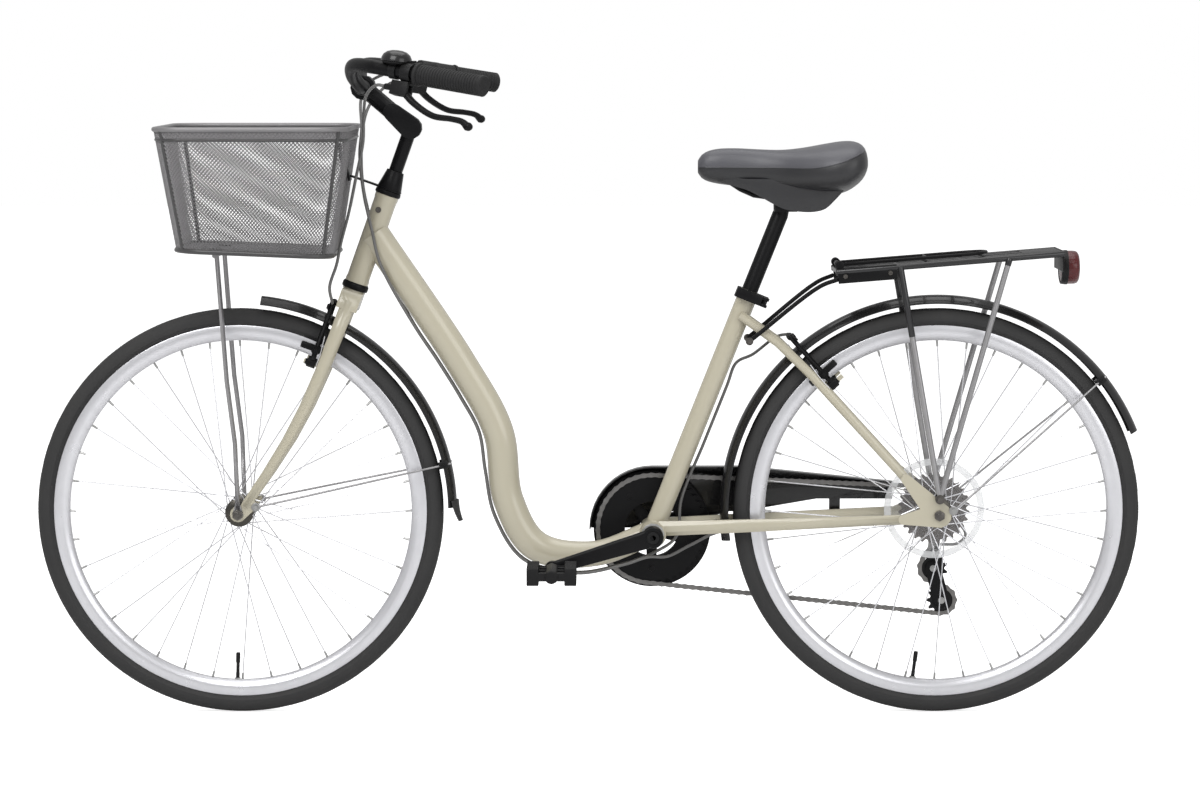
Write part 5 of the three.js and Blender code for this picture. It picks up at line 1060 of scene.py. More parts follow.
def grip_outline(length, ribs):
    """Ribbed sleeve with an end flange and a closed end, its places counted from the bar's end"""
    radius, valley, bore = GRIP_RADIUS, GRIP_RADIUS - 0.0010, 0.0116
    outline = [(bore, -length), (radius + 0.0018, -length)]
    outline += [(radius + 0.0024, -length + 0.002), (radius + 0.0018, -length + 0.0045)]
    span = length - 0.014
    step = span / ribs
    for k in range(ribs):
        x = -length + 0.006 + span * k / ribs
        outline += [(valley, x), (valley, x + step * 0.25)]
        outline += [(radius, x + step * 0.40), (radius, x + step * 0.85)]
    outline += [(radius - 0.0006, -0.008), (radius, -0.006), (radius, -0.002), (radius - 0.002, -0.0002)]
    return outline + [(0.0, 0.0), (0.0, -0.0035), (bore, -0.0035)]


def make_grips():
    grips = ((-1, "left_grip", 0.125, sizes().grip_ribs), (1, "right_grip", 0.086, 14))
    for side, name, length, ribs in grips:
        ob = spun(grip_outline(length, ribs), to_side(BAR_END, side), 40, to_side(GRIP_LINE, side))
        finished(ob, name + "_rubber", "bars", "grip", [name], 35)
    outline = [(0.0118, -0.1243), (0.0172, -0.1243), (0.0180, -0.1230), (0.0180, -0.1170), (0.0172, -0.1158)]
    for k in range(9):
        x = -0.1150 + k * 0.0030
        outline += [(0.0168, x), (0.0176, x + 0.0008), (0.0176, x + 0.0020)]
    outline += [(0.0170, -0.0870), (0.0118, -0.0866)]
    drum = spun(outline, BAR_END, 48, GRIP_LINE)
    finished(drum, "twist_shifter_drum", "shifter", "grip", ["twist_shifter"], 35)


def make_brake_levers():
    half = [(0.0, -0.0072), (0.0042, -0.0060), (0.0064, -0.0028)]
    x, z = LEVER_LINE[0]
    points = [Vector((along, 0, up)) for along, up in LEVER_LINE]
    for side, name in BOTH_SIDES:
        dressed(name + "_brake_bracket", "plastic", 0.0010, 40)
        lever_at = bar_end_frame(side)
        blade = pipe(points, 0.0052, 16, 8, [1.15, 1.05, 0.95, 0.9, 0.95, 1.25])
        for vertex in blade.data.vertices:
            vertex.co.y *= 1.25
        boss = bar((x, -0.0048, z), (x, 0.0048, z), 0.0070, edge=0.0008)
        ball = spun(half + [(0.0068, 0.0)] + mirrored(half), (-0.012, 0, -0.0655), 20, (1, 0, 0))
        lever = joined([blade, boss, ball])
        lever.data.transform(lever_at)
        finished(lever, name + "_lever_blade", name + "_lever", "satin", [name + "_brake_lever"], 40)
        screw = round_head((x, 0.0098, z), (0, 1, 0), 0.0040, 0.0022)
        screw.data.transform(lever_at)
        finished(screw, name + "_lever_screw", "bars", "zinc")


def make_bell():
    """A domed bell on the left of the bar, with its striker"""
    outward = to_side(GRIP_LINE, -1)
    spot = to_side(BAR_END, -1) - outward * 0.168
    up = Vector((0.10, 0.0, 1.0)).normalized()
    base = spot + up * 0.0105
    shell = [
        (0.0, 0.0215), (0.008, 0.0210), (0.0155, 0.0188), (0.0210, 0.0145), (0.0238, 0.0088),
        (0.0242, 0.0040),
        (0.0234, 0.0040), (0.0230, 0.0084), (0.0202, 0.0138), (0.0148, 0.0178), (0.0076, 0.0199),
        (0.0, 0.0204),
    ]
    finished(spun(shell, base, 48, up), "bell_dome", "bars", "black", angle=30)
    dish = [
        (0.0, -0.002), (0.0110, -0.002), (0.0215, 0.0010), (0.0225, 0.0032), (0.0100, 0.0050), (0.0, 0.0050),
    ]
    foot = spun(dish, base, 32, up)
    strap = [(BAR_RADIUS, -0.0065), (0.0135, -0.0065)]
    band = spun(strap + mirrored(strap), spot, 32, outward)
    thumb = slab((0.018, 0.006, 0.004), placed(base + Vector((0.024, -0.012, 0.003)), -0.5, "Z"), 0.0012)
    finished(joined([foot, band, thumb]), "bell_foot", "bars", "plastic", angle=35)


# Basket: the place of its front and back, half its width, and the heights of its front and back

BASKET_TOP = (-0.790, -0.483, 0.180, 0.658, 0.658)
BASKET_FLOOR = (-0.760, -0.512, 0.138, 0.466, 0.456)
BASKET_CORNER = 0.045
RING_STEPS = 120


def basket_level(level):
    """The basket's outline at a level from 0, the floor, to 1, the rim"""
    return [low + (high - low) * level for low, high in zip(BASKET_FLOOR, BASKET_TOP)]


def basket_ring(level, count, shrink=0.0):
    """Points evenly round the basket at a level"""
    front, back, half, front_z, back_z = basket_level(level)
    front, back, half, corner = front + shrink, back - shrink, half - shrink, BASKET_CORNER - shrink
    outline = []
    for x, y, turn in ((back, half, 0), (front, half, 1), (front, -half, 2), (back, -half, 3)):
        inner_x = x - math.copysign(corner, x - (front + back) / 2)
        inner_y = y - math.copysign(corner, y)
        for k in range(9):
            angle = (turn + k / 8) * math.pi / 2
            spot = Vector((inner_x, inner_y, 0.0))
            outline.append(spot + Vector((corner * math.cos(angle), corner * math.sin(angle), 0.0)))
    lengths = [(after - spot).length for spot, after in zip(outline, outline[1:] + outline[:1])]
    total, points, place, edge = sum(lengths), [], 0.0, 0
    for k in range(count):
        goal = total * k / count
        while place + lengths[edge] < goal:
            place += lengths[edge]
            edge += 1
        spot = outline[edge].lerp(outline[(edge + 1) % len(outline)], (goal - place) / lengths[edge])
        spot.z = front_z + (back_z - front_z) * ((spot.x - front) / (back - front))
        points.append(spot)
    return points


def basket_corner(level, place):
    """The middle of a rounded corner of the basket at a level"""
    front, back, half, front_z, back_z = basket_level(level)
    turn, corner = math.tau * place, BASKET_CORNER
    x = (back - corner if math.cos(turn) > 0 else front + corner) + corner * math.cos(turn)
    y = math.copysign(half - corner, math.sin(turn)) + corner * math.sin(turn)
    return Vector((x, y, front_z + (back_z - front_z) * (x - front) / (back - front)))


def diamonds(ob):
    """Turns a grid of squares into a mesh of diamond wires"""
    count = len(ob.data.vertices)
    edit_all(ob)
    bpy.ops.mesh.poke()
    bpy.ops.mesh.select_all(action="DESELECT")
    mesh = bmesh.from_edit_mesh(ob.data)
    for edge in mesh.edges:
        edge.select = all(v.index < count for v in edge.verts) and len(edge.link_faces) == 2
    bmesh.update_edit_mesh(ob.data)
    bpy.ops.mesh.dissolve_edges(use_verts=False)
    bpy.ops.object.mode_set(mode="OBJECT")
    wires = ob.modifiers.new("wires", "WIREFRAME")
    wires.thickness = sizes().mesh_wire
    wires.use_even_offset = False
    wires.use_replace = True
    bpy.ops.object.modifier_apply(modifier=wires.name)
    return ob


def basket_floor(cell):
    """A grid of squares that fills the floor up to its rounded corners"""
    front, back, half, front_z, back_z = BASKET_FLOOR
    reach_x, reach_y, corner = (back - front) / 2, half, BASKET_CORNER
    deselect()
    along, across = int((back - front) / cell), int((half * 2) / cell)
    bpy.ops.mesh.primitive_grid_add(x_subdivisions=along, y_subdivisions=across, size=1.0)
    floor = bpy.context.object
    for vertex in floor.data.vertices:
        x, y = vertex.co.x * 2 * reach_x, vertex.co.y * 2 * reach_y
        over_x, over_y = abs(x) - (reach_x - corner), abs(y) - (reach_y - corner)
        if over_x > 0 and over_y > 0:
            pull = max(over_x, over_y) / math.hypot(over_x, over_y)
            x = math.copysign(reach_x - corner + over_x * pull, x)
            y = math.copysign(reach_y - corner + over_y * pull, y)
        share = x / (reach_x * 2) + 0.5
        vertex.co = ((front + back) / 2 + x, y, front_z + (back_z - front_z) * share)
    return floor


def basket_bracket():
    """The plates that hold the basket to the headset"""
    back_lean = -0.142
    head = Matrix.Translation(STEER_FOOT) @ axes(Vector((STEER_UP.z, 0, -STEER_UP.x)), ACROSS, STEER_UP)
    shelf = slab((0.066, 0.022, 0.0030), head @ placed((-0.0445, 0, 0.5737)), 0.0008)
    washer = [(0.0131, 0.5724), (0.0205, 0.5724), (0.0205, 0.5750), (0.0131, 0.5750)]
    eye = spun(washer, STEER_FOOT, 48, STEER_UP)
    outer = slab((0.0035, 0.050, 0.072), placed((-0.4945, 0, 0.6080), back_lean), 0.0012)
    inner = slab((0.0025, 0.060, 0.050), placed((-0.5030, 0, 0.6080), back_lean), 0.0010)
    return joined([shelf, eye, outer, inner])


def make_basket():
    cell = sizes().mesh_cell
    around, rows = int(1.20 / cell), int(0.196 / cell)
    wall = lofted([basket_ring(j / rows, around) for j in range(rows + 1)], closed_ends=False)
    finished(diamonds(wall), "basket_wall_mesh", "steering", "mesh", ["basket"], 60)
    finished(diamonds(basket_floor(cell)), "basket_floor_mesh", "steering", "mesh", angle=60)

    rim = pipe(basket_ring(1.0, RING_STEPS), 0.0040, 12, 0, closed=True)
    faces = ((0.925, 0.0), (0.995, 0.0), (0.995, 0.0012), (0.925, 0.0012))
    strip = lofted([basket_ring(level, RING_STEPS, shrink) for level, shrink in faces], endless=True)
    finished(joined([rim, strip]), "basket_rim", "steering", "mesh", angle=60)
    edges = []
    for level, radius in ((0.915, 0.0024), (0.0, 0.0042)):
        edges.append(pipe(basket_ring(level, RING_STEPS), radius, 12, 0, closed=True))
    for place in (0.125, 0.375, 0.625, 0.875):
        edges.append(pipe([basket_corner(k / 6, place) for k in range(7)], 0.0030, 12, 2))
    finished(joined(edges), "basket_edges", "steering", "rim_grey", angle=60)
    finished(basket_bracket(), "basket_bracket", "steering", "satin")
    spots = [(-0.4925, y, z) for y in (-0.016, 0.016) for z in (0.590, 0.626)]
    heads = [round_head(spot, (1, 0, 0.14), 0.0045, 0.0026) for spot in spots]
    finished(joined(heads), "basket_screws", "steering", "zinc")


def make_basket_legs():
    dressed("basket_legs", "leg", angle=60)
    clips = [slab((0.022, 0.020, 0.008), placed((-0.700, y, 0.4612), 0.04), 0.0015) for y in (-0.063, 0.063)]
    finished(joined(clips), "basket_leg_clips", "steering", "plastic")


# Saddle

# Shares of its length, width, and height over its lowest point for its top and its bottom
SADDLE_SHARES = [
    (0.0, 0.10, 0.62, 0.42), (0.025, 0.19, 0.75, 0.30), (0.10, 0.245, 0.84, 0.22), (0.22, 0.27, 0.86, 0.17),
    (0.36, 0.33, 0.84, 0.13), (0.50, 0.50, 0.83, 0.06), (0.63, 0.76, 0.87, 0.02), (0.76, 0.96, 0.94, 0.0),
    (0.87, 1.0, 0.99, 0.05), (0.95, 0.92, 0.97, 0.20), (0.99, 0.72, 0.86, 0.36), (1.0, 0.50, 0.72, 0.48),
]
SADDLE_NOSE = 0.072
SADDLE_LENGTH = 0.272
SADDLE_TOP = 0.637
SADDLE_DEPTH = 0.088
SADDLE_HALF = 0.103

# Places along the skirt, with its half width, top and bottom
SKIRT_TABLE = [
    (0.104, 0.0160, 0.5800, 0.5715), (0.130, 0.0230, 0.5780, 0.5640), (0.151, 0.0300, 0.5760, 0.5580),
    (0.175, 0.0360, 0.5760, 0.5460), (0.193, 0.0400, 0.5760, 0.5360), (0.212, 0.0450, 0.5770, 0.5275),
    (0.235, 0.0520, 0.5770, 0.5240), (0.258, 0.0580, 0.5780, 0.5240), (0.276, 0.0600, 0.5800, 0.5290),
    (0.292, 0.0600, 0.5820, 0.5440), (0.305, 0.0580, 0.5840, 0.5580), (0.314, 0.0550, 0.5860, 0.5670),
]


def saddle_share(along):
    """Width, top and bottom of the saddle at a share of its length, on a smooth curve through the table"""
    table = SADDLE_SHARES
    i = next((k for k in range(1, len(table)) if table[k][0] >= along), len(table) - 1)
    a, b = table[i - 1], table[i]
    before, after = table[max(i - 2, 0)], table[min(i + 1, len(table) - 1)]
    span = b[0] - a[0]
    t = (along - a[0]) / span
    values = []
    for c in (1, 2, 3):
        rise_a = (b[c] - before[c]) / max(b[0] - before[0], 1e-6) * span
        rise_b = (after[c] - a[c]) / max(after[0] - a[0], 1e-6) * span
        near = (2 * t ** 3 - 3 * t * t + 1) * a[c] + (t ** 3 - 2 * t * t + t) * rise_a
        values.append(near + (3 * t * t - 2 * t ** 3) * b[c] + (t ** 3 - t * t) * rise_b)
    return values


def saddle_ring(along, count=56):
    wide, high, low = saddle_share(along)
    top, bottom = SADDLE_TOP - SADDLE_DEPTH * (1 - high), SADDLE_TOP - SADDLE_DEPTH * (1 - low)
    waist = bottom + (top - bottom) * 0.45
    ring = []
    for j in range(count):
        turn = math.tau * (j + 0.5) / count
        c, s = math.cos(turn), math.sin(turn)
        y = SADDLE_HALF * wide * math.copysign(abs(c) ** (0.7 if s > 0 else 1.1), c)
        z = waist + (top - waist) * s ** 0.8 if s > 0 else waist + (bottom - waist) * abs(s) ** 0.9
        ring.append(Vector((SADDLE_NOSE + SADDLE_LENGTH * along, y, z)))
    return ring


def saddle_skirt():
    """The hollow shell under the saddle, open below, with room for the rails and the clamp"""
    wall, rings = 0.0028, []
    curves = [smooth_path([Vector((row[0], row[c], 0.0)) for row in SKIRT_TABLE], 4) for c in (1, 2, 3)]
    for wide, high, low in zip(*curves):
        half, top, bottom = wide.y, high.y, low.y
        inner, middle = half - wall, top * 0.5 + bottom * 0.5
        outline = [
            (-half, top), (-half * 1.02, middle), (-half * 0.96, bottom + 0.003), (-half * 0.93, bottom),
            (-inner * 0.92, bottom + 0.0005), (-inner * 0.93, bottom + 0.004), (-inner, middle),
            (-inner, top - wall),
        ]
        outline += [(-y, z) for y, z in reversed(outline)]
        rings.append([Vector((wide.x, y, z)) for y, z in outline])
    return lofted(rings)


def on_seam(ring):
    """The place where half a ring of the saddle crosses the seam"""
    seam = seam_height(ring[0].x)
    spot = min(ring, key=lambda p: abs(p.z - seam))
    beyond = [p for p in ring if (p.z - seam) * (spot.z - seam) < 0]
    if beyond and abs(spot.z - seam) > 1e-6:
        other = min(beyond, key=lambda p: abs(p.z - seam))
        spot = spot.lerp(other, (seam - spot.z) / (other.z - spot.z))
    return Vector((spot.x, spot.y * 0.996, spot.z))


def make_saddle():
    shares = [0.0, 0.008, 0.022, 0.045]
    shares += [0.07 + 0.86 * k / 40 for k in range(41)]
    shares += [0.955, 0.972, 0.985, 0.994, 1.0]
    cover = lofted([saddle_ring(share) for share in shares])
    pick(cover)
    rounding = cover.modifiers.new("rounding", "SMOOTH")
    rounding.factor = 0.5
    rounding.iterations = 4
    bpy.ops.object.modifier_apply(modifier=rounding.name)
    finished(cover, "saddle_cover_padded", "saddle", "saddle", ["saddle_cover"], 60)

    piping = []
    for side in (-1, 1):
        line = [on_seam([spot for spot in saddle_ring(share) if spot.y * side > 0]) for share in shares[3:-3]]
        piping.append(pipe(line, 0.0011, 8, 1))
    finished(joined(piping), "saddle_piping", "saddle", "saddle")
    finished(saddle_skirt(), "saddle_skirt", "saddle", "saddle", angle=35)
    dressed("saddle_rails", "satin", angle=60)
    dressed("saddle_clamp", "satin", 0.0010)
    nuts = [hex_head((0.2141, 0.0273 * side, 0.5380), (0, side, 0), 0.012, 0.005) for side in (-1, 1)]
    finished(joined(nuts), "saddle_clamp_nuts", "saddle", "zinc", angle=30)
    dressed("seat_post", "satin", angle=40)
    dressed("seat_collar", "satin", 0.0006)
    dressed("quick_release_lever", "satin", 0.0010)


# Drive

CRANK_LENGTH = 0.170
CRANK_TURNS = {-1: math.radians(197), 1: math.radians(17)}
CHAIN_PITCH = 0.0127
CHAIN_LINE_FRONT = 0.044
CHAIN_LINE_REAR = 0.0535
GUIDE_PULLEY = Vector((0.462, 0.0, -0.066))
TENSION_PULLEY = Vector((0.476, 0.0, -0.119))
DERAILLEUR_PIVOT = Vector((0.468, 0.0, 0.007))

# The wheels that the chain passes, with the radius of its line and the way that it turns on them,
# then the parts of its run over each wheel and after it
CHAIN_WHEELS = (
    (CRANK_AXLE, 0.0890, -1, "frame", "frame"),
    (REAR_AXLE, 0.03255, -1, "frame", "inner"),
    (GUIDE_PULLEY, 0.02254, 1, "cage", "cage"),
    (TENSION_PULLEY, 0.02254, -1, "cage", "lower"),
)


def toothed(teeth, y, thickness, bore, centre=CRANK_AXLE):
    """A toothed disc across the bike, with a hole"""
    roller = 0.0039
    radius = CHAIN_PITCH / (2 * math.sin(math.pi / teeth))
    shape = (
        (0.0, -1.0), (0.16, -0.85), (0.28, -0.2), (0.40, 0.50), (0.60, 0.50), (0.72, -0.2), (0.84, -0.85),
    )
    rings = [[], [], [], []]
    for k in range(teeth):
        for share, reach in shape:
            turn = math.tau * (k + share) / teeth
            edge = radius + roller * reach
            for ring, size, side in zip(rings, (edge, edge, bore, bore), (-0.5, 0.5, 0.5, -0.5)):
                ring.append(centre + in_plane(size, turn, y + side * thickness))
    return lofted(rings, endless=True)


def touch_angle(first, second):
    """The angle of the touching points of a straight run between two wheels"""
    step = second[0] - first[0]
    span = math.hypot(step.x, step.z)
    share = (first[2] * first[1] - second[2] * second[1]) / span
    rest = math.sqrt(1 - share * share)
    return math.atan2((step.z * share - step.x * rest) / span, (step.x * share + step.z * rest) / span)


def chain_path():
    """Pins of the chain at an even pitch, each with the part of the run it lies in"""
    line, parts = [], []
    for i, wheel in enumerate(CHAIN_WHEELS):
        before, after = CHAIN_WHEELS[i - 1], CHAIN_WHEELS[(i + 1) % len(CHAIN_WHEELS)]
        centre, radius, way, on_wheel, beyond = wheel
        flip = 0.0 if way > 0 else math.pi
        start, end = touch_angle(before, wheel) + flip, touch_angle(wheel, after) + flip
        sweep = way * (((end - start) * way) % math.tau)
        line += [centre + in_plane(radius, start + sweep * k / 64) for k in range(65)]
        parts += [on_wheel] * 64 + [beyond]
    line.append(line[0])
    lengths = [(b - a).length for a, b in zip(line, line[1:])]
    count = round(sum(lengths) / CHAIN_PITCH / 2) * 2
    pitch, pins, place, edge = sum(lengths) / count, [], 0.0, 0
    for k in range(count):
        while place + lengths[edge] < pitch * k:
            place += lengths[edge]
            edge += 1
        spot = line[edge].lerp(line[edge + 1], (pitch * k - place) / lengths[edge])
        share = min(max((spot.x - 0.0567) / 0.3476, 0.0), 1.0)
        spot.y = CHAIN_LINE_FRONT + (CHAIN_LINE_REAR - CHAIN_LINE_FRONT) * share
        pins.append((spot, parts[edge]))
    return pins


def link_plate(y):
    """An eight-shaped plate, flat across the bike and long in X"""
    length, height, thick = CHAIN_PITCH, 0.0080, 0.0010
    outline = []
    for side in (1, -1):
        for k in range(9):
            turn = math.pi * (k / 8 - side / 2)
            outline.append((side * length / 2 + height / 2 * math.cos(turn), height / 2 * math.sin(turn)))
        outline.append((0.0, side * height * 0.36))
    return lofted([[Vector((x, y + side * thick / 2, z)) for x, z in outline] for side in (-1, 1)])


def make_chain():
    """Inner and outer links with rollers and pins, in the parts that follow the frame and the cage"""
    links = []
    for reach, radius, half in ((0.00300, 0.0019, 0.0039), (0.00195, 0.0039, 0.0015)):
        pieces = [link_plate(reach), link_plate(-reach)]
        for x in (-CHAIN_PITCH / 2, CHAIN_PITCH / 2):
            pieces.append(bar((x, -half, 0.0), (x, half, 0.0), radius, 12))
        links.append(joined(pieces))
    pins = chain_path()
    parts = {"frame": [], "inner": [], "cage": [], "lower": []}
    for i, (spot, part) in enumerate(pins):
        following = pins[(i + 1) % len(pins)][0]
        along = (following - spot).normalized()
        rise = along.cross(ACROSS).normalized()
        matrix = Matrix.Translation((spot + following) / 2) @ axes(along, rise.cross(along), rise)
        parts[part].append(copied(links[i % 2], matrix))
    for link in links:
        bpy.data.objects.remove(link)
    for part, pieces in parts.items():
        body = part if part in ("frame", "cage") else ""
        nodes = ["chain"] if part == "frame" else ()
        ob = finished(joined(pieces), "chain_" + part + "_run", body, "chain", nodes, 40)
        if part == "inner":
            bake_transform(ob)
        elif part == "lower":
            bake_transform(ob)


def crank_side(side):
    """A crank arm with its boss, pedal eye and pedal axle"""
    middle = ACROSS * (0.0705 * side)
    tip = in_plane(CRANK_LENGTH, CRANK_TURNS[side])
    arm = rounded_arm(middle, tip + middle, (0.0150, 0.0102), (0.0064, 0.0054))
    boss = [
        (0.0, 0.050), (0.0158, 0.050), (0.0170, 0.0515), (0.0172, 0.0740), (0.0160, 0.0768), (0.0112, 0.0772),
        (0.0108, 0.0760), (0.0, 0.0760),
    ]
    eye = [
        (0.0, 0.0642), (0.0108, 0.0642), (0.0120, 0.0654), (0.0120, 0.0756), (0.0108, 0.0768),
        (0.0066, 0.0768),
        (0.0066, 0.0840), (0.0052, 0.0846), (0.0050, 0.165), (0.0, 0.166),
    ]
    return [arm, spun(boss, CRANK_AXLE, 40, (0, side, 0)), spun(eye, tip, 32, (0, side, 0))]


def chainring_spider():
    """The guard ring of the chainring, and the five arms and bolts that hold both"""
    guard = [
        (0.0445, 0.0502), (0.0455, 0.0498), (0.0880, 0.0500), (0.0945, 0.0496), (0.0958, 0.0504),
        (0.0960, 0.0514),
        (0.0952, 0.0524), (0.0935, 0.0527), (0.0870, 0.0519), (0.0455, 0.0519), (0.0445, 0.0516),
    ]
    obs = [spun(guard, CRANK_AXLE, 120)]
    arms, middle = 5, ACROSS * 0.0522
    for k in range(arms):
        spot = in_plane(0.065, CRANK_TURNS[1] + math.tau * (k + 0.5) / arms)
        obs.append(rounded_arm(middle, spot + middle, (0.0110, 0.0070), (0.0016, 0.0016), 6, 16))
        obs.append(bar(spot + ACROSS * 0.0420, spot + ACROSS * 0.0548, 0.0048, edge=0.0006))
    return obs


def make_cranks():
    spindle = bar((0.0, -0.060, 0.0), (0.0, 0.070, 0.0), 0.0079)
    finished(joined([*crank_side(-1), spindle]), "left_crank_arm", "cranks", "satin", ["left_crank"], 35)
    right = joined(crank_side(1) + chainring_spider())
    finished(right, "right_crank_arm", "cranks", "satin", ["right_crank"], 35)
    ring = toothed(44, CHAIN_LINE_FRONT, 0.0020, 0.0450)
    finished(ring, "chainring_teeth", "cranks", "satin", angle=30)
    cap = [
        (0.0, 0.0760), (0.0040, 0.0760), (0.0046, 0.0775), (0.0100, 0.0775), (0.0106, 0.0766),
        (0.0106, 0.0755),
        (0.0, 0.0755),
    ]
    for side, name in BOTH_SIDES:
        finished(spun(cap, CRANK_AXLE, 32, (0, side, 0)), name + "_crank_cap", "cranks", "plastic", angle=30)


def make_pedals():
    """Both pedals with ribbed treads and an end cap"""
    cap = [(0.0, 0.1775), (0.0102, 0.1775), (0.0106, 0.1790), (0.0086, 0.1806), (0.0, 0.1810)]
    for side, name in BOTH_SIDES:
        body = name + "_pedal_body"
        dressed(name + "_pedal", "plastic", 0.0015)
        centre = in_plane(CRANK_LENGTH, CRANK_TURNS[side])
        ribs = []
        for x in (-0.030, 0.030):
            for k in range(9):
                spot = centre + Vector((x, (0.0890 + 0.0105 * k) * side, 0.0))
                ribs.append(slab((0.0192, 0.0034, 0.0284), placed(spot), 0.0010, 1))
        for k in range(3):
            spot = centre + ACROSS * (0.1000 + 0.031 * k) * side
            ribs.append(slab((0.060, 0.0040, 0.0120), placed(spot), 0.0010, 1))
        finished(joined(ribs), name + "_pedal_ribs", body, "plastic", angle=35)
        finished(spun(cap, centre, 24, (0, side, 0)), name + "_pedal_cap", body, "plastic", angle=30)


def make_freewheel():
    """Six cogs on the freewheel's body"""
    teeth = (28, 24, 20, 18, 16, 14)
    cogs = [toothed(count, 0.0315 + 0.0055 * k, 0.0020, 0.0176, REAR_AXLE) for k, count in enumerate(teeth)]
    barrel = [(0.0155, 0.0300), (0.0182, 0.0300), (0.0182, 0.0595), (0.0170, 0.0602), (0.0155, 0.0602)]
    cogs.append(spun(barrel, REAR_AXLE, 40))
    finished(joined(cogs), "freewheel_cogs", "sprockets", "cogs", ["freewheel"], 30)


def make_derailleur():
    """The two toothed pulleys with their bolts, the cage, and the links and spring above it"""
    barrel = [
        (0.0030, 0.0499), (0.0066, 0.0499), (0.0080, 0.0508), (0.0080, 0.0562), (0.0066, 0.0571),
        (0.0030, 0.0571),
    ]
    for name, centre in (("guide", GUIDE_PULLEY), ("tension", TENSION_PULLEY)):
        pulley = joined([toothed(11, CHAIN_LINE_REAR, 0.0022, 0.0040, centre), spun(barrel, centre, 28)])
        finished(pulley, name + "_pulley_teeth", name + "_wheel", "plastic", [name + "_pulley"], 30)
        ends = ((0.0592, 1), (0.0477, -1))
        bolts = [hex_head(centre + ACROSS * y, (0, way, 0), 0.0070, 0.0026) for y, way in ends]
        finished(joined(bolts), name + "_pulley_bolt", "cage", "zinc", angle=30)
    dressed("derailleur_cage", "satin", 0.0005)
    upper = [
        (0.0, 0.0712), (0.0112, 0.0712), (0.0122, 0.0722), (0.0122, 0.0776), (0.0108, 0.0790),
        (0.0050, 0.0790),
        (0.0046, 0.0776), (0.0, 0.0776),
    ]
    lower = [
        (0.0, 0.0600), (0.0116, 0.0600), (0.0124, 0.0610), (0.0124, 0.0748), (0.0110, 0.0760), (0.0, 0.0760),
    ]
    obs = [spun(upper, DERAILLEUR_PIVOT, 36), spun(lower, GUIDE_PULLEY, 36)]
    for x in (-0.0050, 0.0050):
        start, end = DERAILLEUR_PIVOT + Vector((x, 0.0725, -0.006)), GUIDE_PULLEY + Vector((x, 0.0725, 0.006))
        obs.append(rounded_arm(start, end, (0.0046, 0.0042), (0.0026, 0.0026), 6, 16))
    finished(joined(obs), "derailleur_links", "frame", "satin", ["derailleur_body"], 35)
    coil = []
    for k in range(52):
        turn = k * 0.9
        x, y = 0.4675 + 0.0040 * math.cos(turn), 0.0680 + 0.0030 * math.sin(turn)
        coil.append(Vector((x, y, -0.004 - 0.0010 * k)))
    finished(pipe(coil, 0.0007, 8, 0), "derailleur_spring", "frame", "zinc", angle=60)
    bolt = round_head(DERAILLEUR_PIVOT + ACROSS * 0.0776, (0, 1, 0), 0.0050, 0.0024)
    finished(bolt, "hanger_bolt", "frame", "zinc", angle=30)


def make_drive():
    make_cranks()
    make_pedals()
    make_freewheel()
    make_derailleur()
    make_chain()
    dressed("chain_guard", "black", 0.0005)


# Brakes

BRAKE_RADIUS = 0.270
PAD_SPOT = (0.0184, 0.022)
WIRE_HEIGHT = 0.1005


def brake_pad(middle, way):
    """A rubber pad with five ribs across it"""
    y, z = PAD_SPOT
    rubber = slab((0.0545, 0.0076, 0.0108), placed((middle, y * way, z)), 0.0020, 3)
    for k in range(5):
        rib = slab((0.0016, 0.0078, 0.0112), placed((middle - 0.020 + 0.010 * k, y * way, z)), 0.0004, 1)
        rubber = joined([rubber, rib])
    return rubber


def brake_bolts(middle, pivot, way):
    """The pad's holder and stud, and the bolts of the pad, the pivot and the wire"""
    return joined([
        slab((0.0480, 0.0030, 0.0086), placed((middle, 0.0234 * way, 0.022)), 0.0010),
        bar((middle, 0.024 * way, 0.022), (middle, 0.052 * way, 0.022), 0.0030, 16),
        hex_head((middle, 0.0440 * way, 0.022), (0, way, 0), 0.010, 0.0050),
        hex_head((middle + 0.0072, pivot * way, 0.0), (1, 0, 0), 0.009, 0.0035),
        hex_head((middle + 0.0040, 0.0320 * way, 0.0945), (1, 0, 0), 0.008, 0.0032),
    ])


def brake_spring(middle, pivot, way):
    points = [
        (middle - 0.0085, (pivot + 0.0045) * way, -0.002),
        (middle - 0.0088, (pivot + 0.0060) * way, 0.018),
        (middle - 0.0060, (pivot + 0.0030) * way, 0.048),
    ]
    return pipe(points, 0.0009, 8, 6)


def brake_wire(middle, way):
    return bar((middle, 0.0148 * way, WIRE_HEIGHT), (middle, 0.0335 * way, WIRE_HEIGHT), 0.0008, 8)


def brake_boot(middle):
    """A hollow pleated boot over the gap between both arms"""
    folds = [(0.0036, -0.0160)]
    for k in range(7):
        folds += [(0.0056, -0.0148 + 0.0043 * k), (0.0043, -0.0128 + 0.0043 * k)]
    folds += [(0.0036, 0.0160), (0.0034, 0.0080), (0.0034, -0.0080)]
    return spun(folds, (middle, 0.0, WIRE_HEIGHT), 20)


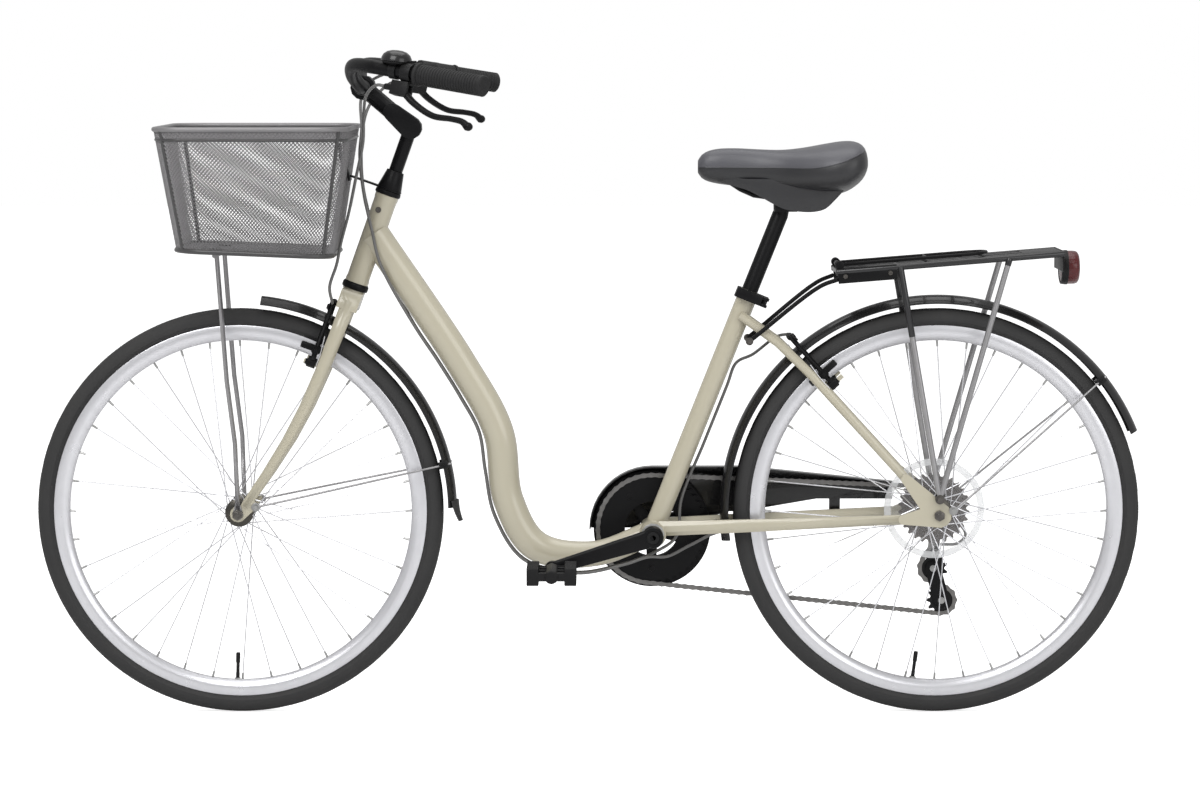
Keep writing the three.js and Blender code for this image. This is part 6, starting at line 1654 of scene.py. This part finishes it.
def make_brakes():
    """Four brake arms with rubber pads, bolts and springs, and the wire and boot between each pair"""
    front = Matrix.Translation(STEER_FOOT + STEER_UP * BRAKE_RADIUS)
    front = front @ axes(Vector((-STEER_UP.z, 0, STEER_UP.x)), -ACROSS, STEER_UP)
    out = in_plane(1.0, math.radians(132.6))
    rear = Matrix.Translation(REAR_AXLE + out * BRAKE_RADIUS) @ axes(Vector((out.z, 0, -out.x)), ACROSS, out)
    plans = (
        ("front", front, 0.024, 0.040, "steering", ("left", "right")),
        ("rear", rear, 0.0165, 0.0425, "frame", ("right", "left")),
    )
    for end, place, middle, pivot, body, names in plans:
        for way, name in zip((1, -1), names):
            arm, label = f"{end}_{name}_arm", f"{end}_{name}_brake_"
            dressed(label + "arm", "satin", 0.0010, 50)
            pieces = (
                (brake_pad(middle, way), "pad", "rubber", 38, None),
                (brake_bolts(middle, pivot, way), "bolts", "satin", 30, "zinc_steel"),
                (brake_spring(middle, pivot, way), "spring", "spoke", 60, None),
            )
            for ob, kind, finish, angle, slot in pieces:
                ob.data.transform(place)
                finished(ob, label + kind, arm, finish, angle=angle)
        for way, name in zip((1, -1), names):
            wire = brake_wire(middle, way)
            wire.data.transform(place)
            finished(wire, f"{end}_{name}_brake_wire", f"{end}_{name}_arm", "spoke", angle=40)
        boot = brake_boot(middle)
        boot.data.transform(place)
        finished(boot, end + "_brake_boot", body, "rubber", angle=40)


# Rack and reflector

RACK_SLOPE = math.radians(4.6)
RACK_FRONT = 0.296
RACK_HEIGHT = 0.428
RACK_HALF = 0.062
RACK_EYE = (0.461, 0.063)
STAY_EYE = (0.1554, 0.3148)


def on_rack(x, y, rise=0.0):
    """A place on the plane of the rack's tubes, which rises to the rear"""
    return Vector((x, y, RACK_HEIGHT + (x - RACK_FRONT) * math.tan(RACK_SLOPE) + rise))


def slanted_slab(x, length, y, wide, top, bottom):
    """A block that follows the slope of the rack"""
    return slab((length, wide, top - bottom), placed(on_rack(x, y, (top + bottom) / 2), -RACK_SLOPE), 0.0010)


def rack_side(side):
    """The tubes, legs, plates and bolts of one side of the rack"""
    eye_x, eye_z = RACK_EYE
    rail, wall = RACK_HALF * side, 0.0533 * side
    tubes = [bar(on_rack(0.2925, rail), on_rack(0.6595, rail), 0.0050, edge=0.0015)]
    legs = []
    foot = Vector((eye_x, 0.076 * side, eye_z))
    for x, black_share in ((0.396, 0.30), (0.571, 0.03)):
        top = on_rack(x, 0.0642 * side)
        join_at = top.lerp(foot, black_share)
        tubes.append(bar(top, join_at, 0.0052, 20, edge=0.0006))
        legs.append(bar(join_at - (foot - top).normalized() * 0.006, foot, 0.0047, 20))
    stay = Vector((STAY_EYE[0], 0.0384 * side, STAY_EYE[1]))
    ear = on_rack(0.299, 0.0600 * side, 0.0100)
    toe = Vector((eye_x, 0.0750 * side, 0.062))
    plates = [
        pipe([on_rack(RACK_FRONT, rail, -0.012), on_rack(0.2675, wall, -0.0216), stay], 0.0035),
        slanted_slab(0.3435, 0.095, 0.0640 * side, 0.0040, 0.0050, -0.0190),
        rounded_arm(toe, toe + Vector((0, 0, 0.009)), (0.0075, 0.0070), (0.0045, 0.0045), 4, 20),
        bar((eye_x, 0.0712 * side, eye_z), (eye_x, 0.0798 * side, eye_z), 0.0072, 28, edge=0.0008),
        bar(ear - ACROSS * 0.0020, ear + ACROSS * 0.0020, 0.0070, edge=0.0006),
    ]
    bolts = [
        hex_head((eye_x, 0.0802 * side, eye_z), (0, side, 0), 0.010, 0.0045),
        hex_head((STAY_EYE[0], 0.0425 * side, STAY_EYE[1]), (0, side, 0), 0.008, 0.0040),
    ]
    for x in (0.308, 0.380):
        bolts.append(round_head(on_rack(x, 0.0660 * side, -0.0080), (0, side, 0), 0.0040, 0.0022))
    return tubes, legs, plates, bolts


def make_rack():
    tubes, legs, plates, bolts = (left + right for left, right in zip(rack_side(-1), rack_side(1)))
    for share in (0.0, 0.27, 0.55):
        x = RACK_FRONT + 0.361 * share
        tubes.append(bar(on_rack(x, -RACK_HALF), on_rack(x, RACK_HALF), 0.0035, 18))
    for y in (-0.021, 0.021):
        tubes.append(bar(on_rack(RACK_FRONT, y, 0.001), on_rack(0.6565, y, 0.001), 0.0032, 16))
    plates.append(slanted_slab(0.627, 0.060, 0.0, 0.124, 0.0040, 0.0014))
    plates.append(slab((0.0022, 0.124, 0.034), placed((0.658, 0.0, 0.445)), 0.0009))
    finished(joined(tubes), "rack_tubes", "frame", "tube_grey", ["rear_rack"], 50)
    finished(joined(legs), "rack_legs", "frame", "leg", angle=50)
    finished(joined(plates), "rack_plates", "frame", "satin", angle=40)
    finished(joined(bolts), "rack_bolts", "frame", "oiled", angle=30)


def make_rack_clamp():
    """The sprung wire loop that holds luggage, with its axle and two coils"""
    hinge, rise = 0.299, 0.0098
    loop = [(hinge, 0.034), (0.419, 0.034), (0.5246, 0.0272), (0.539, 0.0)]
    loop += [(x, -y) for x, y in reversed(loop[:-1])]
    clamp = [pipe([on_rack(x, y, rise) for x, y in loop], 0.0030)]
    clamp.append(bar(on_rack(hinge, -0.0565, rise), on_rack(hinge, 0.0565, rise), 0.0044, 20, edge=0.0006))
    clamp.append(bar(on_rack(0.440, -0.0335, rise), on_rack(0.440, 0.0335, rise), 0.0026, 16))
    centre, radius = on_rack(hinge, 0.0, rise), 0.0062
    for side in (-1, 1):
        coil = [centre + in_plane(radius, k * 0.6, side * (0.036 + 0.00034 * k)) for k in range(54)]
        clamp.append(pipe(coil, 0.0011, 8, 0))
    finished(joined(clamp), "rack_clamp_wire", "rack_clamp", "satin", ["rack_spring_clamp"], 50)


def oval_ring(x, size, count=56):
    """An upright oval round the reflector's middle, at a share of its size"""
    ring = []
    for k in range(count):
        turn = math.tau * k / count
        ring.append(Vector((x, 0.032 * size * math.cos(turn), 0.4323 + 0.027 * size * math.sin(turn))))
    return ring


def make_reflector():
    """An oval lens in a dark shell"""
    lens = (
        (0.6593, 0.60), (0.6605, 0.86), (0.6640, 0.97), (0.6720, 1.0), (0.6790, 1.0),
        (0.6830, 0.985), (0.6862, 0.93), (0.6884, 0.80), (0.6896, 0.55), (0.6900, 0.25),
    )
    shell = (
        (0.6592, 0.90), (0.6600, 1.0), (0.6665, 1.035), (0.6700, 1.035), (0.6700, 1.0), (0.6640, 0.98),
        (0.6604, 0.88),
    )
    front = lofted([oval_ring(x, size) for x, size in lens])
    finished(front, "reflector_lens", "frame", "lens", ["rear_reflector"], 35)
    case = lofted([oval_ring(x, size) for x, size in shell], closed_ends=False, endless=True)
    finished(case, "reflector_shell", "frame", "plastic", angle=40)


# Cables: the routes of their middle lines, in metres

FRONT_CABLE = [
    (-0.452, -0.165, 0.712), (-0.461, -0.095, 0.675), (-0.464, -0.068, 0.635), (-0.476, -0.056, 0.580),
    (-0.489, -0.051, 0.520), (-0.501, -0.052, 0.475), (-0.508, -0.057, 0.440), (-0.519, -0.062, 0.405),
    (-0.5164, -0.0385, 0.3762),
]
REAR_CABLE_HEAD = [
    (-0.455, 0.165, 0.708), (-0.470, 0.095, 0.675), (-0.474, 0.052, 0.620), (-0.470, 0.032, 0.560),
    (-0.455, 0.030, 0.495), (-0.440, 0.028, 0.440),
]
REAR_CABLE_TAIL = [
    (0.005, 0.007, -0.033), (0.039, 0.007, -0.0075), (0.0470, 0.007, 0.0537), (0.0839, 0.007, 0.1466),
    (0.1209, 0.007, 0.2395), (0.135, 0.012, 0.275), (0.165, 0.044, 0.288), (0.203, 0.060, 0.315),
    (0.2213, 0.0385, 0.3210),
]
GEAR_CABLE_HEAD = [
    (-0.470, 0.175, 0.728), (-0.478, 0.110, 0.700), (-0.472, 0.030, 0.655), (-0.472, -0.022, 0.610),
    (-0.465, -0.030, 0.550), (-0.452, -0.030, 0.490), (-0.440, -0.028, 0.440),
]
GEAR_CABLE_TAIL = [
    (-0.008, -0.006, -0.040), (0.024, 0.003, -0.040), (0.062, 0.022, -0.024), (0.110, 0.035, -0.004),
    (0.240, 0.046, 0.003), (0.340, 0.056, 0.008), (0.405, 0.076, 0.010), (0.460, 0.091, 0.004),
    (0.505, 0.090, 0.004), (0.518, 0.084, -0.014), (0.505, 0.078, -0.028), (0.476, 0.076, -0.030),
]

# Where each housing leaves its lever or the shifter, in the grip's own frame
BRAKE_OUTLET = ((-0.1805, 0.0, -0.0267), (-0.1940, 0.0, -0.0267))
SHIFT_OUTLET = ((-0.1805, 0.0124, -0.0124), (-0.1940, 0.0124, -0.0124))


def beside_main_tube(y):
    """Points of a cable held under the main tube, from the head to the bottom bracket"""
    line = smooth_path(MAIN_TUBE_LINE, 24)
    reach = [0.0]
    for a, b in zip(line, line[1:]):
        reach.append(reach[-1] + (b - a).length)
    points = []
    for k in range(9):
        i = next(i for i, length in enumerate(reach) if length >= reach[-1] * (0.20 + 0.09 * k))
        along = (line[i + 1] - line[i - 1]).normalized()
        outward = Vector((along.z, 0.0, -along.x))
        points.append(line[i] + outward * math.sqrt(0.0305 ** 2 - y * y) + ACROSS * y)
    return points


def make_cables():
    """Cable housings, cut into parts at the bars, the stem and the steering; only the last part of each is
    set on a body
    """
    per_span = 10
    rear_route = REAR_CABLE_HEAD + beside_main_tube(0.007) + REAR_CABLE_TAIL
    gear_route = GEAR_CABLE_HEAD + beside_main_tube(-0.007) + GEAR_CABLE_TAIL
    upper = ((0, 3, "bars", "stem"), (3, 5, "stem", "steering"))
    front = (*upper, (5, None, "steering", None))
    rear = (*upper, (5, 8, "steering", "frame"), (8, None, "frame", None))
    gear = (*upper, (5, 9, "steering", "frame"), (9, None, "frame", None))
    plans = (
        ("front_brake_cable", -1, BRAKE_OUTLET, FRONT_CABLE, front),
        ("rear_brake_cable", 1, BRAKE_OUTLET, rear_route, rear),
        ("gear_cable", 1, SHIFT_OUTLET, gear_route, gear),
    )
    for name, side, outlet, route, parts in plans:
        line = smooth_path([bar_end_frame(side) @ Vector(spot) for spot in outlet] + route, per_span)
        for first, last, body, other in parts:
            piece = line[first * per_span:last * per_span + 1 if last else None]
            housing = pipe(piece, sizes().cable_radius, 14, 0)
            if other:
                finished(housing, f"{name}_{body}", "", "housing", angle=60)
                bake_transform(housing)
            else:
                finished(housing, f"{name}_{body}", body, "housing", [name], 60)


# Stage

WHITE = (1.0, 1.0, 1.0, 1.0)


def lamp(name, place, target, size, power):
    """A soft square lamp that looks at the target"""
    deselect()
    bpy.ops.object.light_add(type="AREA", location=place)
    light = bpy.context.object
    light.name = name
    light.data.size = size
    light.data.energy = power
    light.rotation_euler = (Vector(target) - Vector(place)).to_track_quat("-Z", "Y").to_euler()


def make_studio():
    """A world that lights plainly and shows white behind the bike"""
    world = bpy.data.worlds.new("studio")
    bpy.context.scene.world = world
    world.use_nodes = True
    tree = world.node_tree
    tree.nodes.clear()
    out = add_node(tree, "OutputWorld")
    plain_light = add_node(tree, "Background", {"Color": WHITE, "Strength": 0.55})
    white = add_node(tree, "Background", {"Color": WHITE, "Strength": 1.0})
    path = add_node(tree, "LightPath")
    seen = add_node(tree, "Math", operation="MAXIMUM")
    mix = add_node(tree, "MixShader")
    connect(
        tree,
        (path, "Is Camera Ray", seen, 0),
        (path, "Is Transmission Ray", seen, 1),
        (seen, 0, mix, 0),
        (plain_light, 0, mix, 1),
        (white, 0, mix, 2),
        (mix, 0, out, "Surface"),
    )


def make_floor():
    """A pale floor that shows near white and keeps the shadow"""
    deselect()
    bpy.ops.mesh.primitive_plane_add(size=40.0, location=(0.0, 0.0, -0.2945))
    floor = bpy.context.object
    floor.name = "floor"
    finish = bpy.data.materials.new("floor_white")
    finish.use_nodes = True
    tree = finish.node_tree
    tree.nodes.clear()
    out = add_node(tree, "OutputMaterial")
    paint = add_node(tree, "BsdfDiffuse", {"Color": (0.86, 0.86, 0.86, 1.0)})
    glow = add_node(tree, "Emission", {"Color": WHITE, "Strength": 0.72})
    total = add_node(tree, "AddShader")
    path = add_node(tree, "LightPath")
    mix = add_node(tree, "MixShader")
    connect(
        tree,
        (path, "Is Camera Ray", mix, 0),
        (paint, 0, total, 0),
        (glow, 0, total, 1),
        (paint, 0, mix, 1),
        (total, 0, mix, 2),
        (mix, 0, out, "Surface"),
    )
    floor.data.materials.append(finish)


def make_camera():
    """A camera far off the bike's left side, which looks slightly down as the photograph does"""
    deselect()
    bpy.ops.object.camera_add(location=(-0.0855, -6.2, 0.786))
    camera = bpy.context.object
    camera.name = "photo_camera"
    camera.data.lens = 115.0
    camera.data.sensor_width = 36.0
    look = Vector((-0.0855, 0.0, 0.218)) - camera.location
    camera.rotation_euler = look.to_track_quat("-Z", "Y").to_euler()
    bpy.context.scene.camera = camera
    bpy.context.scene.view_settings.view_transform = "Standard"


def make_stage():
    make_studio()
    make_floor()
    lamp("key_lamp", (-1.6, -3.0, 3.2), (0.0, 0.0, 0.1), 2.4, 95.0)
    lamp("fill_lamp", (2.6, -3.2, 1.6), (0.0, 0.0, 0.1), 2.6, 42.0)
    lamp("top_lamp", (0.0, 0.4, 3.6), (0.0, 0.0, 0.0), 3.0, 50.0)
    make_camera()


# Operators


class BIKE_OT_finishes(bpy.types.Operator):
    """Makes the paints, metals and rubbers"""

    bl_idname = "bike.finishes"
    bl_label = "Finishes"
    bl_options = {"REGISTER", "UNDO"}

    def execute(self, context):
        make_finishes()
        return {"FINISHED"}


class BIKE_OT_tyres(bpy.types.Operator):
    """Makes both tyres with their tread"""

    bl_idname = "bike.tyres"
    bl_label = "Tyres"
    bl_options = {"REGISTER", "UNDO"}

    def execute(self, context):
        make_tyres()
        return {"FINISHED"}


class BIKE_OT_rims(bpy.types.Operator):
    """Makes the rims, hubs, spokes and valves"""

    bl_idname = "bike.rims"
    bl_label = "Rims and spokes"
    bl_options = {"REGISTER", "UNDO"}

    def execute(self, context):
        make_rims()
        make_hubs()
        make_valves()
        make_spoke_guard()
        return {"FINISHED"}


class BIKE_OT_mudguards(bpy.types.Operator):
    """Makes both mudguards with their stays"""

    bl_idname = "bike.mudguards"
    bl_label = "Mudguards"
    bl_options = {"REGISTER", "UNDO"}

    def execute(self, context):
        make_mudguards()
        return {"FINISHED"}


class BIKE_OT_frame(bpy.types.Operator):
    """Makes the painted frame, fork and headset"""

    bl_idname = "bike.frame"
    bl_label = "Frame and fork"
    bl_options = {"REGISTER", "UNDO"}

    def execute(self, context):
        make_frame()
        make_fork()
        make_steering_parts()
        return {"FINISHED"}


class BIKE_OT_bars(bpy.types.Operator):
    """Makes the handlebar, grips, levers and bell"""

    bl_idname = "bike.bars"
    bl_label = "Handlebar and controls"
    bl_options = {"REGISTER", "UNDO"}

    def execute(self, context):
        make_handlebar()
        make_grips()
        make_brake_levers()
        make_bell()
        return {"FINISHED"}


class BIKE_OT_basket(bpy.types.Operator):
    """Makes the wire basket and its legs"""

    bl_idname = "bike.basket"
    bl_label = "Basket"
    bl_options = {"REGISTER", "UNDO"}

    def execute(self, context):
        make_basket()
        make_basket_legs()
        return {"FINISHED"}


class BIKE_OT_saddle(bpy.types.Operator):
    """Makes the saddle, its rails, post and collar"""

    bl_idname = "bike.saddle"
    bl_label = "Saddle and post"
    bl_options = {"REGISTER", "UNDO"}

    def execute(self, context):
        make_saddle()
        return {"FINISHED"}


class BIKE_OT_drive(bpy.types.Operator):
    """Makes the cranks, pedals, chain and gears"""

    bl_idname = "bike.drive"
    bl_label = "Drive"
    bl_options = {"REGISTER", "UNDO"}

    def execute(self, context):
        make_drive()
        return {"FINISHED"}


class BIKE_OT_brakes(bpy.types.Operator):
    """Makes the four brake arms with their pads"""

    bl_idname = "bike.brakes"
    bl_label = "Brakes"
    bl_options = {"REGISTER", "UNDO"}

    def execute(self, context):
        make_brakes()
        return {"FINISHED"}


class BIKE_OT_rack(bpy.types.Operator):
    """Makes the rear rack with its spring clamp, and the reflector"""

    bl_idname = "bike.rack"
    bl_label = "Rack and reflector"
    bl_options = {"REGISTER", "UNDO"}

    def execute(self, context):
        make_rack()
        make_rack_clamp()
        make_reflector()
        return {"FINISHED"}


class BIKE_OT_cables(bpy.types.Operator):
    """Makes the cable housings"""

    bl_idname = "bike.cables"
    bl_label = "Cables"
    bl_options = {"REGISTER", "UNDO"}

    def execute(self, context):
        make_cables()
        return {"FINISHED"}


class BIKE_OT_stage(bpy.types.Operator):
    """Makes the floor, lamps and camera"""

    bl_idname = "bike.stage"
    bl_label = "Stage"
    bl_options = {"REGISTER", "UNDO"}

    def execute(self, context):
        make_stage()
        return {"FINISHED"}


STEPS = (
    BIKE_OT_finishes,
    BIKE_OT_tyres,
    BIKE_OT_rims,
    BIKE_OT_mudguards,
    BIKE_OT_frame,
    BIKE_OT_bars,
    BIKE_OT_basket,
    BIKE_OT_saddle,
    BIKE_OT_drive,
    BIKE_OT_brakes,
    BIKE_OT_rack,
    BIKE_OT_cables,
    BIKE_OT_stage,
)


class BIKE_PT_panel(bpy.types.Panel):
    """Lists the steps that build the bike"""

    bl_idname = "BIKE_PT_panel"
    bl_label = "Step-through bike"
    bl_space_type = "VIEW_3D"
    bl_region_type = "UI"
    bl_category = "Bike"

    def draw(self, context):
        column = self.layout.column()
        for step in STEPS:
            column.operator(step.bl_idname, text=step.bl_label)
        for values in (context.scene.bike_sizes, context.scene.bike_colours):
            for name in values.__annotations__:
                column.prop(values, name)


CLASSES = (BikeColours, BikeSizes, *STEPS, BIKE_PT_panel)


def register():
    for item in CLASSES:
        bpy.utils.register_class(item)
    bpy.types.Scene.bike_colours = PointerProperty(type=BikeColours)
    bpy.types.Scene.bike_sizes = PointerProperty(type=BikeSizes)


def unregister():
    del bpy.types.Scene.bike_sizes
    del bpy.types.Scene.bike_colours
    for item in reversed(CLASSES):
        bpy.utils.unregister_class(item)


def main():
    register()
    for step in STEPS:
        namespace, name = step.bl_idname.split(".")
        getattr(getattr(bpy.ops, namespace), name)()
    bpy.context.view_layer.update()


if __name__ == "__main__":
    main()
